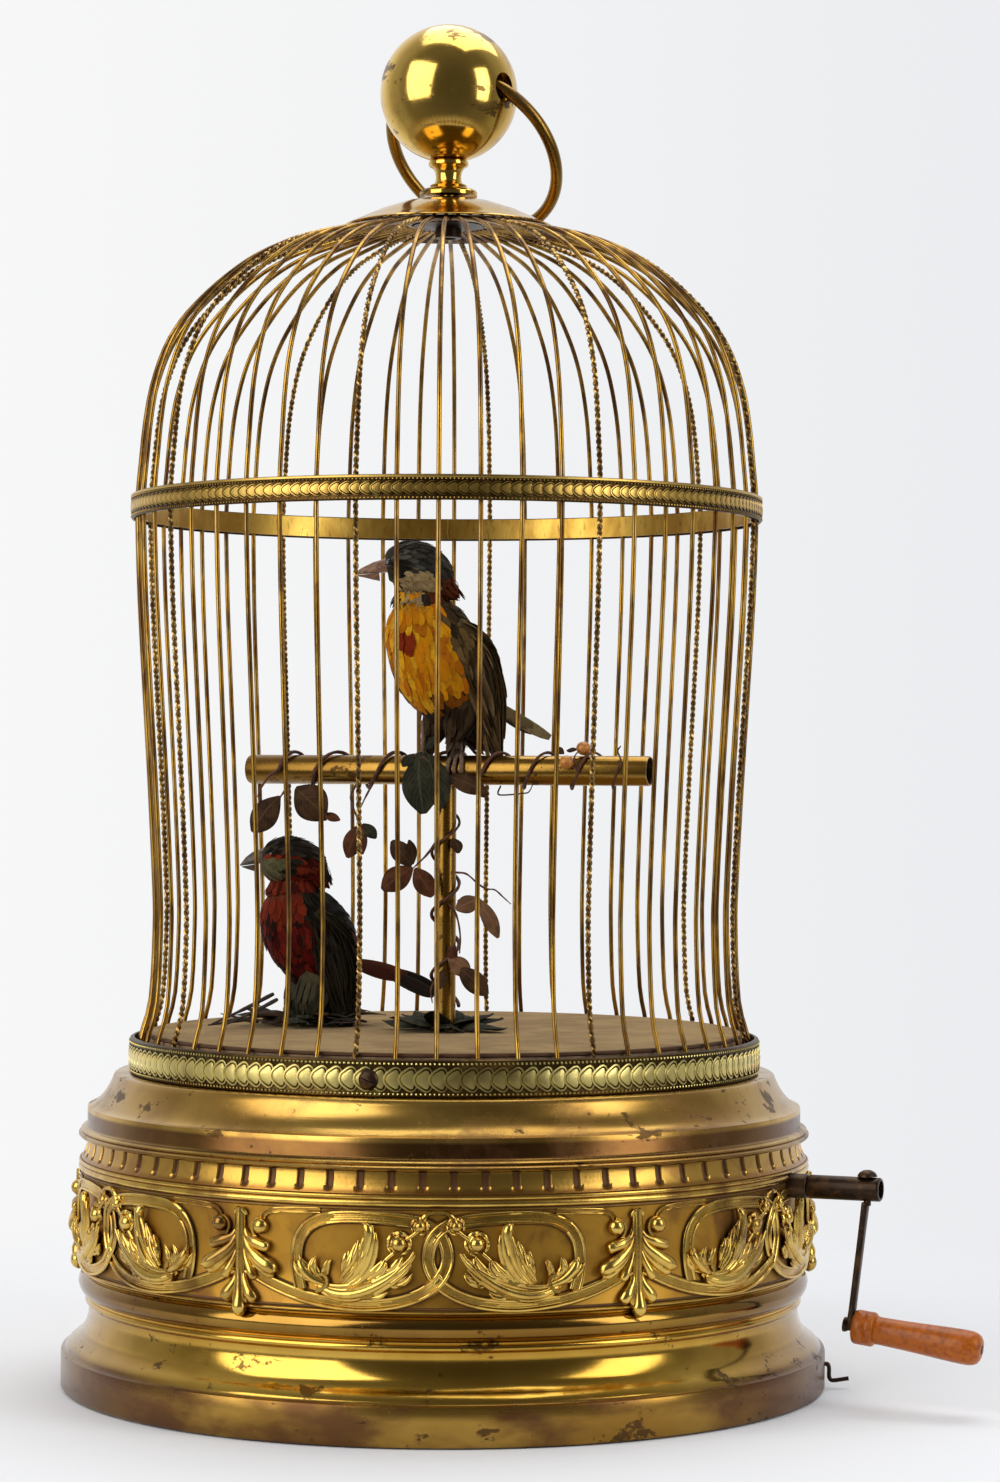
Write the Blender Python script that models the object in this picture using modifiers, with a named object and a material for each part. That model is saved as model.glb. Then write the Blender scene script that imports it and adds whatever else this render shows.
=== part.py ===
"""Singing bird automaton: two birds in a round brass cage over a crank-wound movement.

Metres, +Z up. The cage axis is the world Z axis, the floor is z = 0, the viewer stands at -Y
and the crank comes out near +X. An azimuth is measured from -Y towards +X.
"""
import math

import bmesh
import bpy
from mathutils import Matrix, Vector

# Clearances
GAP = 0.0003
RUN = 0.0003

# Base case, radii from the frieze drum's and heights one on another
WALL = 0.0012
FRIEZE_R = 0.1530
FRIEZE_H = 0.0542
FOOT_OUT = 0.0083
FOOT_R = FRIEZE_R + FOOT_OUT
FOOT_BAND_H = 0.0162
OGEE_SHARE = 0.37
OGEE_RISE = 0.0056
OGEE_H = 0.0138
NECK_IN = 0.0033
NECK_R = FRIEZE_R - NECK_IN
NECK_Z = FOOT_BAND_H + OGEE_H
NECK_H = 0.0200
BEAD_OUT = 0.0015
BEAD_R = NECK_R + BEAD_OUT
BEAD_RISE = 0.0066
BEAD_H = 0.0029
TORUS_OUT = 0.0010
TORUS_R = FRIEZE_R + TORUS_OUT
TORUS_DROP = 0.0080
TORUS_H = 0.0042
FOOT_TOP_Z = NECK_Z + NECK_H
DRUM_WALL = 0.0050
ROLL_OUT = 0.0012
ROLL_H = 0.0043
FLUTE_IN = 0.0025
FLUTE_H = 0.0087
FLUTE_TOP_R = FRIEZE_R - FLUTE_IN
FRIEZE_TOP_Z = FOOT_TOP_Z + FRIEZE_H
LIP_R = FRIEZE_R + ROLL_OUT
LIP_H = 0.0050
RISER_IN = 0.0024
RISER_H = 0.0132
RISER_R = FRIEZE_R - RISER_IN
RISER_TOP_Z = FRIEZE_TOP_Z + RISER_H
RISER_WALL = 0.0022
SHOULDER_H = 0.0136
SHOULDER_TOP_Z = RISER_TOP_Z + SHOULDER_H
SHOULDER_BEND = 0.50
BOARD_T = 0.0080

# Cage floor and gallery ring
FLOOR_H = 0.0170
FELT_TOP_Z = SHOULDER_TOP_Z + FLOOR_H
FELT_T = 0.0015
GALLERY_R = 0.1328
GALLERY_WALL = 0.0016
GALLERY_H = 0.0150
GALLERY_TOP_Z = SHOULDER_TOP_Z + GALLERY_H
FLOOR_IN = 0.0066
FLOOR_R = GALLERY_R - FLOOR_IN
SHOULDER_OUT = 0.0065
SHOULDER_R = GALLERY_R + SHOULDER_OUT
FLANGE_W = 0.0142
FLANGE_R = FLOOR_R - FLANGE_W
SCREW_AZIMUTH = -12.0
SCREW_R = 0.0041
SCREW_RISE = 0.0070
SCREW_Z = SHOULDER_TOP_Z + SCREW_RISE
SCREW_HEAD_H = 0.0022
SCREW_SLOT_W = 0.0009
SCREW_SLOT_TURN = 69.0

# Cage
WIRE_COUNT = 50
WIRE_R = 0.00075
TWIST_R = 0.00110
TWISTED = (0, 6, 13, 19, 26, 32, 38, 44)
FIRST_WIRE_AZIMUTH = -15.0
CAGE_WALL_H = 0.2379
BAND_Z = SHOULDER_TOP_Z + CAGE_WALL_H
BAND_H = 0.0100
BAND_R = 0.1334
BAND_T = 0.0009
INNER_BAND_H = 0.0088
STRIP_T = 0.0015
FOOT_STRIP_H = 0.0050
WIRE_IN = 0.0040
WIRE_FOOT_R = GALLERY_R - WIRE_IN
WIRE_HUB_R = 0.0170
CAGE_DOME_H = 0.1216
WIRE_HUB_Z = BAND_Z + CAGE_DOME_H
CROWN_R = 0.0446
WIRE_PATH = (
    (WIRE_FOOT_R - 0.0061, SHOULDER_TOP_Z + 0.0480), (BAND_R - 0.0023, BAND_Z),
    (BAND_R - 0.0066, BAND_Z + 0.0471), (BAND_R - 0.0224, BAND_Z + 0.0826),
    (CROWN_R + 0.0354, BAND_Z + 0.1076), (CROWN_R, BAND_Z + 0.1179),
)
BAND_POINT = 1
BAND_BEND = 0.0005

# Crown, finial and carrying ring
CROWN_DROP = 0.0014
CROWN_RIM_Z = WIRE_HUB_Z - CROWN_DROP
CROWN_RISE = 0.0128
CROWN_T = 0.0009
STEM_FLANGE_R = 0.0123
STEM_NECK_R = 0.0054
STEM_TOP_R = 0.0085
STUD_R = 0.0030
NUT_R = 0.0057
WASHER_R = 0.0150
BALL_R = 0.0292
BALL_RISE = 0.0570
BALL_Z = CROWN_RIM_Z + BALL_RISE
BALL_WALL = 0.0010
BALL_HOLE_R = 0.0062
SPIGOT_R = 0.0036
RING_R = 0.0395
RING_WIRE_R = 0.0026
RING_CHORD = 0.0540
RING_HINGE_AZIMUTH = 55.2
RING_REST_DEG = 50.4

# Perch
PERCH_R = 0.00625
PERCH_WALL = 0.0007
PERCH_LEN = 0.1820
PERCH_RISE = 0.1105
PERCH_Z = FELT_TOP_Z + PERCH_RISE
PERCH_YAW = -20.0
POST_R = 0.0045
POST_WALL = 0.0010
VINE_R = 0.00085
BAR_VINE_CROSSINGS = (-0.074, -0.057, -0.028, -0.006, 0.0195, 0.0405, 0.0620, 0.0790)
POST_VINE_PITCH = 0.0260
BERRY_R = 0.0030

# Crank
CRANK_AZIMUTH = 68.0
CRANK_DROP = 0.0149
CRANK_Z = FRIEZE_TOP_Z - CRANK_DROP
SHAFT_R = 0.00485
SHAFT_OUT = 0.0305
SHAFT_BORE_R = 0.0036
SHAFT_BORE_DEPTH = 0.0120
ARBOR_R = 0.00335
BUSH_R = 0.0050
BUSH_LEN = 0.0155
BUSH_OUT = 0.0085
ARM_IN = 0.0057
ARM_LEN = 0.0560
ARM_W = 0.0036
ARM_T = 0.0026
ARM_LEAN_DEG = 7.0
RIVET_R = 0.0041
STUB_R = 0.0015
PIN_R = 0.0016
GRIP_LEN = 0.0535
COLLAR_R = 0.0070
COLLAR_LEN = 0.0085

# Stop lever
LEVER_AZIMUTH = 84.0
LEVER_WIRE_R = 0.0009
LEVER_Z = 0.0100
LEVER_DROP = 0.0070
LEVER_REACH = 0.0082
LEVER_ARM_LEN = 0.0173
LEVER_SWING_DEG = 8.0

# Movement, in the crank's own frame: x along the crank, y across it
BED_T = 0.0030
BED_W = 0.1700
BED_MARGIN = 0.01293
BED_CENTRE = (-0.0100, 0.0060)
PLATE_T = 0.0025
OUTER_PLATE_X = 0.0600
INNER_PLATE_X = -0.0720
ARBOR_END_X = 0.0220
MODULE = 0.0020
GREAT_TEETH = 33
CAM_PINION_TEETH = 9
GOVERNOR_TEETH = 24
FLY_TEETH = 9
GEAR_W = 0.0035
MESH_X = 0.0520
GOVERNOR_X = 0.0230
BARREL_R = 0.0300
BARREL_X = 0.0295
CAM_SHAFT_R = 0.0025
CAM_AXIS_Y = -0.0360
FLY_AXIS_DY = -0.0300
FLY_SHAFT_R = 0.0015
FLY_BLADE_R = 0.0130
CAM_HUB_R = 0.0055
CAM_R = 0.0170
CAM_LIFT = 0.0030
CAM_T = 0.0030
UPPER_CAM_X = 0.0000
LOWER_CAM_X = -0.0490
LEVER_ARM_W = 0.0050
LEVER_ARM_T = 0.0040
PIVOT_R = 0.0015
PUSH_WIRE_R = 0.0010
PUSH_TRAVEL = 0.0064
BELLOWS_SIZE = (0.0700, 0.0500)
BELLOWS_X = -0.0200
BELLOWS_Y = 0.0750
BELLOWS_BOARD_T = 0.0040
BELLOWS_LEATHER_H = 0.0180
WHISTLE_R = 0.0065
WHISTLE_WALL = 0.0010
WHISTLE_LEN = 0.0600
PISTON_LEN = 0.0160

# Birds: local +X is where the bird faces
MOUTH_DROP = 0.0006
BEAK_OPEN_DEG = 15.0
NECK_PIN_R = 0.0012
NECK_PIN_LEN = 0.0080
UPPER_BIRD_AT = (-0.0010, 0.0020, PERCH_Z + PERCH_R)
UPPER_BIRD_YAW = 214.0
UPPER_HEAD_YAW = -34.0
LOWER_BIRD_AT = (-0.0590, 0.0300, FELT_TOP_Z)
LOWER_BIRD_YAW = 198.0
LOWER_HEAD_YAW = -14.0

STEPS = 28
FINE = 16
COARSE = 12


def clear_scene():
    """Remove every object, so that the script can run again in the same file."""
    for obj in list(bpy.data.objects):
        bpy.data.objects.remove(obj, do_unlink=True)


clear_scene()
PARTS = bpy.data.collections.new("singing_bird_automaton")
CUTTERS = bpy.data.collections.new("cutters")
for group in (PARTS, CUTTERS):
    bpy.context.scene.collection.children.link(group)


def make_material(name, colour, roughness, metallic):
    """A Principled material with the part's plain colour."""
    made = bpy.data.materials.new(name)
    made.use_nodes = True
    shader = made.node_tree.nodes["Principled BSDF"]
    shader.inputs["Base Color"].default_value = (*colour, 1.0)
    shader.inputs["Roughness"].default_value = roughness
    shader.inputs["Metallic"].default_value = metallic
    return made


FINISHES = {
    "brass": ((0.62, 0.42, 0.13), 0.25, 1.0),
    "gallery_brass": ((0.66, 0.55, 0.22), 0.35, 1.0),
    "wire_brass": ((0.50, 0.33, 0.12), 0.35, 1.0),
    "bronze": ((0.16, 0.11, 0.07), 0.4, 1.0),
    "steel": ((0.45, 0.45, 0.45), 0.35, 1.0),
    "board": ((0.33, 0.22, 0.12), 0.7, 0.0),
    "felt": ((0.42, 0.33, 0.22), 0.95, 0.0),
    "grip_wood": ((0.60, 0.22, 0.05), 0.35, 0.0),
    "vine": ((0.20, 0.07, 0.03), 0.7, 0.0),
    "leaf": ((0.07, 0.09, 0.05), 0.7, 0.0),
    "yellow_feather": ((0.62, 0.36, 0.04), 0.85, 0.0),
    "red_feather": ((0.30, 0.03, 0.02), 0.85, 0.0),
    "dark_feather": ((0.10, 0.08, 0.06), 0.85, 0.0),
    "beak": ((0.42, 0.26, 0.18), 0.45, 0.0),
    "leather": ((0.45, 0.38, 0.28), 0.8, 0.0),
}
MATERIALS = {name: make_material(name, *values) for name, values in FINISHES.items()}


def rotation(azimuth):
    """Turn about Z that takes local +X to the given azimuth."""
    return Matrix.Rotation(math.radians(azimuth - 90.0), 4, "Z")


def around(radius, azimuth, z):
    """A point at a radius and azimuth about the cage axis."""
    angle = math.radians(azimuth)
    return Vector((radius * math.sin(angle), -radius * math.cos(angle), z))


def dress(obj, finish, collection=PARTS):
    """Give an object its material and its collection."""
    for old in list(obj.users_collection):
        old.objects.unlink(obj)
    collection.objects.link(obj)
    obj.data.materials.clear()
    obj.data.materials.append(MATERIALS[finish])
    if collection is CUTTERS:
        obj.hide_render = True
        obj.display_type = "WIRE"
    return obj


def from_bmesh(name, mesh_data, finish, collection=PARTS):
    """Wrap a bmesh in an object."""
    bmesh.ops.recalc_face_normals(mesh_data, faces=mesh_data.faces[:])
    mesh = bpy.data.meshes.new(name)
    mesh_data.to_mesh(mesh)
    mesh_data.free()
    return dress(bpy.data.objects.new(name, mesh), finish, collection)


def turned(name, profile, finish, steps=STEPS, closed=True, collection=PARTS):
    """Turn a profile of (radius, z) points, given down its outer side, about local Z."""
    mesh_data = bmesh.new()
    points = [mesh_data.verts.new((radius, 0.0, z)) for radius, z in profile]
    for first, second in zip(points, points[1:]):
        mesh_data.edges.new((first, second))
    if closed:
        mesh_data.edges.new((points[-1], points[0]))
    mesh = bpy.data.meshes.new(name)
    mesh_data.to_mesh(mesh)
    mesh_data.free()
    obj = dress(bpy.data.objects.new(name, mesh), finish, collection)
    screw = obj.modifiers.new("turn", "SCREW")
    screw.steps = steps
    screw.render_steps = steps
    screw.use_merge_vertices = True
    screw.merge_threshold = 0.00001
    screw.use_smooth_shade = False
    return obj


def box(name, size, centre, finish, collection=PARTS):
    """A box from its size and centre."""
    mesh_data = bmesh.new()
    bmesh.ops.create_cube(mesh_data, size=1.0)
    bmesh.ops.scale(mesh_data, vec=size, verts=mesh_data.verts[:])
    bmesh.ops.translate(mesh_data, vec=centre, verts=mesh_data.verts[:])
    return from_bmesh(name, mesh_data, finish, collection)


def rod(name, start, end, radius, finish, sides=12, end_radius=None, collection=PARTS):
    """A round rod between two points."""
    start = Vector(start)
    end = Vector(end)
    along = end - start
    mesh_data = bmesh.new()
    bmesh.ops.create_cone(
        mesh_data, cap_ends=True, segments=sides, radius1=radius,
        radius2=radius if end_radius is None else end_radius, depth=along.length)
    turn = along.to_track_quat("Z", "Y").to_matrix().to_4x4()
    bmesh.ops.transform(
        mesh_data, matrix=Matrix.Translation((start + end) / 2) @ turn, verts=mesh_data.verts[:])
    return from_bmesh(name, mesh_data, finish, collection)


def tube(name, points, radius, finish, resolution=2, radii=None, cyclic=False, squash=None,
         collection=PARTS):
    """A solid tube along points, made a mesh so that it can be cut and joined."""
    curve = bpy.data.curves.new(name, "CURVE")
    curve.dimensions = "3D"
    curve.bevel_depth = radius
    curve.bevel_resolution = resolution
    curve.use_fill_caps = True
    spline = curve.splines.new("POLY")
    spline.points.add(len(points) - 1)
    for index, place in enumerate(points):
        spline.points[index].co = (*place, 1.0)
        spline.points[index].radius = radii[index] / radius if radii else 1.0
    spline.use_cyclic_u = cyclic
    holder = bpy.data.objects.new(name + "_curve", curve)
    bpy.context.scene.collection.objects.link(holder)
    depsgraph = bpy.context.evaluated_depsgraph_get()
    mesh = bpy.data.meshes.new_from_object(holder.evaluated_get(depsgraph))
    bpy.data.objects.remove(holder, do_unlink=True)
    bpy.data.curves.remove(curve)
    mesh_data = bmesh.new()
    mesh_data.from_mesh(mesh)
    bpy.data.meshes.remove(mesh)
    bmesh.ops.remove_doubles(mesh_data, verts=mesh_data.verts[:], dist=0.00001)
    if squash:
        centre = sum((v.co for v in mesh_data.verts), Vector()) / len(mesh_data.verts)
        bmesh.ops.scale(mesh_data, vec=squash, space=Matrix.Translation(-centre),
                        verts=mesh_data.verts[:])
    return from_bmesh(name, mesh_data, finish, collection)


def cut(obj, cutter):
    """Cut one object out of another."""
    dress(cutter, "steel", CUTTERS)
    boolean = obj.modifiers.new("cut_" + cutter.name, "BOOLEAN")
    boolean.operation = "DIFFERENCE"
    boolean.object = cutter
    return obj


def join(obj, piece):
    """Join one object to another."""
    dress(piece, obj.data.materials[0].name, CUTTERS)
    boolean = obj.modifiers.new("join_" + piece.name, "BOOLEAN")
    boolean.operation = "UNION"
    boolean.object = piece
    return obj


# Base case

def build_base():
    """The spun brass case, its boards and the gallery ring."""
    inner = FOOT_R - WALL
    ogee_r = NECK_R + OGEE_SHARE * (FOOT_R - NECK_R)
    ogee_z = FOOT_BAND_H + OGEE_RISE
    torus_z = FOOT_TOP_Z - TORUS_DROP
    foot = [
        (FOOT_R, FOOT_BAND_H), (FOOT_R, 0.0), (inner, 0.0), (inner, FOOT_BAND_H - WALL),
        (ogee_r - WALL, ogee_z - WALL), (NECK_R - WALL, NECK_Z - WALL),
        (NECK_R - WALL, FOOT_TOP_Z - GAP), (TORUS_R - WALL, FOOT_TOP_Z - GAP),
        (TORUS_R, torus_z + TORUS_H), (TORUS_R, torus_z),
        (BEAD_R - WALL / 2, NECK_Z + BEAD_RISE + BEAD_H), (BEAD_R, NECK_Z + BEAD_RISE),
        (NECK_R, NECK_Z), (ogee_r, ogee_z),
    ]
    foot_moulding = turned("foot_moulding", foot, "brass")
    slot_w = 2 * LEVER_ARM_LEN * math.tan(math.radians(LEVER_SWING_DEG)) + 0.0040
    slot = box("lever_slot", (0.0120, slot_w, 2 * LEVER_WIRE_R + 0.0014),
               (FOOT_R, 0.0, LEVER_Z), "brass")
    slot.matrix_world = rotation(LEVER_AZIMUTH)
    cut(foot_moulding, slot)

    drum_in = FRIEZE_R - DRUM_WALL
    flute_z = FRIEZE_TOP_Z - FLUTE_H
    roll = FRIEZE_R + ROLL_OUT
    drum = [
        (FLUTE_TOP_R, FRIEZE_TOP_Z), (FLUTE_TOP_R, flute_z + FLUTE_H / 2), (FRIEZE_R, flute_z),
        (roll, flute_z - ROLL_OUT / 2), (roll, flute_z - ROLL_H + ROLL_OUT / 2),
        (FRIEZE_R, flute_z - ROLL_H), (FRIEZE_R, FOOT_TOP_Z + ROLL_OUT),
        (FRIEZE_R + ROLL_OUT / 2, FOOT_TOP_Z), (drum_in, FOOT_TOP_Z), (drum_in, FRIEZE_TOP_Z),
    ]
    frieze_drum = turned("frieze_drum", drum, "brass")
    shaft_hole = rod("crank_hole", (FRIEZE_R - 0.0150, 0.0, CRANK_Z),
                     (FRIEZE_R + 0.0150, 0.0, CRANK_Z), BUSH_R + GAP, "brass", FINE)
    shaft_hole.matrix_world = rotation(CRANK_AZIMUTH)
    cut(frieze_drum, shaft_hole)

    lip_z = FRIEZE_TOP_Z + GAP
    riser_in = RISER_R - RISER_WALL
    bend_r = SHOULDER_R + (RISER_R - SHOULDER_R) * SHOULDER_BEND ** 2
    bend_z = SHOULDER_TOP_Z + (RISER_TOP_Z - SHOULDER_TOP_Z) * SHOULDER_BEND
    shoulder = [
        (SHOULDER_R, SHOULDER_TOP_Z), (bend_r, bend_z), (RISER_R, RISER_TOP_Z),
        (RISER_R, lip_z + LIP_H), (LIP_R, lip_z + LIP_H - WALL / 2), (LIP_R - GAP, lip_z),
        (riser_in, lip_z), (riser_in, RISER_TOP_Z - WALL), (bend_r - WALL, bend_z - WALL),
        (SHOULDER_R - WALL, SHOULDER_TOP_Z - WALL), (FLANGE_R, SHOULDER_TOP_Z - WALL),
        (FLANGE_R, SHOULDER_TOP_Z),
    ]
    turned("shoulder_moulding", shoulder, "brass")

    board_r = inner - GAP
    turned("bottom_board", [(0.0, BOARD_T), (board_r, BOARD_T), (board_r, 0.0), (0.0, 0.0)],
           "board", closed=False)

    floor_z = SHOULDER_TOP_Z + GAP
    felt_z = FELT_TOP_Z - FELT_T
    floor_board = turned(
        "floor_board", [(0.0, felt_z - GAP), (FLOOR_R, felt_z - GAP), (FLOOR_R, floor_z),
                        (0.0, floor_z)], "board", closed=False)
    floor_felt = turned(
        "floor_felt", [(0.0, FELT_TOP_Z), (FLOOR_R, FELT_TOP_Z), (FLOOR_R, felt_z),
                       (0.0, felt_z)], "felt", closed=False)
    for layer, name in ((floor_board, "board"), (floor_felt, "felt")):
        for x, y, which in ((0.0, 0.0, "upper"), (*LOWER_BIRD_AT[:2], "lower")):
            hole = rod(f"{name}_{which}_wire_hole", (x, y, floor_z - 0.01),
                       (x, y, FELT_TOP_Z + 0.01), PUSH_WIRE_R + 0.0010, "board", 8)
            cut(layer, hole)

    gallery_in = GALLERY_R - GALLERY_WALL
    gallery = [
        (GALLERY_R, GALLERY_TOP_Z), (GALLERY_R, floor_z), (gallery_in, floor_z),
        (gallery_in, GALLERY_TOP_Z),
    ]
    ring = turned("gallery_ring", gallery, "gallery_brass", steps=WIRE_COUNT)
    ring.matrix_world = rotation(FIRST_WIRE_AZIMUTH)
    screw_at = around(GALLERY_R + GAP, SCREW_AZIMUTH, SCREW_Z)
    seat = Matrix.Translation(screw_at) @ rotation(SCREW_AZIMUTH)
    head = turned("gallery_screw",
                  [(0.0, SCREW_HEAD_H), (SCREW_R * 0.54, SCREW_HEAD_H * 0.86),
                   (SCREW_R * 0.8, SCREW_HEAD_H * 0.5), (SCREW_R, SCREW_HEAD_H * 0.2),
                   (SCREW_R, 0.0), (0.0, 0.0)], "bronze", COARSE, closed=False)
    head.matrix_world = seat @ Matrix.Rotation(math.pi / 2, 4, "Y")
    slot = box("screw_slot", (SCREW_HEAD_H, 3 * SCREW_R, SCREW_SLOT_W),
               (SCREW_HEAD_H * 1.05, 0.0, 0.0), "bronze")
    slot.matrix_world = seat @ Matrix.Rotation(math.radians(SCREW_SLOT_TURN), 4, "X")
    cut(head, slot)


# Cage

def arc_strip(name, start, end, inner, outer, low, high, finish, step_deg):
    """A strip bent round the axis between two azimuths."""
    steps = max(2, round((end - start) / step_deg))
    mesh_data = bmesh.new()
    corners = [(inner, low), (outer, low), (outer, high), (inner, high)]
    face = mesh_data.faces.new([mesh_data.verts.new(around(r, start, z)) for r, z in corners])
    bmesh.ops.spin(
        mesh_data, geom=[face, *face.edges, *face.verts], cent=(0, 0, 0), axis=(0, 0, 1),
        angle=math.radians(end - start), steps=steps, use_merge=False)
    bmesh.ops.remove_doubles(mesh_data, verts=mesh_data.verts[:], dist=0.000001)
    return from_bmesh(name, mesh_data, finish)


def wire_points(azimuth):
    """The bend of one cage wire from the foot strip to the hub."""
    strip_low = SHOULDER_TOP_Z + 2 * GAP
    points = [around(WIRE_FOOT_R, azimuth, strip_low + FOOT_STRIP_H - 0.0010)]
    points += [around(r, azimuth, z) for r, z in WIRE_PATH]
    points.append(around(WIRE_HUB_R + 0.0008, azimuth, WIRE_HUB_Z))
    return points


def build_cage():
    """Eight panels of wires on their strips, and the outer band."""
    pitch = 360.0 / WIRE_COUNT
    strip_low = SHOULDER_TOP_Z + 2 * GAP
    edges = [*TWISTED, WIRE_COUNT]
    for number, (first, last) in enumerate(zip(edges, edges[1:]), 1):
        start = FIRST_WIRE_AZIMUTH + pitch * (first - 0.5)
        end = FIRST_WIRE_AZIMUTH + pitch * (last - 0.5)

        def trim(radius):
            return math.degrees(GAP * 0.6 / radius)

        shade = "wire_brass"
        foot_in = WIRE_FOOT_R - STRIP_T / 2
        panel = arc_strip(f"cage_panel_{number}", start + trim(foot_in), end - trim(foot_in),
                          foot_in, foot_in + STRIP_T, strip_low, strip_low + FOOT_STRIP_H, shade,
                          pitch)
        join(panel, arc_strip(f"hub_strip_{number}", start + trim(WIRE_HUB_R) * 1.4,
                              end - trim(WIRE_HUB_R) * 1.4, WIRE_HUB_R - 0.0014, WIRE_HUB_R + 0.0018,
                              WIRE_HUB_Z - 0.0006, WIRE_HUB_Z + 0.0006, shade,
                              2 * pitch))
        for index in range(first, last):
            azimuth = FIRST_WIRE_AZIMUTH + pitch * index
            radius = TWIST_R if index in TWISTED else WIRE_R
            join(panel, tube(f"wire_{index:02d}", wire_points(azimuth), radius, shade, 0))

    band_in = BAND_R - BAND_T
    band_low = BAND_Z - BAND_H / 2
    band_top = BAND_Z + BAND_H / 2
    band = turned("mid_band", [(BAND_R, band_top), (BAND_R, band_low),
                               (band_in, band_low), (band_in, band_top)],
                  "wire_brass", steps=WIRE_COUNT)
    band.matrix_world = rotation(FIRST_WIRE_AZIMUTH)
    inner_out = WIRE_PATH[BAND_POINT][0] - TWIST_R - BAND_BEND - GAP / 2
    inner_low = BAND_Z - INNER_BAND_H / 2
    inner_band = turned("inner_band", [(inner_out, inner_low + INNER_BAND_H), (inner_out, inner_low),
                                       (inner_out - BAND_T, inner_low),
                                       (inner_out - BAND_T, inner_low + INNER_BAND_H)],
                        "wire_brass", steps=WIRE_COUNT)
    inner_band.matrix_world = rotation(FIRST_WIRE_AZIMUTH)


def crown_z(radius):
    """Height of the crown plate's top face."""
    curve_r = (CROWN_R ** 2 + CROWN_RISE ** 2) / (2 * CROWN_RISE)
    return CROWN_RIM_Z + CROWN_RISE - curve_r + math.sqrt(curve_r ** 2 - radius ** 2)


def build_crown():
    """Crown plate, nut, stem, ball and carrying ring."""
    bore = STUD_R + GAP
    stations = [bore + (CROWN_R - bore) * step / 3 for step in range(4)]
    top = [(r, crown_z(r)) for r in stations]
    under = [(r, crown_z(r) - CROWN_T) for r in reversed(stations)]
    turned("crown_plate", top + under, "brass", 20)

    nut_top = crown_z(bore) - CROWN_T - GAP
    turned("crown_nut", [(WASHER_R, WIRE_HUB_Z + 0.0010), (WASHER_R, WIRE_HUB_Z - 0.0010),
                         (NUT_R, WIRE_HUB_Z - 0.0014), (NUT_R, nut_top - 0.0160),
                         (bore, nut_top - 0.0160), (bore, nut_top),
                         (NUT_R + 0.0010, nut_top - 0.0004)],
           "bronze", COARSE)

    stem_z = crown_z(bore) + GAP
    spigot_top = BALL_Z - BALL_R + 0.0060
    seat_z = BALL_Z - math.sqrt(BALL_R ** 2 - STEM_TOP_R ** 2) - GAP
    turned("finial_stem",
           [(0.0, spigot_top), (SPIGOT_R, spigot_top),
            (SPIGOT_R, BALL_Z - math.sqrt(BALL_R ** 2 - SPIGOT_R ** 2) - GAP),
            (STEM_TOP_R, seat_z), (STEM_TOP_R, seat_z - 0.0022), (STEM_TOP_R - 0.0014, seat_z - 0.0030),
            (STEM_NECK_R, seat_z - 0.0062), (STEM_NECK_R + 0.0008, stem_z + 0.0060),
            (STEM_NECK_R + 0.0030, stem_z + 0.0046), (STEM_FLANGE_R - 0.0012, stem_z + 0.0036),
            (STEM_FLANGE_R, stem_z + 0.0022), (STEM_FLANGE_R, stem_z), (STUD_R, stem_z),
            (STUD_R, nut_top - 0.0150), (0.0, nut_top - 0.0150)], "brass", COARSE, closed=False)

    arcs = 7
    low_angle = math.asin((SPIGOT_R + GAP) / BALL_R)
    outer = []
    inner = []
    for step in range(arcs + 1):
        angle = (math.pi - low_angle) * step / arcs
        outer.append((BALL_R * math.sin(angle), BALL_R * math.cos(angle)))
        inner.append(((BALL_R - BALL_WALL) * math.sin(angle),
                      (BALL_R - BALL_WALL) * math.cos(angle)))
    ball = turned("finial_ball", outer + inner[::-1], "brass", 20, closed=False)
    ball.location.z = BALL_Z
    hinge = around(1.0, RING_HINGE_AZIMUTH, 0.0)
    reach = BALL_R * 1.3
    hole = rod("ring_holes", -hinge * reach, hinge * reach, BALL_HOLE_R, "brass")
    hole.location.z = BALL_Z
    cut(ball, hole)

    centre_off = math.sqrt(RING_R ** 2 - (RING_CHORD / 2) ** 2)
    rest = math.radians(RING_REST_DEG)
    side = around(1.0, RING_HINGE_AZIMUTH + 90.0, 0.0)
    away = side * math.cos(rest) - Vector((0, 0, 1)) * math.sin(rest)
    loop = []
    for step in range(24):
        angle = 2 * math.pi * step / 24
        loop.append(away * centre_off + hinge * (RING_R * math.cos(angle))
                    + away * (RING_R * math.sin(angle)))
    ring = tube("carry_ring", loop, RING_WIRE_R, "brass", 2, cyclic=True)
    ring.location.z = BALL_Z


# Perch and leaves

def leaf(name, start, direction, length, width, curl, finish="leaf"):
    """A thin leaf with a pointed end, bent down by curl, as a closed blade."""
    direction = Vector(direction).normalized()
    across = direction.cross(Vector((0, 0, 1)))
    if across.length < 0.1:
        across = Vector((0, 1, 0))
    across.normalize()
    normal = across.cross(direction).normalized()
    shares = ((0.0, 0.10), (0.20, 0.66), (0.45, 1.0), (0.76, 0.70), (1.0, 0.06))
    points = [Vector(start) + direction * (length * t) - Vector((0, 0, 1)) * (curl * t * t)
              for t, _ in shares]
    radii = [width / 2 * w for _, w in shares]
    blade = tube(name, points, width / 2, finish, 0, radii=radii, collection=CUTTERS)
    base = Matrix((across, direction, normal)).transposed().to_4x4()
    flat = base @ Matrix.Diagonal((1.0, 1.0, 0.0011 / width, 1.0)) @ base.inverted()
    origin = Vector(start) + direction * (length / 2)
    blade.data.transform(Matrix.Translation(origin) @ flat @ Matrix.Translation(-origin))
    return blade


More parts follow.
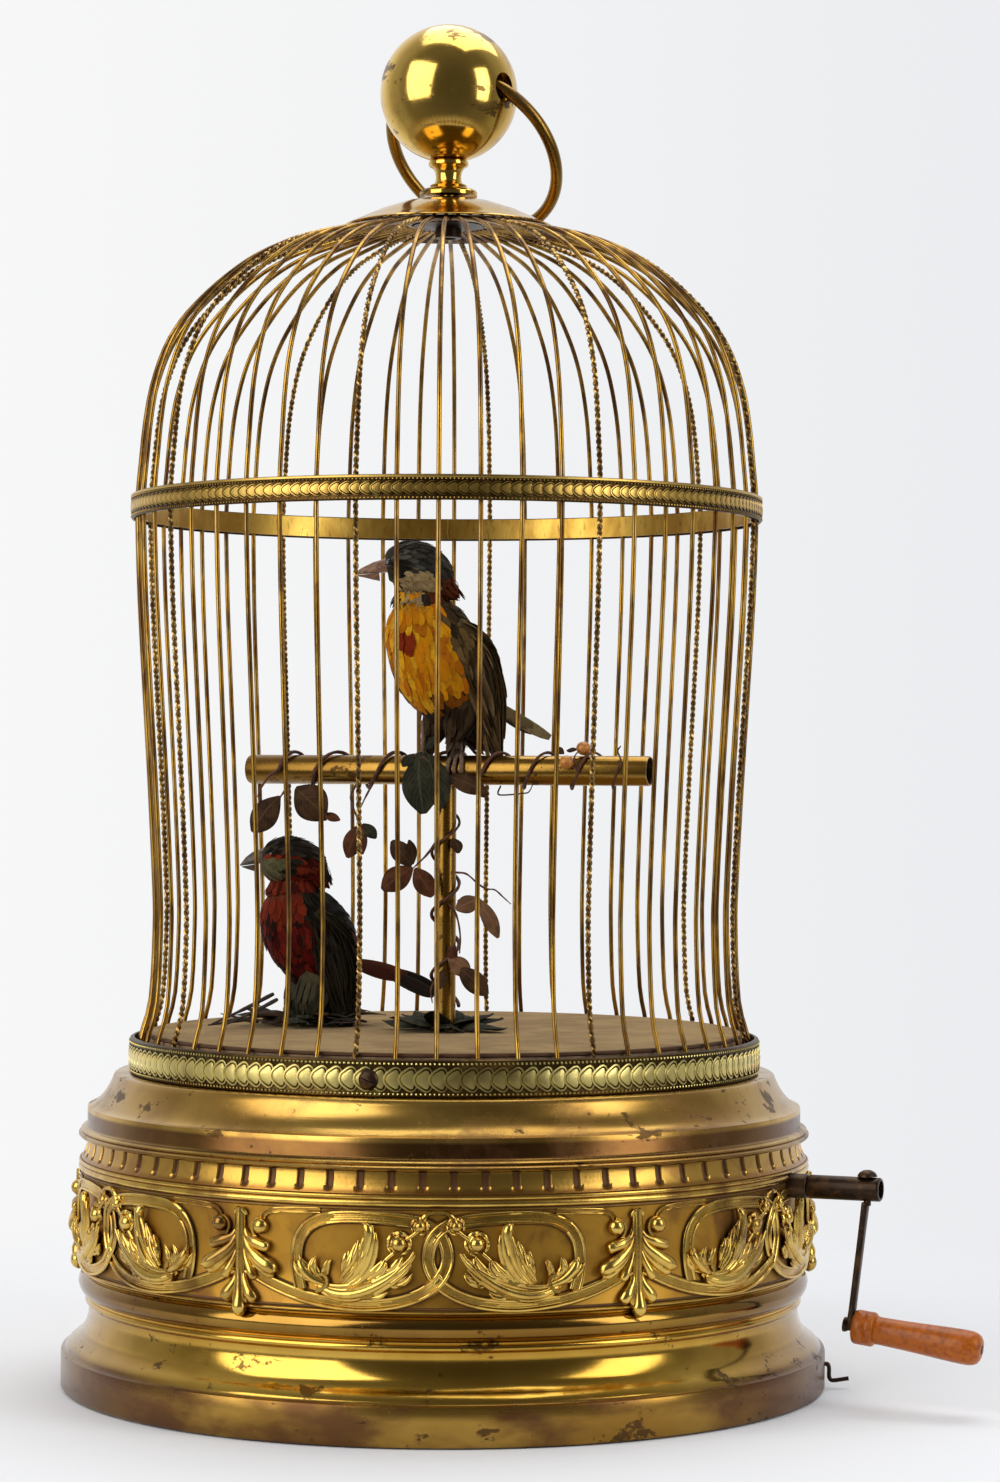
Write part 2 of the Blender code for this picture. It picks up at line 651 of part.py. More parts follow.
def bar_frame():
    """The perch bar's own frame: x along it."""
    return Matrix.Translation((0, 0, PERCH_Z)) @ Matrix.Rotation(math.radians(PERCH_YAW), 4, "Z")


def bar_vine_path():
    """The vine's turns round the perch bar, in the bar's frame, from its front crossings."""
    coil_r = PERCH_R + GAP + VINE_R + 0.0002
    per_turn = 8
    path = []
    for start, end in zip(BAR_VINE_CROSSINGS, BAR_VINE_CROSSINGS[1:]):
        for step in range(per_turn):
            share = step / per_turn
            angle = 2 * math.pi * share
            path.append(Vector((start + (end - start) * share, -coil_r * math.cos(angle),
                                coil_r * math.sin(angle))))
    path.append(Vector((BAR_VINE_CROSSINGS[-1], -coil_r, 0.0)))
    return path


def build_perch():
    """Post, bar, vine, leaves and berries."""
    half = PERCH_LEN / 2
    bar = turned("perch_bar",
                 [(PERCH_R - 0.0004, half), (PERCH_R, half - 0.0004), (PERCH_R, -half + 0.0016),
                  (PERCH_R - 0.0012, -half + 0.0004), (0.0, -half), (0.0, -half + 0.0020),
                  (PERCH_R - PERCH_WALL, -half + 0.0030), (PERCH_R - PERCH_WALL, half)],
                 "brass", FINE, closed=False)
    close_profile(bar)
    bar.matrix_world = bar_frame() @ Matrix.Rotation(math.pi / 2, 4, "Y")

    post_top = PERCH_Z - PERCH_R - GAP
    post_low = FELT_TOP_Z + GAP
    post_in = POST_R - POST_WALL
    turned("perch_post", [(POST_R, post_top), (POST_R, post_low), (post_in, post_low),
                          (post_in, post_top)], "brass", FINE)

    path = bar_vine_path()
    least = min((a - b).length for i, a in enumerate(path) for b in path[i + 6:])
    print(f"bar vine: least gap between turns {1000 * (least - 2 * VINE_R):.2f} mm")
    vine = tube("bar_vine", path, VINE_R, "vine", 1)
    drop = PERCH_R + 0.0016
    sprigs = (
        (-0.070, 0.0, (-0.25, -0.75, -1.0), 0.021, 0.014),
        (-0.061, 0.0, (0.30, -0.65, -1.0), 0.020, 0.015),
        (-0.034, 0.0, (0.75, -0.55, -0.8), 0.019, 0.011),
        (-0.028, 0.0, (-0.35, -0.50, -1.0), 0.015, 0.009),
        (0.026, 0.0, (-0.50, -0.50, -0.6), 0.017, 0.011),
    )
    for number, (x, y, direction, length, width) in enumerate(sprigs):
        near = min(path, key=lambda p: abs(p.x - x) + 3 * (p.z + drop) ** 2 / drop)
        join(vine, leaf(f"bar_leaf_{number}", near, direction, length, width, 0.004, "vine"))
    for number, x in enumerate((0.0560, 0.0625)):
        near = min(path, key=lambda p: abs(p.x - x) * 2 - p.z + p.y)
        berry = bmesh.new()
        bmesh.ops.create_icosphere(berry, subdivisions=1, radius=BERRY_R)
        lift = Vector((0.0, near.y, near.z)).normalized() * (BERRY_R + 0.0001)
        bmesh.ops.translate(berry, vec=near + lift, verts=berry.verts[:])
        join(vine, from_bmesh(f"berry_{number}", berry, "vine", CUTTERS))
    move_with_cutters(vine, bar_frame())

    coil_r = POST_R + GAP + VINE_R + 0.0002
    low = post_low + 0.0100
    high = PERCH_Z - PERCH_R - 0.0030
    count = int((high - low) / POST_VINE_PITCH * 8)
    climb = []
    for step in range(count + 1):
        z = low + (high - low) * step / count
        angle = 2 * math.pi * (z - low) / POST_VINE_PITCH
        climb.append(Vector((coil_r * math.cos(angle), coil_r * math.sin(angle), z)))
    post_vine = tube("post_vine", climb, VINE_R, "vine", 1)
    sprays = (
        (0.0700, (-1.0, -0.3, 0.10), 0.018, 0.013),
        (0.0740, (-0.8, 0.2, 0.75), 0.014, 0.010),
        (0.0680, (-0.6, -0.6, -0.55), 0.015, 0.012),
        (0.0550, (1.0, -0.3, -0.15), 0.019, 0.012),
        (0.0480, (0.8, 0.3, -0.85), 0.016, 0.010),
        (0.0260, (0.7, -0.5, -0.60), 0.020, 0.013),
        (0.0310, (0.9, 0.3, 0.30), 0.013, 0.009),
    )
    for number, (rise, direction, length, width) in enumerate(sprays):
        z = FELT_TOP_Z + rise
        flat = Vector((direction[0], direction[1], 0.0)).normalized()
        near = min(climb, key=lambda p: abs(p.z - z) - p.to_2d().dot(flat.to_2d()))
        join(post_vine, leaf(f"post_leaf_{number}", near, direction, length, width, 0.003, "vine"))

    rosette("post_leaves", Vector((0.0, 0.0, FELT_TOP_Z)), POST_R + 0.0012, 7, 0.027, 0.014, 3.0)


def rosette(name, centre, hub_r, count, length, width, turn):
    """A ring of leaves lying on the felt round a collar."""
    low = GAP
    hub = turned(name, [(hub_r + 0.0022, low + 0.0022), (hub_r + 0.0030, low), (hub_r, low),
                        (hub_r, low + 0.0022)], "leaf", COARSE)
    for number in range(count):
        angle = 2 * math.pi * number / count + turn
        reach = length * (0.80 + 0.20 * math.sin(number * 2.4))
        direction = Vector((math.cos(angle), math.sin(angle), 0.16 + 0.10 * math.sin(number * 1.7)))
        start = Vector((math.cos(angle), math.sin(angle), 0.0)) * (hub_r + 0.0015)
        start.z = low + 0.0014
        join(hub, leaf(f"{name}_{number}", start, direction, reach, width, 0.003))
    move_with_cutters(hub, Matrix.Translation(centre))
    return hub


def close_profile(obj):
    """Close a turned profile whose middle touches the axis."""
    mesh_data = bmesh.new()
    mesh_data.from_mesh(obj.data)
    mesh_data.verts.ensure_lookup_table()
    mesh_data.edges.new((mesh_data.verts[-1], mesh_data.verts[0]))
    mesh_data.to_mesh(obj.data)
    mesh_data.free()


def move_with_cutters(obj, matrix):
    """Move an object together with what is cut from it or joined to it."""
    obj.matrix_world = matrix @ obj.matrix_world
    for modifier in obj.modifiers:
        if modifier.type == "BOOLEAN":
            modifier.object.matrix_world = matrix @ modifier.object.matrix_world


# Birds

def swelling(name, stations, finish, squash=None, y=0.0, resolution=2, collection=PARTS):
    """A body that swells and tapers along stations of (x, z, radius)."""
    path = [Vector((x, y, z)) for x, z, _ in stations]
    radii = [r for _, _, r in stations]
    return tube(name, path, max(radii), finish, resolution, radii=radii, squash=squash,
                collection=collection)


def build_bird(prefix, place, yaw, head_yaw, breast, spec):
    """A bird of four pieces: body, head, lower beak and tail."""
    stand = Matrix.Translation(place) @ Matrix.Rotation(math.radians(yaw), 4, "Z")
    body = swelling(f"{prefix}_bird_body", spec["body"], breast, squash=(1.0, spec["flat"], 1.0))
    for sign, side in ((-1, "left"), (1, "right")):
        join(body, swelling(f"{prefix}_{side}_wing", spec["wing"], breast,
                            squash=(1.0, 0.42, 1.0), y=sign * spec["wing_y"], resolution=1,
                            collection=CUTTERS))
        foot_x, foot_y, foot_z = spec["foot"]
        knee = Vector((foot_x, sign * foot_y, foot_z))
        hip = Vector((spec["hip"][0], sign * foot_y * 0.8, spec["hip"][1]))
        toe = knee + Vector((0.0075, sign * 0.0015, spec["toe_drop"]))
        join(body, tube(f"{prefix}_{side}_leg", [hip, knee, toe], 0.0012, breast, 1,
                        collection=CUTTERS))
    bore = spec.get("bore")
    if bore:
        cut(body, rod(f"{prefix}_wire_bore", (bore[0], 0, bore[1]), (bore[0], 0, bore[2]),
                      PUSH_WIRE_R + 0.0007, breast))
    socket = Vector((spec["neck"][0], 0.0, spec["neck"][1]))
    cut(body, rod(f"{prefix}_neck_socket", socket - Vector((0, 0, NECK_PIN_LEN + 2 * GAP)),
                  socket + Vector((0, 0, 0.0100)), NECK_PIN_R + RUN, breast))
    move_with_cutters(body, stand)

    turn = stand @ Matrix.Translation(socket) @ Matrix.Rotation(math.radians(head_yaw), 4, "Z")
    head = swelling(f"{prefix}_bird_head", spec["head"], "dark_feather",
                    squash=(1.0, 0.86, 1.0))
    join(head, rod(f"{prefix}_upper_beak", spec["beak_root"], spec["beak_tip"],
                   spec["beak_r"], "beak", 10, 0.0004, collection=CUTTERS))
    join(head, rod(f"{prefix}_neck_pin", (0, 0, -NECK_PIN_LEN), (0, 0, 0.0060), NECK_PIN_R,
                   "dark_feather", collection=CUTTERS))
    root = Vector(spec["beak_root"])
    tip = Vector(spec["beak_tip"])
    slope = math.atan2(root.z - tip.z, tip.x - root.x)
    hinge = Vector((root.x + spec["gape"], 0.0, root.z - MOUTH_DROP))
    down = Vector((-math.sin(slope), 0.0, -math.cos(slope)))
    ahead = Vector((math.cos(slope), 0.0, -math.sin(slope)))
    for opening in (0.0, BEAK_OPEN_DEG):
        size = (spec["head"][2][2] * 2, spec["head"][2][2] * 2, spec["head"][2][2])
        mouth = box(f"{prefix}_mouth_{opening:.0f}", size, (size[0] / 2, 0.0, -size[2] / 2),
                    "beak", CUTTERS)
        mouth.matrix_world = Matrix.Translation(hinge) @ Matrix.Rotation(
            slope + math.radians(opening), 4, "Y")
        cut(head, mouth)
    move_with_cutters(head, turn)

    jaw_start = hinge + ahead * 0.0003 + down * (spec["beak_r"] * 0.42 + GAP)
    jaw_end = jaw_start + ahead * spec["jaw_len"] - down * spec["beak_r"] * 0.22
    jaw = rod(f"{prefix}_bird_beak", jaw_start, jaw_end, spec["beak_r"] * 0.42, "beak", 10,
              0.0003)
    jaw.matrix_world = turn

    tail_root = Vector((spec["tail"][0], 0.0, spec["tail"][1]))
    tail_end = tail_root + Vector((spec["tail"][2], 0.0, spec["tail"][3]))
    tail = tube(f"{prefix}_bird_tail",
                [tail_root, tail_root.lerp(tail_end, 0.5), tail_end], spec["tail_w"] / 2,
                "dark_feather", 1,
                radii=[spec["tail_w"] * 0.30, spec["tail_w"] * 0.5, spec["tail_w"] * 0.36])
    along = (tail_end - tail_root).normalized()
    normal = Vector((-along.z, 0.0, along.x))
    base = Matrix((along, Vector((0, 1, 0)), normal)).transposed().to_4x4()
    flat = base @ Matrix.Diagonal((1.0, 1.0, 0.0018 / spec["tail_w"], 1.0)) @ base.inverted()
    tail.data.transform(Matrix.Translation(tail_root) @ flat @ Matrix.Translation(-tail_root))
    tail.matrix_world = stand


UPPER_BIRD = {
    "body": [(-0.0150, 0.0110, 0.0060), (-0.0110, 0.0170, 0.0120), (-0.0060, 0.0260, 0.0180),
             (0.0000, 0.0360, 0.0215), (0.0060, 0.0460, 0.0205), (0.0105, 0.0550, 0.0165),
             (0.0125, 0.0605, 0.0110), (0.0130, 0.0635, 0.0060)],
    "flat": 0.90,
    "wing": [(0.0040, 0.0560, 0.0040), (-0.0040, 0.0470, 0.0100), (-0.0130, 0.0330, 0.0110),
             (-0.0210, 0.0190, 0.0075), (-0.0270, 0.0060, 0.0020)],
    "wing_y": 0.0150,
    "foot": (0.0010, 0.0100, 0.0016),
    "hip": (-0.0040, 0.0200),
    "toe_drop": -0.0001,
    "neck": (0.0130, 0.0668),
    "head": [(-0.0125, 0.0035, 0.0030), (-0.0095, 0.0060, 0.0080), (-0.0030, 0.0100, 0.0118),
             (0.0040, 0.0125, 0.0122), (0.0100, 0.0130, 0.0095), (0.0135, 0.0125, 0.0055)],
    "beak_root": (0.0100, 0.0, 0.0118),
    "beak_tip": (0.0280, 0.0, 0.0092),
    "beak_r": 0.0052,
    "gape": 0.0060,
    "jaw_len": 0.0110,
    "tail": (-0.0216, 0.0250, -0.0285, -0.0112),
    "tail_w": 0.0100,
}
LOWER_BIRD = {
    "body": [(-0.0120, 0.0130, 0.0090), (-0.0090, 0.0220, 0.0150), (-0.0030, 0.0340, 0.0190),
             (0.0020, 0.0410, 0.0192), (0.0060, 0.0480, 0.0162), (0.0080, 0.0535, 0.0115),
             (0.0085, 0.0560, 0.0070)],
    "flat": 0.92,
    "wing": [(0.0020, 0.0480, 0.0040), (-0.0060, 0.0400, 0.0100), (-0.0130, 0.0300, 0.0110),
             (-0.0170, 0.0170, 0.0085), (-0.0190, 0.0060, 0.0030)],
    "wing_y": 0.0145,
    "foot": (0.0020, 0.0100, 0.0050),
    "hip": (-0.0040, 0.0200),
    "toe_drop": -0.0010,
    "bore": (0.0, -0.0050, 0.0200),
    "neck": (0.0080, 0.0602),
    "head": [(-0.0115, 0.0040, 0.0040), (-0.0085, 0.0070, 0.0090), (-0.0020, 0.0095, 0.0112),
             (0.0050, 0.0105, 0.0108), (0.0105, 0.0105, 0.0080), (0.0135, 0.0105, 0.0045)],
    "beak_root": (0.0100, 0.0, 0.0105),
    "beak_tip": (0.0225, 0.0, 0.0085),
    "beak_r": 0.0052,
    "gape": 0.0055,
    "jaw_len": 0.0068,
    "tail": (-0.0228, 0.0250, -0.0360, -0.0170),
    "tail_w": 0.0090,
}


# Crank and stop lever

def build_crank():
    """Bush, shaft, arm with its rivet and pin, and the turned grip."""
    turn = rotation(CRANK_AZIMUTH)
    lie = Matrix.Rotation(math.pi / 2, 4, "Y")
    level = Matrix.Translation((0, 0, CRANK_Z))

    bush_end = FRIEZE_R + BUSH_OUT
    bush_low = bush_end - BUSH_LEN
    bush = turned("crank_bush", [(BUSH_R, bush_end), (BUSH_R, bush_low),
                                 (ARBOR_R + RUN, bush_low), (ARBOR_R + RUN, bush_end)],
                  "bronze", COARSE)
    bush.matrix_world = turn @ level @ lie

    shaft_end = bush_end + SHAFT_OUT
    bore_low = shaft_end - SHAFT_BORE_DEPTH
    shaft = turned("crank_shaft",
                   [(SHAFT_BORE_R, shaft_end), (SHAFT_R - GAP, shaft_end),
                    (SHAFT_R, shaft_end - GAP), (SHAFT_R, bush_end + GAP),
                    (ARBOR_R, bush_end + GAP), (ARBOR_R, ARBOR_END_X),
                    (0.0, ARBOR_END_X), (0.0, bore_low), (SHAFT_BORE_R, bore_low)],
                   "bronze", COARSE, closed=False)
    close_profile(shaft)
    shaft.matrix_world = turn @ level @ lie

    lean = math.radians(ARM_LEAN_DEG)
    upright = turn @ Matrix.Translation((shaft_end - ARM_IN, 0, CRANK_Z))
    tilt = upright @ Matrix.Rotation(lean, 4, "Y")
    arm_top = SHAFT_R + GAP + 0.0004
    arm_low = ARM_LEN + 0.0020
    arm = box("crank_arm", (ARM_T, ARM_W, arm_low - arm_top),
              (0.0, 0.0, -(arm_low + arm_top) / 2), "bronze")
    join(arm, rod("grip_pin", (-ARM_T / 4, 0, -ARM_LEN), (GRIP_LEN + ARM_T, 0, -ARM_LEN), PIN_R,
                  "bronze"))
    move_with_cutters(arm, tilt)
    stub = rod("arm_stub", (0, 0, -arm_top - 0.0012), (0, 0, SHAFT_R + 0.0008), STUB_R, "bronze")
    stub.matrix_world = upright
    join(arm, stub)
    head = bmesh.new()
    bmesh.ops.create_uvsphere(head, u_segments=16, v_segments=10, radius=RIVET_R)
    bmesh.ops.bisect_plane(head, geom=head.verts[:] + head.edges[:] + head.faces[:],
                           plane_co=(0, 0, 0), plane_no=(0, 0, -1), clear_outer=True)
    bmesh.ops.holes_fill(head, edges=head.edges[:])
    bmesh.ops.scale(head, vec=(1.0, 1.0, 0.70), verts=head.verts[:])
    bmesh.ops.translate(head, vec=(0, 0, SHAFT_R + GAP), verts=head.verts[:])
    rivet = from_bmesh("arm_rivet", head, "bronze", CUTTERS)
    rivet.matrix_world = upright
    join(arm, rivet)

    hole = rod("arm_hole", (0, 0, -2 * SHAFT_R), (0, 0, 2 * SHAFT_R), STUB_R + GAP, "bronze")
    hole.matrix_world = upright
    cut(shaft, hole)

    bore = PIN_R + RUN
    grip = turned("crank_grip",
                  [(bore, GRIP_LEN), (0.0030, GRIP_LEN), (0.0056, GRIP_LEN - 0.0012),
                   (0.0068, GRIP_LEN - 0.0040), (0.0070, GRIP_LEN - 0.0075),
                   (0.0064, GRIP_LEN - 0.0200), (0.0056, COLLAR_LEN + 0.0060),
                   (0.0056, COLLAR_LEN + 0.0008), (COLLAR_R - 0.0004, COLLAR_LEN),
                   (COLLAR_R, COLLAR_LEN - 0.0008), (COLLAR_R, 0.0008), (COLLAR_R - 0.0006, 0.0),
                   (bore, 0.0)], "grip_wood", COARSE)
    grip.matrix_world = tilt @ Matrix.Translation((ARM_T / 2 + GAP, 0, -ARM_LEN)) @ lie


def build_stop_lever():
    """A bent wire on a vertical pivot, out through the slot in the foot band."""
    turn = rotation(LEVER_AZIMUTH)
    pivot_r = FOOT_R - LEVER_ARM_LEN
    out = FOOT_R + GAP + LEVER_WIRE_R + 0.0006
    bend = 0.0012
    low = LEVER_Z - LEVER_DROP
    path = [(pivot_r, 0, LEVER_Z + 0.0080), (pivot_r, 0, LEVER_Z + bend),
            (pivot_r + bend, 0, LEVER_Z), (out - bend, 0, LEVER_Z), (out, 0, LEVER_Z - bend),
            (out, 0, low + bend), (out + bend, 0, low), (out + LEVER_REACH, 0, low + 0.0012)]
    lever = tube("stop_lever", path, LEVER_WIRE_R, "bronze", 2)
    join(lever, rod("lever_pivot", (pivot_r, 0, BOARD_T + GAP),
                    (pivot_r, 0, LEVER_Z + 0.0030), LEVER_WIRE_R * 1.8, "bronze", 12))
    move_with_cutters(lever, turn)


# Movement

def gear(name, teeth, x, y, z, width, finish, phase=0.0):
    """A spur gear about local X, with straight-flanked teeth and backlash."""
    pitch_r = MODULE * teeth / 2
    step = 2 * math.pi / teeth
    tip, root = pitch_r + 0.80 * MODULE, pitch_r - 1.05 * MODULE
    outline = []
    for tooth in range(teeth):
        middle = tooth * step + phase
        outline += [(root, middle - 0.27 * step), (tip, middle - 0.09 * step),
                    (tip, middle + 0.09 * step), (root, middle + 0.27 * step)]
    mesh_data = bmesh.new()
    rim = [mesh_data.verts.new((0.0, r * math.cos(a), r * math.sin(a))) for r, a in outline]
    face = mesh_data.faces.new(rim)
    grown = bmesh.ops.extrude_face_region(mesh_data, geom=[face])
    moved = [item for item in grown["geom"] if isinstance(item, bmesh.types.BMVert)]
    bmesh.ops.translate(mesh_data, vec=(width, 0, 0), verts=moved)
    bmesh.ops.translate(mesh_data, vec=(x, 0, 0), verts=mesh_data.verts[:])
    made = from_bmesh(name, mesh_data, finish, CUTTERS)
    made.matrix_world = Matrix.Translation((0, y, z))
    return made


def cam_axis_z():
    """Height of the cam shaft, where its pinion meets the great wheel."""
    distance = MODULE * (GREAT_TEETH + CAM_PINION_TEETH) / 2
    return CRANK_Z - math.sqrt(distance ** 2 - CAM_AXIS_Y ** 2)


def fly_axis():
    """Place of the fly's axis, where its pinion meets the governor wheel."""
    distance = MODULE * (GOVERNOR_TEETH + FLY_TEETH) / 2
    return (CAM_AXIS_Y + FLY_AXIS_DY,
            cam_axis_z() + math.sqrt(distance ** 2 - FLY_AXIS_DY ** 2))


def mesh_phase(angle, driver_teeth, teeth):
    """Tooth phase of a wheel so that its space faces the driver's tooth along an angle."""
    into_driver = (angle / (2 * math.pi / driver_teeth)) % 1.0
    step = 2 * math.pi / teeth
    return angle + math.pi - step * (0.5 - into_driver)


def build_movement():
    """Bed, plates, spring barrel, cam shaft, fly, bellows, whistle, levers and push wires."""
    made = []
    bed_z = BOARD_T + GAP
    bed_top = bed_z + BED_T
    cam_z = cam_axis_z()
    fly_y, fly_z = fly_axis()
    inner_x = INNER_PLATE_X
    outer_x = OUTER_PLATE_X

    corner = FOOT_R - WALL - GAP - BED_MARGIN
    side = BED_W / 2 + abs(BED_CENTRE[0])
    bed_l = 2 * (math.sqrt(corner ** 2 - side ** 2) - abs(BED_CENTRE[1]))
    made.append(box("bed_plate", (BED_W, bed_l, BED_T),
                    (BED_CENTRE[0], BED_CENTRE[1], bed_z + BED_T / 2), "steel"))
    plate_low = bed_top + GAP
    plate_top = CRANK_Z + 0.0120
    for name, x in (("outer_plate", outer_x), ("inner_plate", inner_x - PLATE_T)):
        low_y = fly_y - 0.0080
        high_y = 0.0120
        plate = box(name, (PLATE_T, high_y - low_y, plate_top - plate_low),
                    (x + PLATE_T / 2, (high_y + low_y) / 2, (plate_top + plate_low) / 2), "brass")
        reach = (x - 0.01, x + PLATE_T + 0.01)
        holes = [("cam", CAM_AXIS_Y, cam_z, CAM_SHAFT_R)]
        if name == "outer_plate":
            holes += [("arbor", 0.0, CRANK_Z, ARBOR_R), ("fly", fly_y, fly_z, FLY_SHAFT_R)]
        for label, y, z, radius in holes:
            cut(plate, rod(f"{name}_{label}_hole", (reach[0], y, z), (reach[1], y, z),
                           radius + RUN, "brass"))
        made.append(plate)

    barrel_end = MESH_X - GAP
    drum = turned("spring_barrel",
                  [(BARREL_R, barrel_end), (BARREL_R, BARREL_X), (BARREL_R - 0.0016, BARREL_X),
                   (BARREL_R - 0.0016, barrel_end - 0.0020),
                   (ARBOR_R / 2, barrel_end - 0.0020), (ARBOR_R / 2, barrel_end)],
                  "brass", FINE)
    drum.matrix_world = Matrix.Translation((0, 0, CRANK_Z)) @ Matrix.Rotation(math.pi / 2, 4, "Y")
    wheel = gear("great_wheel", GREAT_TEETH, MESH_X - GAP - 0.0003, 0, CRANK_Z, GEAR_W, "brass")
    join(drum, wheel)
    cut(drum, rod("barrel_bore", (BARREL_X, 0, CRANK_Z), (outer_x, 0, CRANK_Z), ARBOR_R + RUN,
                  "brass", FINE))
    made.append(drum)
    coil_out = BARREL_R - 0.0016 - GAP
    spring = turned("mainspring", [(coil_out, barrel_end - 0.0024), (coil_out, BARREL_X + 0.0010),
                                   (ARBOR_R + 2 * RUN, BARREL_X + 0.0010),
                                   (ARBOR_R + 2 * RUN, barrel_end - 0.0024)], "steel", FINE)
    spring.matrix_world = drum.matrix_world.copy()
    made.append(spring)

    shaft = rod("cam_shaft", (inner_x - PLATE_T, CAM_AXIS_Y, cam_z),
                (outer_x + PLATE_T, CAM_AXIS_Y, cam_z), CAM_SHAFT_R, "steel")
    angle = math.atan2(cam_z - CRANK_Z, CAM_AXIS_Y)
    pinion = gear("cam_pinion", CAM_PINION_TEETH, MESH_X, CAM_AXIS_Y, cam_z, GEAR_W - 0.0006,
                  "steel", mesh_phase(angle, GREAT_TEETH, CAM_PINION_TEETH))
    join(shaft, pinion)
    join(shaft, gear("governor_wheel", GOVERNOR_TEETH, GOVERNOR_X, CAM_AXIS_Y, cam_z, GEAR_W,
                     "steel"))
    made.append(shaft)

    hub_low = LOWER_CAM_X - 0.0080
    hub_high = UPPER_CAM_X + 0.0080
    cams = turned("song_cams", [(CAM_HUB_R, hub_high), (CAM_HUB_R, hub_low),
                                (CAM_SHAFT_R / 2, hub_low), (CAM_SHAFT_R / 2, hub_high)],
                  "brass", 12)
    cams.matrix_world = (Matrix.Translation((0, CAM_AXIS_Y, cam_z))
                         @ Matrix.Rotation(math.pi / 2, 4, "Y"))
    for label, x, lobes in (("upper", UPPER_CAM_X, 3), ("middle", -0.0240, 5),
                            ("lower", LOWER_CAM_X, 4)):
        disc = bmesh.new()
        bmesh.ops.create_cone(disc, cap_ends=True, segments=20, radius1=CAM_R, radius2=CAM_R,
                              depth=CAM_T, matrix=Matrix.Rotation(math.pi / 2, 4, "Y"))
        for vertex in disc.verts:
            turn = math.atan2(vertex.co.z, vertex.co.y)
            dip = CAM_LIFT * (1 - math.cos(lobes * (turn - math.pi / 2))) / 2
            share = (CAM_R - dip) / CAM_R
            vertex.co.y *= share
            vertex.co.z *= share
        bmesh.ops.translate(disc, vec=(x, CAM_AXIS_Y, cam_z), verts=disc.verts[:])
        join(cams, from_bmesh(f"{label}_cam", disc, "brass", CUTTERS))
    cut(cams, rod("cam_bore", (hub_low - 0.01, CAM_AXIS_Y, cam_z),
                  (hub_high + 0.01, CAM_AXIS_Y, cam_z), CAM_SHAFT_R + RUN, "brass"))
    made.append(cams)

    fly = rod("governor_fly", (GOVERNOR_X - 0.0040, fly_y, fly_z),
              (outer_x + PLATE_T, fly_y, fly_z), FLY_SHAFT_R, "steel")
    angle = math.atan2(fly_z - cam_z, fly_y - CAM_AXIS_Y)
    join(fly, gear("fly_pinion", FLY_TEETH, GOVERNOR_X + 0.0003, fly_y, fly_z, GEAR_W - 0.0006,
                   "steel", mesh_phase(angle, GOVERNOR_TEETH, FLY_TEETH)))
    join(fly, box("fly_blades", (0.0140, 0.0012, 2 * FLY_BLADE_R), (0.0400, fly_y, fly_z),
                  "steel", CUTTERS))
    made.append(fly)

    long, wide = BELLOWS_SIZE
    board_z = bed_top + GAP
    made.append(box("bellows_board", (long, wide, BELLOWS_BOARD_T),
                    (BELLOWS_X, BELLOWS_Y, board_z + BELLOWS_BOARD_T / 2), "board"))
    leather_z = board_z + BELLOWS_BOARD_T + GAP
    made.append(box("bellows_leather", (long - 0.006, wide - 0.006, BELLOWS_LEATHER_H),
                    (BELLOWS_X, BELLOWS_Y, leather_z + BELLOWS_LEATHER_H / 2), "leather"))
    top_z = leather_z + BELLOWS_LEATHER_H + GAP
    made.append(box("bellows_top", (long, wide, BELLOWS_BOARD_T),
                    (BELLOWS_X, BELLOWS_Y, top_z + BELLOWS_BOARD_T / 2), "board"))

    whistle_y = BELLOWS_Y + wide / 2 - WHISTLE_R
    whistle_z = top_z + BELLOWS_BOARD_T + 0.0250
    whistle_x = BELLOWS_X - WHISTLE_LEN / 2
    bore = WHISTLE_R - WHISTLE_WALL
    whistle = turned("whistle_tube",
                     [(WHISTLE_R, WHISTLE_LEN), (WHISTLE_R, 0.0), (0.0, 0.0),
                      (0.0, 0.0020), (bore, 0.0020), (bore, WHISTLE_LEN)],
                     "brass", COARSE, closed=False)
    close_profile(whistle)
    whistle.matrix_world = (Matrix.Translation((whistle_x, whistle_y, whistle_z))
                            @ Matrix.Rotation(math.pi / 2, 4, "Y"))
    foot_y = whistle_y + WHISTLE_R + 0.0060
    made.append(whistle)
    join(whistle, box("whistle_bracket", (0.0080, 0.0040, whistle_z - bed_top - GAP),
                      (BELLOWS_X - 0.0200, foot_y, (whistle_z + bed_top + GAP) / 2), "brass"))
    join(whistle, box("whistle_clip", (0.0080, 0.0068, 0.0030),
                      (BELLOWS_X - 0.0200, foot_y - 0.0035, whistle_z), "brass"))
    mouth_x = whistle_x + 0.0120
    cut(whistle, box("whistle_mouth", (0.0060, 2 * bore, 0.0100),
                     (mouth_x, whistle_y, whistle_z + WHISTLE_R), "brass"))
    piston_x = whistle_x + WHISTLE_LEN - 0.0200
    piston = rod("whistle_piston", (piston_x, whistle_y, whistle_z),
                 (piston_x + PISTON_LEN, whistle_y, whistle_z), (bore - RUN) * 0.97, "steel", COARSE)
    join(piston, rod("piston_rod", (piston_x + 0.0040, whistle_y, whistle_z),
                     (piston_x + PISTON_LEN + 0.0240, whistle_y, whistle_z), 0.0012, "steel", 12))
    made.append(piston)

    build_levers(made, bed_top)
    for obj in made:
        move_with_cutters(obj, rotation(CRANK_AZIMUTH))


def lever_seat_z():
    """Height of the levers' pivot axis: their arms clear the cams' highest lobes."""
    return cam_axis_z() + CAM_R + GAP + LEVER_ARM_T / 2


def in_movement(place):
    """A world point in the movement's own frame."""
    return rotation(CRANK_AZIMUTH).inverted() @ Vector(place)


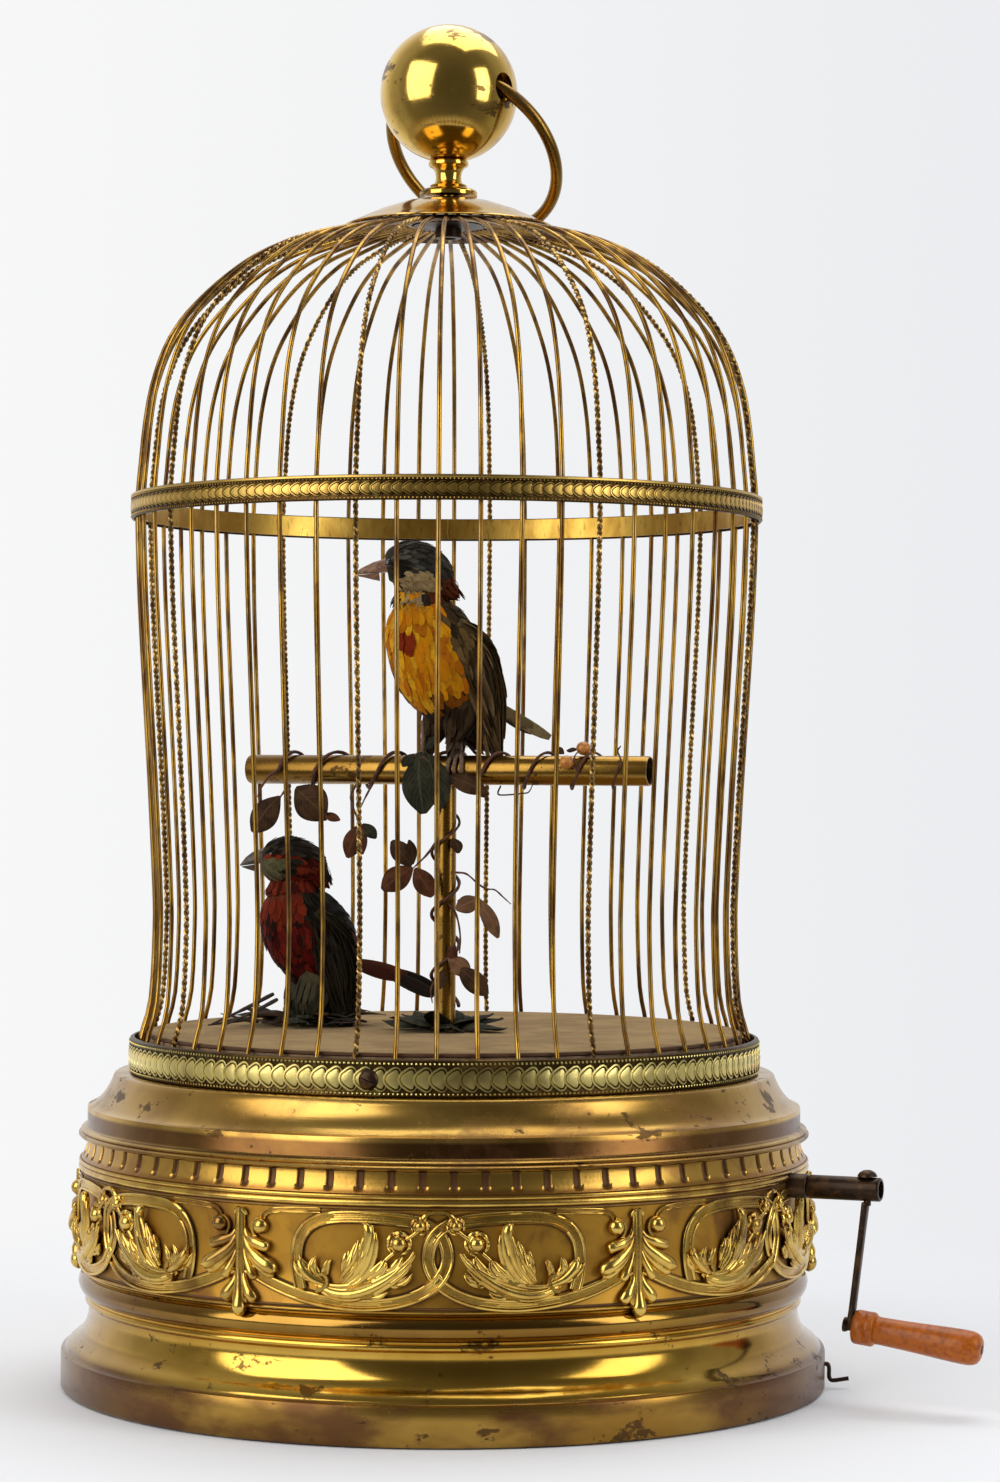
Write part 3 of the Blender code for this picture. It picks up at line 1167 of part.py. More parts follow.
def build_levers(made, bed_top):
    """Two levers over the cams on one bracket, each under its bird's push wire."""
    pivot_y = CAM_AXIS_Y - 0.0260
    pivot_z = lever_seat_z()
    ends = {"upper": in_movement((0.0, 0.0, 0.0)), "lower": in_movement(LOWER_BIRD_AT)}
    bracket_x = (UPPER_CAM_X + LOWER_CAM_X) / 2
    bracket = box("lever_bracket", (0.0080, 0.0060, pivot_z + 0.0050 - bed_top - GAP),
                  (bracket_x, pivot_y, (pivot_z + 0.0050 + bed_top + GAP) / 2), "brass")
    join(bracket, rod("bracket_rod", (LOWER_CAM_X - 0.0060, pivot_y, pivot_z),
                      (UPPER_CAM_X + 0.0060, pivot_y, pivot_z), PIVOT_R, "brass", 16))
    made.append(bracket)
    for label, cam_x in (("upper", UPPER_CAM_X), ("lower", LOWER_CAM_X)):
        end = ends[label]
        arm = box(f"{label}_lever", (LEVER_ARM_W, CAM_AXIS_Y - pivot_y + 0.0120, LEVER_ARM_T),
                  (cam_x, (CAM_AXIS_Y + pivot_y + 0.0040) / 2, pivot_z), "steel")
        start = Vector((cam_x, CAM_AXIS_Y + 0.0060, pivot_z))
        join(arm, tube(f"{label}_lever_arm", [start, Vector((end.x, end.y, pivot_z))], 0.0019,
                       "steel", 1))
        cut(arm, rod(f"{label}_lever_bore", (cam_x - 0.01, pivot_y, pivot_z),
                     (cam_x + 0.01, pivot_y, pivot_z), PIVOT_R + RUN, "steel", 16))
        made.append(arm)
        wire_low = pivot_z + 0.0019 + GAP
        ceiling = PERCH_Z - PERCH_R - GAP
        if label == "lower":
            ceiling = LOWER_BIRD_AT[2] + LOWER_BIRD["bore"][2]
        wire_high = ceiling - PUSH_TRAVEL
        made.append(rod(f"{label}_push_wire", (end.x, end.y, wire_low), (end.x, end.y, wire_high),
                        PUSH_WIRE_R, "steel", 12))


build_base()
build_cage()
build_crown()
build_perch()
build_bird("upper", UPPER_BIRD_AT, UPPER_BIRD_YAW, UPPER_HEAD_YAW, "yellow_feather", UPPER_BIRD)
build_bird("lower", LOWER_BIRD_AT, LOWER_BIRD_YAW, LOWER_HEAD_YAW, "red_feather", LOWER_BIRD)
rosette("bird_leaves", Vector(LOWER_BIRD_AT), 0.0200, 7, 0.020, 0.015, 0.5)
build_crank()
build_stop_lever()
build_movement()
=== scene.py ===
"""Singing bird automaton, dressed on its CAD frame.

Metres, +Z up, the cage axis is the world Z axis and the camera stands at -Y. An azimuth is
measured from -Y towards +X, in degrees. Sizes in the lists of points are millimetres.
"""
import math
import random

import bmesh
import bpy
from mathutils import Matrix, Vector


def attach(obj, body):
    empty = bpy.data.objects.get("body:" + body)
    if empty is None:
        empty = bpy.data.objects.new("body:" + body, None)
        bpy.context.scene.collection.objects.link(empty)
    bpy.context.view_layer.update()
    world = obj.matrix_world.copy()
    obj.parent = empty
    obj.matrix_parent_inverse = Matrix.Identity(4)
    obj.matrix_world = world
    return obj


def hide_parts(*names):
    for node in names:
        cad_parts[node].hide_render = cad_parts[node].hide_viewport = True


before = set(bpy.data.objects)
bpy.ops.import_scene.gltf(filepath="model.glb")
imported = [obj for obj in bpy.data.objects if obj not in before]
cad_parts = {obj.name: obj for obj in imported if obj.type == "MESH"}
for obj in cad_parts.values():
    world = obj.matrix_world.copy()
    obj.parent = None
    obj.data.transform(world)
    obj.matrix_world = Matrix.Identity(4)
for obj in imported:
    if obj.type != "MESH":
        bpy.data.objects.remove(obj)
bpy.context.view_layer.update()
MM = 0.001
CHANCE = random.Random(7)
SIDEWAYS = Matrix.Rotation(math.pi / 2, 4, "Y")
SHARP = 38.0

# Sizes in millimetres and azimuths in degrees, shared by several pieces

FOOT_R = 161.3
FRIEZE_R = 153.0
FRIEZE_MIDDLE_Z = 70.0
PANELS = 6
FLUTES = 78
SCALES_R = 132.8
BAND_SCALES_R = 133.2
SCREW_AZIMUTH = -12.0
STOP_AZIMUTH = 84.0
STOP_WIRE_R = 0.9
CRANK_AZIMUTH = 68.0
CRANK_Z = 89.3
ARM_X = 186.3
ARM_LENGTH = 56.0
FELT_Z = 148.0
LOWER_BIRD_AT = (-59.0, 30.0)
PERCH_Z = 258.5
PERCH_R = 6.25
PERCH_YAW = -20.0
BALL_Z = 546.1
BALL_R = 29.2
BALL_BORE_R = 28.2
BALL_HOLE_R = 6.2
RING_AZIMUTH = 55.2
RING_R = 39.5
RING_WIRE_R = 2.6
RING_HOLE_REACH = 27.0


# Shader maths

class Value:
    """A socket that takes part in sums."""

    def __init__(self, nodes, socket):
        self.nodes = nodes
        self.socket = socket

    def __add__(self, other):
        return self.nodes.maths("ADD", self, other)

    __radd__ = __add__

    def __sub__(self, other):
        return self.nodes.maths("SUBTRACT", self, other)

    def __rsub__(self, other):
        return self.nodes.maths("SUBTRACT", other, self)

    def __mul__(self, other):
        return self.nodes.maths("MULTIPLY", self, other)

    __rmul__ = __mul__


class Nodes:
    """The nodes of one material or of the surround."""

    def __init__(self, tree):
        self.tree = tree

    def add(self, kind, settings=None, sockets=None, out=0):
        """A node from its type, its settings and the values or links of its sockets."""
        node = self.tree.nodes.new(kind)
        for key, value in (settings or {}).items():
            if key == "stops":
                node.color_ramp.interpolation = "EASE"
                while len(node.color_ramp.elements) < len(value):
                    node.color_ramp.elements.new(0.5)
                for element, (position, colour) in zip(node.color_ramp.elements, value):
                    element.position = position
                    element.color = (*colour, 1.0)
            else:
                setattr(node, key, value)
        for key, value in (sockets or {}).items():
            self.feed(node.inputs[key], value)
        return Value(self, node.outputs[out])

    def feed(self, socket, value):
        """Link a value to a socket, or set a plain one on it."""
        if isinstance(value, Value):
            self.tree.links.new(value.socket, socket)
        elif isinstance(value, tuple) and len(value) == 3 and socket.type == "RGBA":
            socket.default_value = (*value, 1.0)
        else:
            socket.default_value = value

    def maths(self, operation, *values):
        """One sum on values."""
        return self.add("ShaderNodeMath", {"operation": operation}, dict(enumerate(values)))

    def axis(self, name, place):
        """One coordinate of a place."""
        return self.add("ShaderNodeSeparateXYZ", None, {0: place}, out=name)

    def mix(self, share, first, second, blend="MIX"):
        """A colour between two, or their product."""
        return self.add("ShaderNodeMix", {"data_type": "RGBA", "blend_type": blend},
                        {0: share, 6: first, 7: second}, out=2)


class Paint(Nodes):
    """One material and the nodes that colour it."""

    def __init__(self, name):
        self.material = bpy.data.materials.new(name)
        self.material.use_nodes = True
        super().__init__(self.material.node_tree)
        self.shader = self.tree.nodes["Principled BSDF"]
        self.place = self.add("ShaderNodeTexCoord", out="Object")

    def stretched(self, stretch, place=None):
        """Object coordinates scaled along each axis."""
        return self.add("ShaderNodeVectorMath", {"operation": "MULTIPLY"},
                        {0: place or self.place, 1: stretch})

    def noise(self, scale, detail, stretch=(1, 1, 1), roughness=0.55, warp=0.0, place=None):
        """Cloudy noise from 0 to 1."""
        return self.add("ShaderNodeTexNoise", None, {
            "Vector": self.stretched(stretch, place), "Scale": scale, "Detail": detail,
            "Roughness": roughness, "Distortion": warp})

    def spots(self, scale):
        """Distance to scattered points."""
        return self.add("ShaderNodeTexVoronoi", None, {"Vector": self.place, "Scale": scale})

    def ramp(self, value, low, high):
        """0 below low, 1 above high, smooth between."""
        return self.add("ShaderNodeMapRange", {"interpolation_type": "SMOOTHSTEP"},
                        {"Value": value, "From Min": low, "From Max": high})

    def along(self, name):
        """One object coordinate."""
        return self.axis(name, self.place)

    def radius(self):
        """Distance from the cage axis."""
        return self.add("ShaderNodeVectorMath", {"operation": "LENGTH"},
                        {0: self.stretched((1, 1, 0))}, out="Value")

    def around_axis(self):
        """Coordinates wound round the cage axis: azimuth as an arc length, height, radius."""
        angle = self.maths("ARCTAN2", self.along("X"), self.along("Y") * -1.0)
        case_radius = 0.15
        return self.add("ShaderNodeCombineXYZ", None,
                        {0: angle * case_radius, 1: self.along("Z"), 2: self.radius()})

    def blade_map(self):
        """Distance from the rib and length along it, on the own map of a leaf or feather."""
        chart = self.add("ShaderNodeUVMap", {"uv_map": "blade"})
        return self.maths("ABSOLUTE", self.axis("X", chart) - 0.5), self.axis("Y", chart)

    def bump(self, height, strength, distance):
        """Raise the surface's shading by a height."""
        normal = self.add("ShaderNodeBump", None, {
            "Height": height, "Strength": strength, "Distance": distance})
        self.feed(self.shader.inputs["Normal"], normal)

    def set(self, **sockets):
        """Values or links of the shader's own sockets."""
        for key, value in sockets.items():
            self.feed(self.shader.inputs[key.replace("_", " ")], value)
        return self.material


def brass(name, bright, dull, stain_and_shade, gloss, stain_share=0.5, band=0.0, wobble=0.6, shade_zones=(),
          flecks=0.45):
    """Polished brass that has aged: dull clouds, brown blotches, pits, fine turning lines.

    Each shade zone is a band of painted shade round one moulding, stronger towards the left and
    right sides: height, half width, share, share at the sides.
    """
    paint = Paint(name)
    wound = paint.around_axis()
    clouds = paint.noise(17.0, 4.0, warp=0.2)
    blotches = paint.noise(34.0, 6.0, roughness=0.66, warp=0.25)
    broad = paint.noise(1.0, 4.0, stretch=(16, 36, 10), place=wound)
    lines = paint.noise(1.0, 2.0, stretch=(30, 1800, 30), place=wound)
    grain = paint.noise(420.0, 3.0)
    mask = paint.ramp(blotches + (broad - 0.5) * 0.6, 0.64 - 0.14 * stain_share, 0.84)
    if band:
        low = 1.0 - paint.ramp(paint.along("Z"), band - 0.0012, band)
        mask = mask + low * (0.35 + paint.ramp(broad, 0.36, 0.60) * 0.65)
    colour = paint.mix(paint.ramp(clouds, 0.38, 0.66), bright, dull)
    colour = paint.mix(paint.ramp(mask, 0.0, 1.0) * 0.92, colour, stain_and_shade)
    # Painted shade: dark bands round chosen mouldings, stronger towards the left and right sides
    # of the case.
    painted_shade = 0.0
    sides = paint.ramp(paint.along("X") * paint.along("X"), 0.0070, 0.0185)
    for height, half, share, side_shade_share in shade_zones:
        away = paint.maths("ABSOLUTE", paint.along("Z") - height * MM)
        painted_shade = painted_shade + (1.0 - paint.ramp(away, 0.75 * half * MM, 1.25 * half * MM)) * (
            sides * side_shade_share + share)
    if shade_zones:
        colour = paint.mix(painted_shade * (broad * 0.9 + 0.55), colour, (0.125, 0.052, 0.018))
    pits = (1.0 - paint.ramp(paint.spots(210.0), 0.06, 0.20)) * paint.ramp(blotches, 0.50, 0.62)
    marks = (1.0 - paint.ramp(paint.spots(62.0), 0.02, 0.085)) * paint.ramp(grain, 0.42, 0.56)
    colour = paint.mix((pits + marks) * 0.55, colour, (0.026, 0.014, 0.006))
    spread = paint.noise(44.0, 9.0, stretch=(1.0, 1.0, 1.9), roughness=0.68, warp=0.25)
    tarnish = paint.ramp(spread, 0.648 - 0.09 * flecks, 0.675 - 0.09 * flecks) * 0.8
    colour = paint.mix(tarnish, colour, (0.060, 0.027, 0.012))
    rough = (gloss + mask * 0.20 + (clouds - 0.5) * 0.10 + (lines - 0.5) * 0.07 + pits * 0.2
             + tarnish * 0.25)
    paint.bump(lines * 0.30 + grain * 0.25 + clouds * wobble, 0.09, 0.0004)
    return paint.set(Base_Color=colour, Roughness=rough, Metallic=1.0 - mask * 0.25)


def cast_brass():
    """Chased casting: bright on the high points, from wear and a painted highlight, and dark
    red-brown low beside the relief, from grime and painted shade.
    """
    paint = Paint("cast_brass")
    clouds = paint.noise(60.0, 5.0, warp=0.5)
    grains = paint.noise(900.0, 3.0)
    height = paint.radius() - FRIEZE_R * MM
    # Lighter with height: wear and a painted highlight on the high points.
    worn_and_highlight = paint.ramp(height + (clouds - 0.5) * 0.0010, 0.0003, 0.0015)
    ground = paint.ramp(height + (clouds - 0.5) * 0.0005, 0.00014, 0.00085)
    flat = 1.0 - paint.ramp(height, 0.00002, 0.00016)
    # Darker low beside the relief: grime and painted shade, less on the open ground.
    dirt_and_shade = (1.0 - ground) * (1.0 - flat * 0.82)
    colour = paint.mix(worn_and_highlight, (0.50, 0.265, 0.034), (0.74, 0.50, 0.115))
    colour = paint.mix(paint.ramp(clouds, 0.46, 0.66) * 0.55, colour, (0.32, 0.15, 0.028))
    colour = paint.mix(dirt_and_shade * 0.92, colour, (0.055, 0.021, 0.008))
    colour = paint.mix(paint.ramp(paint.noise(26.0, 6.0, warp=0.6), 0.52, 0.68) * 0.75, colour,
                       (0.15, 0.060, 0.020))
    rough = 0.25 + dirt_and_shade * 0.30 + flat * 0.15 + (clouds - 0.5) * 0.16
    paint.bump(grains * 0.4 + clouds * 0.6, 0.16, 0.0005)
    return paint.set(Base_Color=colour, Roughness=rough, Metallic=1.0 - dirt_and_shade * 0.4)


def stamped_brass(name, ground_r, bright, stain_and_shade, low=0.16, high=0.78):
    """Greenish stamped strip: bright on the motifs, dark between them, with patina and painted
    shade on the low parts.
    """
    paint = Paint(name)
    clouds = paint.noise(90.0, 4.0)
    height = paint.radius() - ground_r * MM
    raised = paint.ramp(height, low * MM, high * MM)
    low_light = paint.noise(24.0, 4.0, warp=0.8)
    # Low parts darker: patina and painted shade between and under the overlapping motifs.
    colour = paint.mix(raised, stain_and_shade, bright)
    colour = paint.mix(paint.ramp(low_light, 0.50, 0.68) * 0.55, colour, (0.22, 0.13, 0.035))
    colour = paint.mix(paint.ramp(clouds, 0.55, 0.75) * 0.35, colour, (0.27, 0.24, 0.07))
    paint.bump(paint.noise(1500.0, 2.0), 0.12, 0.0003)
    return paint.set(Base_Color=colour, Roughness=0.42 - raised * 0.10 + (clouds - 0.5) * 0.15,
                     Metallic=1.0)


def wire_brass(name, bright, dull):
    """Drawn wire that has gone golden brown in patches."""
    paint = Paint(name)
    patches = paint.noise(70.0, 5.0, stretch=(1, 1, 0.45), warp=0.4)
    fine = paint.noise(900.0, 2.0, stretch=(1, 1, 0.2))
    colour = paint.mix(paint.ramp(patches, 0.36, 0.64), bright, dull)
    colour = paint.mix(paint.ramp(fine, 0.58, 0.72) * 0.5, colour, (0.07, 0.035, 0.012))
    paint.bump(fine, 0.15, 0.0002)
    return paint.set(Base_Color=colour, Roughness=0.30 + (patches - 0.4) * 0.30, Metallic=1.0)


def bronzed_steel():
    """Dark bronzed iron, rubbed brown in cloudy patches."""
    paint = Paint("bronzed_steel")
    clouds = paint.noise(150.0, 5.0, warp=0.4)
    fine = paint.noise(1400.0, 3.0)
    colour = paint.mix(paint.ramp(clouds, 0.40, 0.68), (0.030, 0.018, 0.011),
                       (0.086, 0.046, 0.021))
    colour = paint.mix(paint.ramp(fine, 0.60, 0.78) * 0.5, colour, (0.016, 0.011, 0.008))
    paint.bump(fine * 0.5 + clouds, 0.22, 0.0004)
    return paint.set(Base_Color=colour, Roughness=0.38 + (clouds - 0.5) * 0.30, Metallic=0.85)


def varnished_wood(along):
    """Turned wood with long grain along a direction and a coat of varnish."""
    paint = Paint("grip_varnish")
    turn = Vector(along).normalized().to_track_quat("Z", "Y").inverted().to_euler()
    grain_place = paint.add("ShaderNodeMapping", {"vector_type": "TEXTURE"}, {
        "Vector": paint.place, "Rotation": tuple(-a for a in turn)})
    grain = paint.noise(1.0, 6.0, stretch=(520, 520, 16), warp=0.3, place=grain_place)
    broad = paint.noise(1.0, 3.0, stretch=(130, 130, 14), warp=0.5, place=grain_place)
    colour = paint.mix(paint.ramp(grain, 0.40, 0.66), (0.45, 0.118, 0.012), (0.32, 0.072, 0.007))
    colour = paint.mix(paint.ramp(broad, 0.54, 0.74) * 0.35, colour, (0.17, 0.045, 0.009))
    paint.bump(grain, 0.07, 0.0003)
    return paint.set(Base_Color=colour, Roughness=0.28 + (grain - 0.5) * 0.16, Coat_Weight=0.08,
                     Coat_Roughness=0.16, Specular_IOR_Level=0.22)


def felt():
    """Old felt: soft mottling, lint and a darker red-brown edge."""
    paint = Paint("floor_felt_cloth")
    fuzz = paint.noise(1100.0, 4.0, roughness=0.7)
    mottle = paint.noise(44.0, 6.0, warp=0.6)
    spots = paint.spots(70.0)
    edge = paint.ramp(paint.radius() + (mottle - 0.5) * 0.0016, 0.1247, 0.1257)
    colour = paint.mix(paint.ramp(mottle, 0.36, 0.66), (0.36, 0.232, 0.086), (0.235, 0.138, 0.048))
    colour = paint.mix(paint.ramp(fuzz, 0.40, 0.70) * 0.4, colour, (0.44, 0.300, 0.125))
    colour = paint.mix((1.0 - paint.ramp(spots, 0.05, 0.16)) * 0.35, colour, (0.15, 0.095, 0.05))
    colour = paint.mix(edge * 0.92, colour, (0.085, 0.036, 0.018))
    paint.bump(fuzz + mottle * 0.5, 0.55, 0.0009)
    return paint.set(Base_Color=colour, Roughness=0.96, Sheen_Weight=0.08, Sheen_Roughness=0.6,
                     Specular_IOR_Level=0.15)


def leafage(name, young, old, vein):
    """Dyed cloth or dried leaves, veined from their own map."""
    paint = Paint(name)
    away, length = paint.blade_map()
    rib = 1.0 - paint.ramp(away, 0.012, 0.050)
    side_veins = paint.maths("SINE", (length - away * 0.9) * 52.0)
    veins = paint.ramp(side_veins, 0.72, 0.98) * 0.6 + rib
    mottle = paint.noise(170.0, 5.0, warp=0.5)
    colour = paint.mix(paint.ramp(mottle, 0.36, 0.64), young, old)
    colour = paint.mix(veins * 0.55, colour, vein)
    edge = paint.ramp(away, 0.36, 0.50) * paint.ramp(mottle, 0.40, 0.60)
    colour = paint.mix(edge * 0.6, colour, tuple(c * 0.45 for c in old))
    paint.bump(mottle * 0.6 + veins * 0.8, 0.45, 0.0006)
    return paint.set(Base_Color=colour, Roughness=0.78, Specular_IOR_Level=0.12)


def plumage():
    """Feathers coloured one by one, with barbs and a shaft from their own map."""
    paint = Paint("plumage")
    shade = paint.add("ShaderNodeVertexColor", {"layer_name": "plumage"})
    away, length = paint.blade_map()
    barbs = paint.maths("SINE", (length - away * 1.4) * 78.0)
    shaft = 1.0 - paint.ramp(away, 0.015, 0.05)
    mottle = paint.noise(500.0, 4.0, warp=0.4)
    pale = paint.mix(0.3, shade, (0.50, 0.38, 0.18))
    colour = paint.mix(paint.ramp(away, 0.38, 0.50) * 0.20, shade, pale)
    colour = paint.mix(paint.ramp(mottle, 0.45, 0.75) * 0.35, colour, (0.02, 0.012, 0.006))
    colour = paint.mix(shaft * 0.18, colour, (0.05, 0.03, 0.012))
    paint.bump(barbs * 0.25 + mottle * 0.5 + shaft * 0.5, 0.5, 0.0004)
    return paint.set(Base_Color=colour, Roughness=0.62 + (mottle - 0.5) * 0.2,
                     Specular_IOR_Level=0.06)


def plain(name, light, dark, scale, rough, metal=0.0, depth=0.25, stretch=(1, 1, 1), coat=0.0):
    """A mottled finish for small or hidden pieces."""
    paint = Paint(name)
    clouds = paint.noise(scale, 5.0, stretch=stretch, warp=0.3)
    fine = paint.noise(scale * 9.0, 3.0)
    colour = paint.mix(paint.ramp(clouds, 0.36, 0.66), light, dark)
    paint.bump(clouds + fine * 0.5, depth, 0.0004)
    return paint.set(Base_Color=colour, Roughness=rough + (fine - 0.5) * 0.2, Metallic=metal,
                     Coat_Weight=coat)


# The case and shoulder brass carry bands of painted shade round chosen mouldings.
CASE_BRASS = brass("case_brass", (0.66, 0.41, 0.075), (0.47, 0.265, 0.038), (0.095, 0.032, 0.011),
                   0.14, band=0.0175,
                   shade_zones=((8.0, 9.5, 0.30, 0.66), (20.5, 3.6, 0.0, 0.50), (30.5, 6.5, 0.05, 0.30),
                          (44.0, 4.6, 0.62, 0.25)))
SHOULDER_BRASS = brass("shoulder_brass", (0.58, 0.36, 0.085), (0.38, 0.21, 0.045),
                       (0.19, 0.092, 0.034), 0.23, stain_share=1.1,
                       shade_zones=((112.2, 3.2, 0.90, 0.0), (106.2, 1.7, 0.25, 0.2),
                              (125.0, 7.0, 0.08, 0.25)))
BALL_BRASS = brass("ball_brass", (0.76, 0.50, 0.115), (0.58, 0.35, 0.055), (0.13, 0.056, 0.020),
                   0.13, stain_share=0.9, wobble=11.0, flecks=0.80)
PERCH_BRASS = brass("perch_brass", (0.36, 0.205, 0.040), (0.23, 0.120, 0.022),
                    (0.085, 0.040, 0.014), 0.26, stain_share=0.7)
MOVEMENT_BRASS = brass("movement_brass", (0.60, 0.42, 0.13), (0.46, 0.30, 0.08),
                       (0.22, 0.12, 0.04), 0.30)
CAST_BRASS = cast_brass()
# The dark colours of the stamped strips paint patina and shade on their low parts.
GALLERY_BRASS = stamped_brass("gallery_brass", SCALES_R, (0.84, 0.70, 0.25), (0.060, 0.034, 0.010))
BAND_BRASS = stamped_brass("band_brass", 133.4, (0.68, 0.44, 0.105), (0.075, 0.038, 0.012),
                           0.06, 0.46)
PLAIN_WIRE = wire_brass("plain_wire", (0.50, 0.285, 0.050), (0.135, 0.062, 0.016))
TWIST_WIRE = wire_brass("twist_wire", (0.50, 0.320, 0.095), (0.18, 0.100, 0.032))
BAND_INNER = wire_brass("band_inner", (0.66, 0.42, 0.085), (0.42, 0.235, 0.040))
BRONZED = bronzed_steel()
FELT = felt()
# Duller pinkish tone for the dome's underside, darkened as painted shade.
CROWN_UNDER = plain("crown_under", (0.36, 0.27, 0.22), (0.22, 0.15, 0.11), 90.0, 0.6, metal=0.6)
VINE_BARK = plain("vine_bark", (0.13, 0.038, 0.015), (0.055, 0.017, 0.008), 600.0, 0.66,
                  depth=0.6)
TWIG = plain("dark_twig", (0.060, 0.040, 0.026), (0.026, 0.018, 0.013), 500.0, 0.75, depth=0.6)
BERRY_SKIN = plain("berry_skin", (0.62, 0.25, 0.035), (0.42, 0.14, 0.02), 420.0, 0.34, depth=0.2,
                   coat=0.3)
DRY_LEAF = leafage("dry_leaf", (0.105, 0.036, 0.014), (0.050, 0.017, 0.008), (0.17, 0.070, 0.030))
BROWN_LEAF = leafage("brown_leaf", (0.064, 0.031, 0.013), (0.028, 0.013, 0.006),
                     (0.12, 0.062, 0.028))
DARK_LEAF = leafage("dark_leaf", (0.036, 0.035, 0.019), (0.013, 0.013, 0.008),
                    (0.072, 0.074, 0.044))
TAN_LEAF = leafage("tan_leaf", (0.205, 0.105, 0.050), (0.115, 0.054, 0.026), (0.28, 0.165, 0.09))
PLUMAGE = plumage()
HORN = plain("beak_horn", (0.31, 0.155, 0.078), (0.15, 0.066, 0.034), 700.0, 0.38, depth=0.15)
GREY_HORN = plain("grey_horn", (0.110, 0.085, 0.062), (0.026, 0.020, 0.016), 700.0, 0.36,
                  depth=0.15)
CLAW = plain("claw_skin", (0.22, 0.135, 0.080), (0.09, 0.050, 0.029), 1500.0, 0.6, depth=0.5)
EYE = plain("eye_glass", (0.006, 0.005, 0.004), (0.012, 0.009, 0.007), 100.0, 0.09, depth=0.02,
            coat=1.0)
STEEL = plain("movement_steel", (0.44, 0.43, 0.42), (0.30, 0.29, 0.28), 120.0, 0.36, metal=1.0,
              depth=0.1)
BOARD = plain("base_board", (0.33, 0.20, 0.105), (0.22, 0.125, 0.06), 60.0, 0.72,
              stretch=(9, 1, 1))
LEATHER = plain("bellows_skin", (0.46, 0.37, 0.25), (0.33, 0.25, 0.16), 220.0, 0.7, depth=0.5)


# Making pieces

def around(radius, azimuth, z):
    """A point from millimetres and an azimuth."""
    angle = math.radians(azimuth)
    return Vector((radius * math.sin(angle), -radius * math.cos(angle), z)) * MM


def facing(azimuth):
    """Turn about Z that takes local +X to an azimuth."""
    return Matrix.Rotation(math.radians(azimuth - 90.0), 4, "Z")


def shifted(x, y, z):
    """A shift in millimetres."""
    return Matrix.Translation(Vector((x, y, z)) * MM)


def smooth(points, per_span):
    """Points on a smooth curve through the given ones."""
    points = [Vector(p) for p in points]
    padded = [points[0] * 2 - points[1], *points, points[-1] * 2 - points[-2]]
    path = []
    for span in range(len(points) - 1):
        before, start, end, after = padded[span:span + 4]
        for step in range(per_span):
            t = step / per_span
            path.append(0.5 * (2 * start + (end - before) * t
                               + (2 * before - 5 * start + 4 * end - after) * t * t
                               + (3 * start - before - 3 * end + after) * t ** 3))
    path.append(points[-1])
    return path


def piece(shape, name, material, body="case", *, replaces=None, sharp=SHARP):
    """Make a bmesh an object that rides on a body."""
    bmesh.ops.recalc_face_normals(shape, faces=shape.faces[:])
    mesh = bpy.data.meshes.new(name)
    shape.to_mesh(mesh)
    shape.free()
    mesh.shade_smooth()
    mesh.set_sharp_from_angle(angle=math.radians(sharp))
    for each in material if isinstance(material, list) else [material]:
        mesh.materials.append(each)
    made = bpy.data.objects.new(name, mesh)
    bpy.context.scene.collection.objects.link(made)
    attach(made, body)
    if replaces:
        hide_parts(replaces)
    return made


def turned(profile, steps, closed=True):
    """Turn a profile of (radius, z) millimetres about Z."""
    shape = bmesh.new()
    rim = [shape.verts.new((r * MM, 0.0, z * MM)) for r, z in profile]
    for first, second in zip(rim, rim[1:]):
        shape.edges.new((first, second))
    if closed:
        shape.edges.new((rim[-1], rim[0]))
    bmesh.ops.spin(shape, geom=shape.verts[:] + shape.edges[:], cent=(0, 0, 0), axis=(0, 0, 1),
                   angle=2 * math.pi, steps=steps, use_merge=True)
    bmesh.ops.remove_doubles(shape, verts=shape.verts[:], dist=0.000002)
    return shape


def strands(paths, sides):
    """Tubes along paths, each a list of points and a list of radii, as one bmesh."""
    curve = bpy.data.curves.new("strand", "CURVE")
    curve.dimensions = "3D"
    curve.bevel_depth = 1.0
    curve.bevel_resolution = sides
    curve.use_fill_caps = True
    for points, radii in paths:
        spline = curve.splines.new("POLY")
        spline.points.add(len(points) - 1)
        for index, place in enumerate(points):
            spline.points[index].co = (*place, 1.0)
            spline.points[index].radius = radii if isinstance(radii, float) else radii[index]
    holder = bpy.data.objects.new("strand", curve)
    bpy.context.scene.collection.objects.link(holder)
    mesh = bpy.data.meshes.new_from_object(
        holder.evaluated_get(bpy.context.evaluated_depsgraph_get()))
    bpy.data.objects.remove(holder, do_unlink=True)
    bpy.data.curves.remove(curve)
    shape = bmesh.new()
    shape.from_mesh(mesh)
    bpy.data.meshes.remove(mesh)
    bmesh.ops.remove_doubles(shape, verts=shape.verts[:], dist=0.0000005)
    return shape


def placed(shape, matrix):
    """Turn and shift a bmesh."""
    bmesh.ops.transform(shape, matrix=matrix, verts=shape.verts[:])
    return shape


def merge(target, source):
    """Add one bmesh to another."""
    mesh = bpy.data.meshes.new("merging")
    source.to_mesh(mesh)
    source.free()
    target.from_mesh(mesh)
    bpy.data.meshes.remove(mesh)
    return target


def wrap(shape, radius, azimuth=0.0):
    """Roll a flat relief of arc length, height and rise on to a drum."""
    for vertex in shape.verts:
        u, z, rise = vertex.co
        vertex.co = around((radius * MM + rise) / MM, azimuth + math.degrees(u / (radius * MM)),
                           z / MM)
    return shape


def duplicated(shape, count):
    """Copies of a bmesh at even steps round the cage axis."""
    step = 2 * math.pi / count
    bmesh.ops.spin(shape, geom=shape.verts[:] + shape.edges[:] + shape.faces[:], cent=(0, 0, 0),
                   axis=(0, 0, 1), angle=step * (count - 1), steps=count - 1,
                   use_duplicate=True)
    return shape


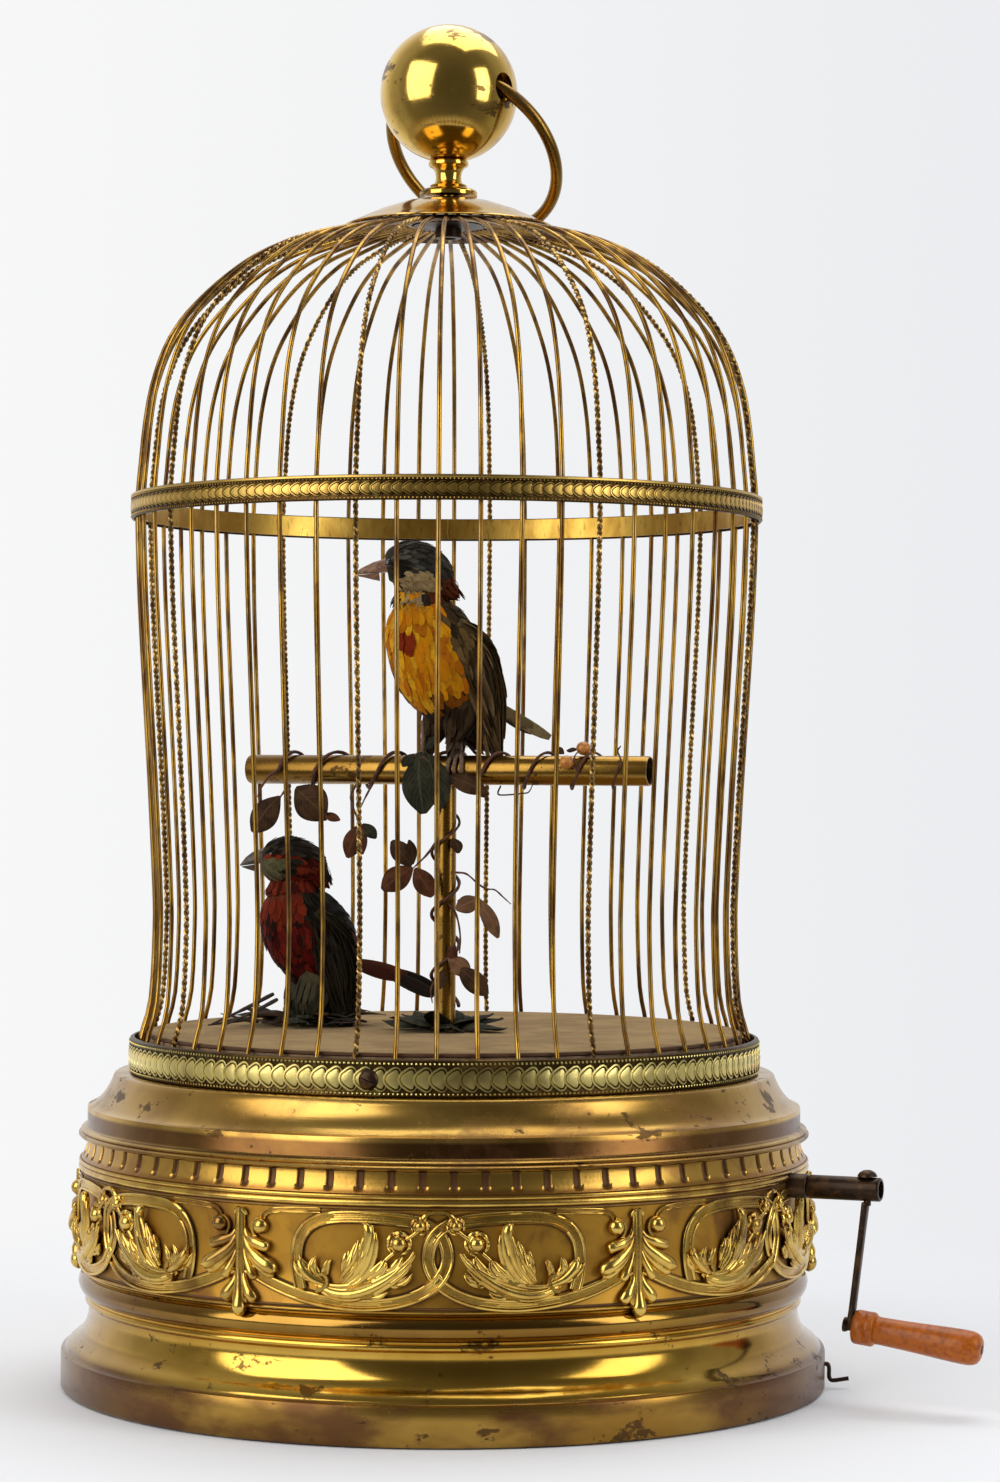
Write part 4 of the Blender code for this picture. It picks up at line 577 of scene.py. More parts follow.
def carve(made, cutter):
    """Cut a bmesh out of a finished piece."""
    mesh = bpy.data.meshes.new("cutter")
    cutter.to_mesh(mesh)
    cutter.free()
    tool = bpy.data.objects.new("cutter", mesh)
    bpy.context.scene.collection.objects.link(tool)
    cutting = made.modifiers.new("cut", "BOOLEAN")
    cutting.operation = "DIFFERENCE"
    cutting.object = tool
    bpy.context.view_layer.update()
    carved = bpy.data.meshes.new_from_object(
        made.evaluated_get(bpy.context.evaluated_depsgraph_get()))
    made.modifiers.clear()
    carved.name = made.name
    made.data = carved
    carved.shade_smooth()
    carved.set_sharp_from_angle(angle=math.radians(SHARP))
    bpy.data.objects.remove(tool, do_unlink=True)


def drill(radius, length, segments, matrix):
    """A round cutter in millimetres."""
    shape = bmesh.new()
    bmesh.ops.create_cone(shape, cap_ends=True, segments=segments, radius1=radius * MM,
                          radius2=radius * MM, depth=length * MM, matrix=matrix)
    return shape


def block(size, centre):
    """A box in millimetres with softened edges."""
    shape = bmesh.new()
    bmesh.ops.create_cube(shape, size=1.0)
    bmesh.ops.scale(shape, vec=Vector(size) * MM, verts=shape.verts[:])
    bmesh.ops.bevel(shape, geom=shape.edges[:], offset=min(size) * 0.12 * MM, segments=2,
                    profile=0.5, affect="EDGES", material=-1)
    bmesh.ops.translate(shape, vec=Vector(centre) * MM, verts=shape.verts[:])
    return shape


def ball(radius, centre, detail=2, flat=(1, 1, 1)):
    """A round bead, squashed if asked, in millimetres."""
    shape = bmesh.new()
    bmesh.ops.create_icosphere(shape, subdivisions=detail, radius=radius * MM)
    bmesh.ops.scale(shape, vec=flat, verts=shape.verts[:])
    bmesh.ops.translate(shape, vec=Vector(centre) * MM, verts=shape.verts[:])
    return shape


# Camera, light and floor

def set_stage():
    """A pale floor, a white surround and soft lamps that leave the brass its contrast."""
    scene = bpy.context.scene
    scene.view_settings.view_transform = "Standard"
    lens = bpy.data.cameras.new("view")
    lens.lens = 89.9
    lens.sensor_width = 36.0
    camera = bpy.data.objects.new("view", lens)
    camera.location = (0.02295, -1.5725, 0.2608)
    camera.rotation_euler = (math.radians(90.37), math.radians(-0.25), 0.0)
    scene.collection.objects.link(camera)
    scene.camera = camera

    world = bpy.data.worlds.new("studio")
    world.use_nodes = True
    scene.world = world
    surround = Nodes(world.node_tree)
    surround.tree.nodes.remove(surround.tree.nodes["Background"])
    direction = surround.add("ShaderNodeTexCoord", out="Generated")

    def gradient(name, *stops):
        """Colours along one axis of the view direction, from -1 to 1."""
        share = surround.axis(name, direction) * 0.5 + 0.5
        return surround.add("ShaderNodeValToRGB", {"stops": stops}, {0: share})

    def ray(name):
        """1 for rays of one kind."""
        return surround.add("ShaderNodeLightPath", out=name)

    room = surround.add("ShaderNodeBackground", None, {"Strength": 0.85, "Color": gradient(
        "Y", (0.0, (0.10, 0.10, 0.10)), (0.30, (0.16, 0.16, 0.155)), (0.52, (0.60, 0.59, 0.58)),
        (1.0, (1.0, 0.985, 0.96)))})
    pale = gradient("X", (0.40, (0.94, 0.94, 0.94)), (0.60, (0.83, 0.84, 0.865)))
    mirrored = surround.mix(1.0, gradient(
        "Y", (0.0, (0.10, 0.095, 0.088)), (0.36, (0.17, 0.165, 0.155)),
        (0.62, (0.44, 0.44, 0.44)), (0.90, (1.0, 1.0, 1.0))), pale, "MULTIPLY")
    to_camera = ray("Is Camera Ray")
    white = surround.add("ShaderNodeBackground", None, {
        "Color": surround.mix(to_camera, mirrored, pale)})
    shows = to_camera + ray("Is Glossy Ray") + ray("Is Transmission Ray")
    surround.feed(surround.tree.nodes["World Output"].inputs["Surface"],
                  surround.add("ShaderNodeMixShader", None, {0: shows, 1: room, 2: white}))

    lamps = (
        ("window", (-1.35, -1.10, 0.95), (1.5, 1.9), 27.0, (1.0, 0.98, 0.95)),
        ("fill", (1.30, -0.75, 0.75), (0.6, 1.3), 9.0, (0.97, 0.98, 1.0)),
        ("top", (0.15, 0.35, 1.55), (1.2, 1.2), 11.0, (1.0, 1.0, 1.0)),
    )
    for name, place, size, power, colour in lamps:
        light = bpy.data.lights.new(name, "AREA")
        light.shape = "RECTANGLE"
        light.size, light.size_y = size
        light.energy = power
        light.color = colour
        lamp = bpy.data.objects.new(name, light)
        lamp.location = place
        lamp.rotation_euler = (Vector((0, 0, 0.25)) - Vector(place)).to_track_quat(
            "-Z", "Y").to_euler()
        scene.collection.objects.link(lamp)

    ground = bmesh.new()
    bmesh.ops.create_grid(ground, x_segments=1, y_segments=1, size=6.0)
    mesh = bpy.data.meshes.new("floor")
    ground.to_mesh(mesh)
    ground.free()
    floor = bpy.data.objects.new("floor", mesh)
    floor.location.z = -0.0004
    scene.collection.objects.link(floor)
    paint = Paint("floor_white")
    cloud = paint.noise(2.0, 2.0)
    near = 1.0 - paint.ramp(paint.radius(), 0.26, 0.62)
    paint.set(Base_Color=paint.mix(cloud, (0.82, 0.84, 0.88), (0.86, 0.88, 0.92)), Roughness=0.9,
              Specular_IOR_Level=0.1, Alpha=near)
    mesh.materials.append(paint.material)


# Base case

FOOT_PROFILE = (
    (160.2, 0.0), (160.9, 0.3), (FOOT_R, 1.0), (FOOT_R, 14.9), (161.0, 15.8), (160.2, 16.2),
    (159.7, 16.5), (159.3, 17.2), (158.6, 18.1), (157.5, 19.2), (156.0, 20.3), (154.4, 21.5),
    (152.9, 23.1), (151.6, 25.0), (150.6, 27.2), (149.9, 29.6), (149.7, 32.0), (149.8, 34.4),
    (150.1, 35.0), (150.8, 35.4), (151.2, 36.1), (151.2, 37.0), (150.8, 37.7), (150.2, 38.1),
    (150.2, 38.6), (150.9, 39.0), (151.7, 39.6), (152.8, 40.7), (153.6, 42.2), (154.0, 44.0),
    (153.8, 45.6), (153.1, 47.1), (152.1, 48.2), (151.5, 48.6), (152.4, 48.9), (152.7, 49.3),
    (152.5, 49.7), (147.6, 49.7), (147.6, 30.0), (151.0, 22.5), (160.1, 15.0), (160.1, 0.0),
)
DRUM_PROFILE = (
    (152.7, 50.0), (153.6, 50.2), (153.9, 50.7), (153.6, 51.2), (153.1, 51.5), (153.3, 51.9),
    (153.3, 52.3), (153.0, 52.7), (153.0, 70.0), (153.0, 89.6), (153.4, 90.0), (153.4, 90.5),
    (153.1, 90.9), (153.7, 91.2), (154.2, 91.9), (154.2, 92.8), (153.7, 93.5), (153.4, 93.8),
    (153.9, 94.2), (154.1, 94.8), (153.9, 95.4), (153.2, 95.8), (148.2, 95.8), (148.2, 50.0),
)
CAVETTO_PROFILE = (
    (147.8, 95.9), (153.1, 95.9), (152.8, 96.4), (152.4, 97.0), (152.1, 97.6), (151.8, 98.3),
    (151.5, 99.0), (151.3, 99.7), (151.1, 100.4), (150.9, 101.1), (150.8, 101.8),
    (150.7, 102.5), (150.6, 103.2), (150.6, 103.8), (150.6, 104.2), (147.8, 104.2),
)
SHOULDER_PROFILE = (
    (149.4, 104.5), (152.0, 104.6), (153.6, 104.9), (154.2, 105.5), (154.2, 106.2),
    (153.5, 106.8), (152.9, 107.0), (153.3, 107.4), (153.3, 107.9), (152.7, 108.5),
    (151.7, 108.8), (151.0, 109.2), (150.6, 109.9), (150.6, 116.6), (150.4, 117.2),
    (149.6, 117.5), (148.9, 117.7), (147.4, 118.6), (145.7, 120.0), (144.0, 121.9),
    (142.6, 123.9), (141.4, 126.0), (140.3, 128.4), (139.5, 130.4), (138.6, 131.0),
    (112.0, 131.0), (112.0, 129.8), (137.6, 129.8), (143.4, 120.2), (149.4, 115.8),
)


def cavetto_ring():
    """The hollow moulding above the frieze with its round-ended flutes pressed in."""
    shape = turned(CAVETTO_PROFILE, steps=FLUTES * 14)
    hollow = shape.verts.layers.float.new("hollow")
    inner_r, low_z, top_z = 149.0, 98.4, 103.9
    half_width, depth = 1.45, 1.25
    pitch = 360.0 / FLUTES
    for vertex in shape.verts:
        radius = vertex.co.to_2d().length / MM
        if radius < inner_r:
            continue
        azimuth = math.degrees(math.atan2(vertex.co.x, -vertex.co.y))
        across = math.radians((azimuth % pitch) - pitch / 2) * radius
        z = vertex.co.z / MM
        away = math.hypot(across, max(low_z - z, 0.0))
        pressed = max(0.0, 1.0 - (away / half_width) ** 2) if z < top_z else 0.0
        pressed = min(1.0, pressed * 2.2)
        vertex[hollow] = pressed
        vertex.co.x *= 1.0 - depth * pressed / radius
        vertex.co.y *= 1.0 - depth * pressed / radius
    return shape


def cavetto_brass():
    """The case brass, dark in the flutes from grime and painted shade."""
    paint = Paint("cavetto_brass")
    hollow = paint.add("ShaderNodeAttribute", {"attribute_name": "hollow"}, out="Fac")
    clouds = paint.noise(55.0, 5.0, warp=0.7)
    # Darker in the flutes: grime and painted shade in the hollows.
    dirt_and_shade = paint.ramp(hollow + (clouds - 0.5) * 0.5, 0.12, 0.55)
    shine = paint.ramp(paint.along("Z") + (clouds - 0.5) * 0.003, 0.0965, 0.0985)
    colour = paint.mix(shine, (0.36, 0.175, 0.038), (0.56, 0.33, 0.065))
    colour = paint.mix(paint.ramp(clouds, 0.50, 0.68) * 0.6, colour, (0.33, 0.14, 0.045))
    colour = paint.mix(dirt_and_shade * 0.88, colour, (0.105, 0.040, 0.020))
    paint.bump(paint.noise(700.0, 3.0), 0.14, 0.0004)
    return paint.set(Base_Color=colour, Roughness=0.28 + dirt_and_shade * 0.3, Metallic=1.0 - dirt_and_shade * 0.4)


def side_of(line, index):
    """The direction square to a flat line at one of its points."""
    ahead = line[min(index + 1, len(line) - 1)] - line[max(index - 1, 0)]
    return Vector((-ahead.y, ahead.x, 0.0)).normalized()


def strap(relief, path, width=4.5, rise=1.0, over=()):
    """A flat raised band with a bead along each edge, on the unrolled drum."""
    line = smooth([(u, z - FRIEZE_MIDDLE_Z, 0.0) for u, z in path], 5)
    lift = [sum(0.75 * math.exp(-((place - Vector((u, z - FRIEZE_MIDDLE_Z, 0.0))).length / 4.5)
                                ** 2) for u, z in over) for place in line]
    sides = [side_of(line, index) for index in range(len(line))]
    # The two outer lanes lie low beside the band, so that the cast brass paints grime and shade
    # along each edge as a dark outline.
    lanes = ((0.0, width * 0.34, 0.30), (-0.40, width * 0.15, 1.55), (0.40, width * 0.15, 1.55),
             (-0.20, width * 0.17, 0.75), (0.20, width * 0.17, 0.75),
             (-0.55, width * 0.26, -0.37), (0.55, width * 0.26, -0.37))
    for across, radius, height in lanes:
        points = [(place + side * (across * width)) * MM
                  + Vector((0, FRIEZE_MIDDLE_Z * MM,
                            (rise * height - radius * 0.45 + extra) * MM))
                  for place, side, extra in zip(line, sides, lift)]
        relief.append((points, radius * MM))


def lobe(relief, path, width, ribs, rise):
    """A carved leaf lobe: tapering ribs side by side along one line."""
    line = smooth([(u, z, 0.0) for u, z in path], 6)
    for rib in range(ribs):
        across = (rib + 0.5) / ribs - 0.5
        reach = 1.0 - 1.1 * across * across - 0.03 * (rib % 2)
        last = max(3, round((len(line) - 1) * reach))
        points = []
        radii = []
        for index, place in enumerate(line[:last + 1]):
            share = index / (len(line) - 1)
            side = side_of(line, index)
            swell = 0.25 + 0.75 * math.sin(math.pi * min(1.0, share * 0.98 + 0.02) ** 0.85)
            if share > 0.5:
                swell = max(swell, 0.55 * share)
            spread = width * swell
            crown = (rise * (0.60 + 0.95 * share) * (1.0 - 1.5 * across * across)
                     + 0.22 * math.sin(9.0 * share + rib * 2.1) - 0.25 * (rib % 2))
            points.append(Vector((place.x + side.x * across * spread,
                                  place.y + side.y * across * spread, crown)) * MM)
            ending = max(0.0, (index / last - 0.84) / 0.16)
            radii.append(max(0.26, spread / ribs * 0.82 * (1.0 - 0.55 * ending * ending)) * MM)
        relief.append((points, radii))


def curl(relief, centre, radius, start, turns, steps, mirror, rise, thick, thin):
    """A scroll that winds in to its centre and grows thinner, in millimetres."""
    points = []
    for step in range(steps + 1):
        share = step / steps
        angle = math.radians(start) + turns * 2 * math.pi * share
        reach = radius * (1.0 - 0.72 * share)
        points.append(Vector(((centre[0] + reach * math.cos(angle)) * mirror,
                              centre[1] + reach * math.sin(angle), rise)) * MM)
    relief.append((points, [(thick - thin * step / steps) * MM for step in range(steps + 1)]))


def smooth_flat(points, per_span=3):
    """A smooth line through flat points."""
    return [(p.x, p.y) for p in smooth([(a, b, 0.0) for a, b in points], per_span)]


def husk(relief, beads, u, z, size, lean):
    """A bell flower: a swelling cup with a lip and a folded mouth."""
    def bent(turns):
        return smooth_flat([(u + size * reach * math.cos(math.radians(angle + lean)),
                             z + size * reach * math.sin(math.radians(angle + lean)))
                            for angle, reach in turns])

    beads.append(ball(size * 0.62, (u, z, 0.9)))
    lip = bent([(angle, 0.80) for angle in range(-150, 160, 34)])
    relief.append(([Vector((a, b, 1.1 + 0.5 * math.sin(i))) * MM
                    for i, (a, b) in enumerate(lip)],
                   [size * MM * (0.10 + 0.13 * math.sin(math.pi * i / (len(lip) - 1)))
                    for i in range(len(lip))]))
    fold = bent(((170, 0.55), (120, 0.50), (60, 0.52), (10, 0.60)))
    relief.append(([Vector((a, b, 2.4)) * MM for a, b in fold], size * 0.15 * MM))


LOOP = ((-77.0, 65.5), (-69, 61.5), (-61, 58.4), (-52, 55.8), (-41, 53.9), (-29, 53.2),
        (-17, 54.4), (-7.5, 57.4), (-0.5, 62.2), (3.2, 68.4), (3.4, 74.6), (0.8, 80.6),
        (-5.0, 84.6), (-14, 86.2), (-26, 87.0), (-37, 87.0), (-45, 85.8), (-51, 82.6),
        (-54.6, 77.4), (-55.6, 71), (-55.0, 64.5), (-53.6, 58.6))
TOP_LINE = ((-69.5, 82.0), (-70.2, 85.2), (-68.0, 87.6), (-63.5, 88.5), (-56, 88.9), (-46, 89.1))
LEAF_LOBES = (
    (((-47.5, 61.5), (-42, 58.6), (-35, 58.0), (-28, 59.6), (-21.5, 62.6), (-15.5, 66.4),
      (-11.0, 70.4), (-8.2, 74.8)), 7.2, 4, 2.0),
    (((-36, 60.5), (-31.5, 64.0), (-28.2, 69.0), (-26.4, 75.5), (-25.4, 81.0), (-25.2, 85.0)),
     7.4, 4, 2.6),
    (((-37.5, 62.0), (-34.5, 66.0), (-32.4, 70.5), (-30.8, 75.2), (-30.2, 79.0)), 4.6, 3, 1.9),
    (((-36.5, 63.5), (-35.6, 67.5), (-34.8, 71.5), (-34.4, 74.8)), 3.6, 2, 1.4),
    (((-30, 60.5), (-25.0, 64.2), (-21.5, 68.0), (-19.8, 71.8)), 5.0, 3, 2.3),
    (((-22, 62.4), (-18.2, 65.2), (-15.0, 69.6), (-13.4, 73.0)), 3.8, 2, 2.0),
    (((-30, 61.0), (-27.2, 57.4), (-22.5, 57.2), (-18.5, 59.4)), 3.2, 2, 1.3),
    (((-20, 62.0), (-16.0, 61.6), (-12.0, 63.4), (-9.6, 66.6)), 3.0, 2, 1.3),
    (((-44, 61.0), (-47.5, 64.0), (-48.6, 68.0), (-46.8, 72.2)), 3.8, 3, 2.0),
    (((-45.5, 62.5), (-50.0, 65.2), (-53.2, 68.8), (-54.2, 72.0)), 3.4, 2, 1.7),
    (((-46, 61.5), (-51.0, 63.2), (-54.8, 66.0), (-57.0, 69.6)), 2.8, 2, 1.2),
    (((-43, 61.0), (-44.0, 64.8), (-42.8, 68.6), (-41.0, 71.0)), 2.6, 2, 1.4),
)
LEAF_FOLDS = (
    (((-31, 66, 1.8), (-28.2, 72, 2.5), (-26.6, 78, 2.9), (-26.4, 82.5, 3.0), (-28.4, 85, 2.4)),
     (1.0, 1.6, 1.9, 2.0, 1.5)),
    (((-46, 60, 0.9), (-40, 57.6, 1.9), (-33, 57.4, 2.3), (-26, 59.4, 2.3), (-19, 63.4, 2.1),
      (-13.5, 68.4, 2.1), (-9.8, 73, 1.6)), (1.2, 1.8, 2.0, 1.9, 1.6, 1.3, 0.9)),
    (((-44, 61, 1.5), (-48.5, 63, 2.3), (-52.4, 66.8, 2.6), (-54.2, 70.6, 2.2)),
     (1.2, 1.7, 1.8, 1.3)),
    (((-25.5, 63.5, 1.7), (-21.8, 67.2, 2.3), (-20.4, 71.2, 2.0)), (1.0, 1.5, 1.2)),
    (((-37, 64, 1.5), (-33.6, 69, 2.1), (-32.2, 75, 1.8)), (1.0, 1.3, 1.0)),
)
DROP_LOBES = (
    (((1.6, 81, 0.5), (3.6, 77.4, 1.2), (7.4, 75.6, 1.9), (11.6, 74.2, 1.9), (13.4, 73.6, 1.5)),
     (1.0, 1.6, 2.3, 2.4, 2.0)),
    (((1.6, 79, 0.5), (4.0, 73.8, 1.4), (8.4, 70.0, 2.3), (13.0, 67.0, 2.6), (17.0, 64.8, 1.9)),
     (1.2, 1.9, 2.6, 3.0, 2.5)),
    (((1.6, 77, 0.4), (3.8, 71.6, 0.9), (8.0, 67.2, 1.5), (12.2, 64.2, 1.8), (15.4, 62.8, 1.1)),
     (1.0, 1.4, 1.8, 2.0, 1.5)),
    (((1.2, 74, 0.5), (3.0, 68.6, 1.2), (5.4, 64.0, 1.7), (7.0, 60.8, 1.3)),
     (1.0, 1.4, 1.9, 1.8)),
    (((0.9, 65, 0.5), (2.6, 59.6, 1.2), (5.0, 55.6, 1.9), (7.2, 52.4, 1.4)),
     (1.1, 1.8, 2.6, 2.4)),
    (((0.8, 88.0, 1.0), (1.2, 80, 1.1), (1.0, 72, 1.2), (1.1, 64, 1.2), (1.8, 56, 1.3),
      (2.4, 51.0, 1.1)), (1.3, 1.3, 1.1, 1.1, 1.5, 1.8)),
    (((0.4, 88.2, 1.7), (1.8, 87.4, 1.5), (2.9, 85.6, 1.0)), (1.0, 0.9, 0.6)),
)
DROP_STEM = (((0.0, 88.6, 1.4), (0, 80, 1.7), (0, 72, 1.9), (0, 64, 1.9), (0.2, 56, 2.0),
              (0.3, 50.6, 2.4), (0.3, 46.4, 1.6)), (1.7, 1.6, 1.4, 1.4, 1.8, 3.0, 2.9))


def plump(path, radii, mirror=1):
    """A round-ended lobe along a line, with its swelling radii in millimetres."""
    line = smooth([(u * mirror, z, height) for u, z, height in path], 6)
    swell = []
    for index in range(len(line)):
        share = index / (len(line) - 1)
        place = share * (len(radii) - 1)
        low = min(int(place), len(radii) - 2)
        radius = radii[low] + (radii[low + 1] - radii[low]) * (place - low)
        ending = max(0.0, (share - 0.84) / 0.16)
        swell.append(radius * math.sqrt(max(0.04, 1.0 - ending * ending)) * MM)
    return [place * MM for place in line], swell


def panel_relief():
    """The straps and the leaves of one of six frieze panels, on the unrolled drum."""
    straps = []
    lines = []
    folds = []
    beads = []
    for mirror in (1, -1):
        def side(points):
            return [(u * mirror, z) for u, z in points]

        strap(straps, side(LOOP), over=((0.0, 61.8 if mirror > 0 else 79.6),))
        strap(straps, side(TOP_LINE), width=2.2, rise=0.6)
        for path, width, ribs, rise in LEAF_LOBES:
            lobe(lines, side(path), width, ribs, rise)
        folds += [plump(path, radii, mirror) for path, radii in LEAF_FOLDS]
        curl(lines, (-45.6, 62.4), 3.9, 250, 0.95, 16, mirror, 1.7, 1.35, 0.75)
        husk(lines, beads, -6.9 * mirror, 83.8, 3.9, 60 if mirror > 0 else 120)
        husk(lines, beads, -14.9 * mirror, 77.0, 5.3, 75 if mirror > 0 else 105)
        for path, radius in ((((-7.4, 82.4), (-9.4, 80.6), (-12.0, 78.8)), 0.75),
                             (((-16.8, 73.6), (-19.4, 71.4), (-21.6, 69.0)), 0.8),
                             (((0.0, 89.3), (-3.4, 88.8), (-6.0, 86.6), (-7.0, 84.2)), 1.0)):
            lines.append(([Vector((u * mirror, z, 1.7)) * MM
                           for u, z in smooth_flat(path, 4)], radius * MM))
    shape = strands(lines, 1)
    merge(shape, strands(folds, 2))
    for bead in beads:
        merge(shape, bead)
    return strands(straps, 1), shape


def leaf_drop():
    """The leaf drop that covers a joint between panels and hangs over the torus."""
    lines = []
    round_lines = []
    beads = []
    for mirror in (1, -1):
        for path, radii in DROP_LOBES:
            round_lines.append(plump(path, radii, mirror))
            if max(radii) > 1.45:
                middle = [(u + 0.15, z + 0.25, height + 0.8 * max(radii) * i / len(path))
                          for i, (u, z, height) in enumerate(path)]
                round_lines.append(plump(middle, [r * 0.42 for r in radii], mirror))
        beads.append(ball(3.4, (9.4 * mirror, 82.0, 1.2)))
        curl(lines, (9.4, 81.9), 5.0, 250, -0.72, 14, mirror, 0.8, 0.95, 0.2)
    round_lines.append(plump(*DROP_STEM))
    shape = strands(lines, 1)
    merge(shape, strands(round_lines, 3))
    for bead in beads:
        merge(shape, bead)
    return shape


def build_base():
    """Mouldings and frieze."""
    foot = piece(turned(FOOT_PROFILE, 200), "foot_shell", CASE_BRASS, replaces="foot_moulding")
    carve(foot, placed(block((14.0, 10.4, 2.8), (161.0, 0.0, 10.0)), facing(STOP_AZIMUTH)))
    drum = piece(turned(DRUM_PROFILE, 240), "drum_shell", CAST_BRASS, replaces="frieze_drum")
    carve(drum, drill(5.3, 20.0, 32, facing(CRANK_AZIMUTH) @ shifted(FRIEZE_R, 0.0, CRANK_Z)
                      @ SIDEWAYS))
    piece(cavetto_ring(), "fluted_hollow", cavetto_brass(), replaces="frieze_drum",
          sharp=50)
    piece(turned(SHOULDER_PROFILE, 200), "shoulder_shell", SHOULDER_BRASS,
          replaces="shoulder_moulding")

    for name, panel in zip(("frieze_straps", "frieze_scrolls"), panel_relief()):
        piece(duplicated(wrap(panel, FRIEZE_R), PANELS), name, CAST_BRASS,
              sharp=60)
    piece(duplicated(wrap(leaf_drop(), FRIEZE_R, 180.0 / PANELS), PANELS), "frieze_leaf_drops",
          CAST_BRASS, sharp=60)


def scale_leaf(length, height, low, high):
    """A stamped scale with three lobes on its left edge, lying over the one before it."""
    leaf = bmesh.new()
    bmesh.ops.create_circle(leaf, cap_ends=True, segments=20, radius=1.0)
    for vertex in leaf.verts:
        angle = math.atan2(vertex.co.y, vertex.co.x)
        reach = 1.0 + 0.10 * math.cos(3 * (angle - math.pi))
        vertex.co.x *= reach * length / 2 * MM
        vertex.co.y *= reach * height / 2 * MM
    face = leaf.faces[:][0]
    if face.normal.z < 0:
        face.normal_flip()
    for thickness, rise in ((0.16, 0.85), (0.62, 0.10), (0.22, -0.85), (0.34, 0.10),
                            (0.22, 0.80), (0.50, 0.15)):
        bmesh.ops.inset_individual(leaf, faces=[face], thickness=thickness * height / 10 * MM,
                                   depth=rise * (high - low) * MM)
    for vertex in leaf.verts:
        share = 0.5 - vertex.co.x / (length * MM)
        vertex.co.z += (low + (high - low) * share) * MM
    return leaf


def bead_row(count, radius, z, size):
    """A row of stamped beads round a strip."""
    bead = bmesh.new()
    bmesh.ops.create_icosphere(bead, subdivisions=1, radius=size * MM)
    bmesh.ops.translate(bead, vec=around(radius, 0.0, z), verts=bead.verts[:])
    return duplicated(bead, count)


def stamped_strip(profile, leaf, leaf_r, leaf_z, count, beads):
    """A turned strip with stamped scales between its rows of beads."""
    strip = turned(profile, 200)
    leaves = wrap(scale_leaf(*leaf), leaf_r)
    bmesh.ops.translate(leaves, vec=(0, 0, leaf_z * MM), verts=leaves.verts[:])
    merge(strip, duplicated(leaves, count))
    for row in beads:
        merge(strip, bead_row(*row))
    return strip


def build_gallery():
    """The stamped ring round the cage's foot and its slotted screw."""
    strip = stamped_strip(
        ((131.2, 131.4), (132.7, 131.4), (133.0, 131.8), (SCALES_R, 132.3), (SCALES_R, 144.0),
         (133.0, 144.9), (132.9, 145.6), (132.3, 146.0), (131.2, 146.0)),
        (8.2, 10.0, -0.10, 0.42), SCALES_R, 138.2, 140,
        ((464, 132.9, 132.5, 0.66), (464, 132.9, 144.3, 0.66)))
    piece(strip, "gallery_strip", GALLERY_BRASS, replaces="gallery_ring",
          sharp=40)
    screw = turned(((0.0, 2.1), (1.6, 1.95), (2.9, 1.5), (3.8, 0.8), (4.1, 0.2), (4.1, -0.4),
                    (0.0, -0.4)), 40, closed=False)
    seat = (Matrix.Translation(around(133.2, SCREW_AZIMUTH, 138.0)) @ facing(SCREW_AZIMUTH)
            @ SIDEWAYS)
    head = piece(placed(screw, seat), "gallery_screw_head", BRONZED, replaces="gallery_screw")
    carve(head, placed(block((0.95, 12.0, 2.4), (0.0, 0.0, 2.0)),
                       seat @ Matrix.Rotation(math.radians(-21), 4, "Z")))


# Cage

WIRE_PROFILE = (
    (128.8, 134.0), (128.7, 145.0), (124.5, 161.6), (123.0, 191.0), (123.3, 210.0),
    (125.3, 250.0), (127.7, 290.0), (130.0, 330.0), (131.1, 364.0), (130.9, 376.0),
    (129.8, 388.0), (128.2, 404.0), (125.6, 419.0), (120.5, 434.5), (113.8, 446.3),
    (105.0, 456.5), (95.0, 465.7), (84.6, 473.2), (74.0, 478.6), (64.0, 482.2), (44.6, 486.6),
    (30.0, 489.0), (17.8, 490.4),
)
TWISTED = (0, 6, 13, 19, 26, 32, 38, 44)
WIRES = 50
FIRST_AZIMUTH = -15.0
WIRE_R = 0.97
STRAND_R = 0.61
STRAND_REACH = 0.58
STRAND_LEAD = 5.2
STEPS_PER_LEAD = 9


def wire_line(azimuth, sway=0.0):
    """Where one wire runs, with a slight bend of its own."""
    flat = smooth([(r, z, 0.0) for r, z in WIRE_PROFILE], 3)
    line = []
    for place in flat:
        share = max(0.0, min(1.0, (place.y - 150.0) / 210.0))
        wander = sway * math.sin(math.pi * share) if place.y < 360 else 0.0
        line.append(around(place.x, azimuth + wander, place.y))
    return line


def twisted_wire(azimuth):
    """Two strands laid round each other along a cage wire."""
    line = wire_line(azimuth)
    lengths = [0.0]
    for first, second in zip(line, line[1:]):
        lengths.append(lengths[-1] + (second - first).length)
    lead = STRAND_LEAD * MM
    count = int(lengths[-1] / lead * STEPS_PER_LEAD)
    side = facing(azimuth).to_3x3() @ Vector((0, 1, 0))
    pair = []
    for strand in (0, 1):
        points = []
        index = 0
        for step in range(count + 1):
            run = lengths[-1] * step / count
            while index < len(line) - 2 and lengths[index + 1] < run:
                index += 1
            span = lengths[index + 1] - lengths[index]
            centre = line[index].lerp(line[index + 1], (run - lengths[index]) / span)
            ahead = (line[index + 1] - line[index]).normalized()
            normal = side.cross(ahead)
            angle = 2 * math.pi * run / lead + strand * math.pi
            points.append(centre + (side * math.cos(angle) + normal * math.sin(angle))
                          * STRAND_REACH * MM)
        pair.append((points, STRAND_R * MM))
    return pair


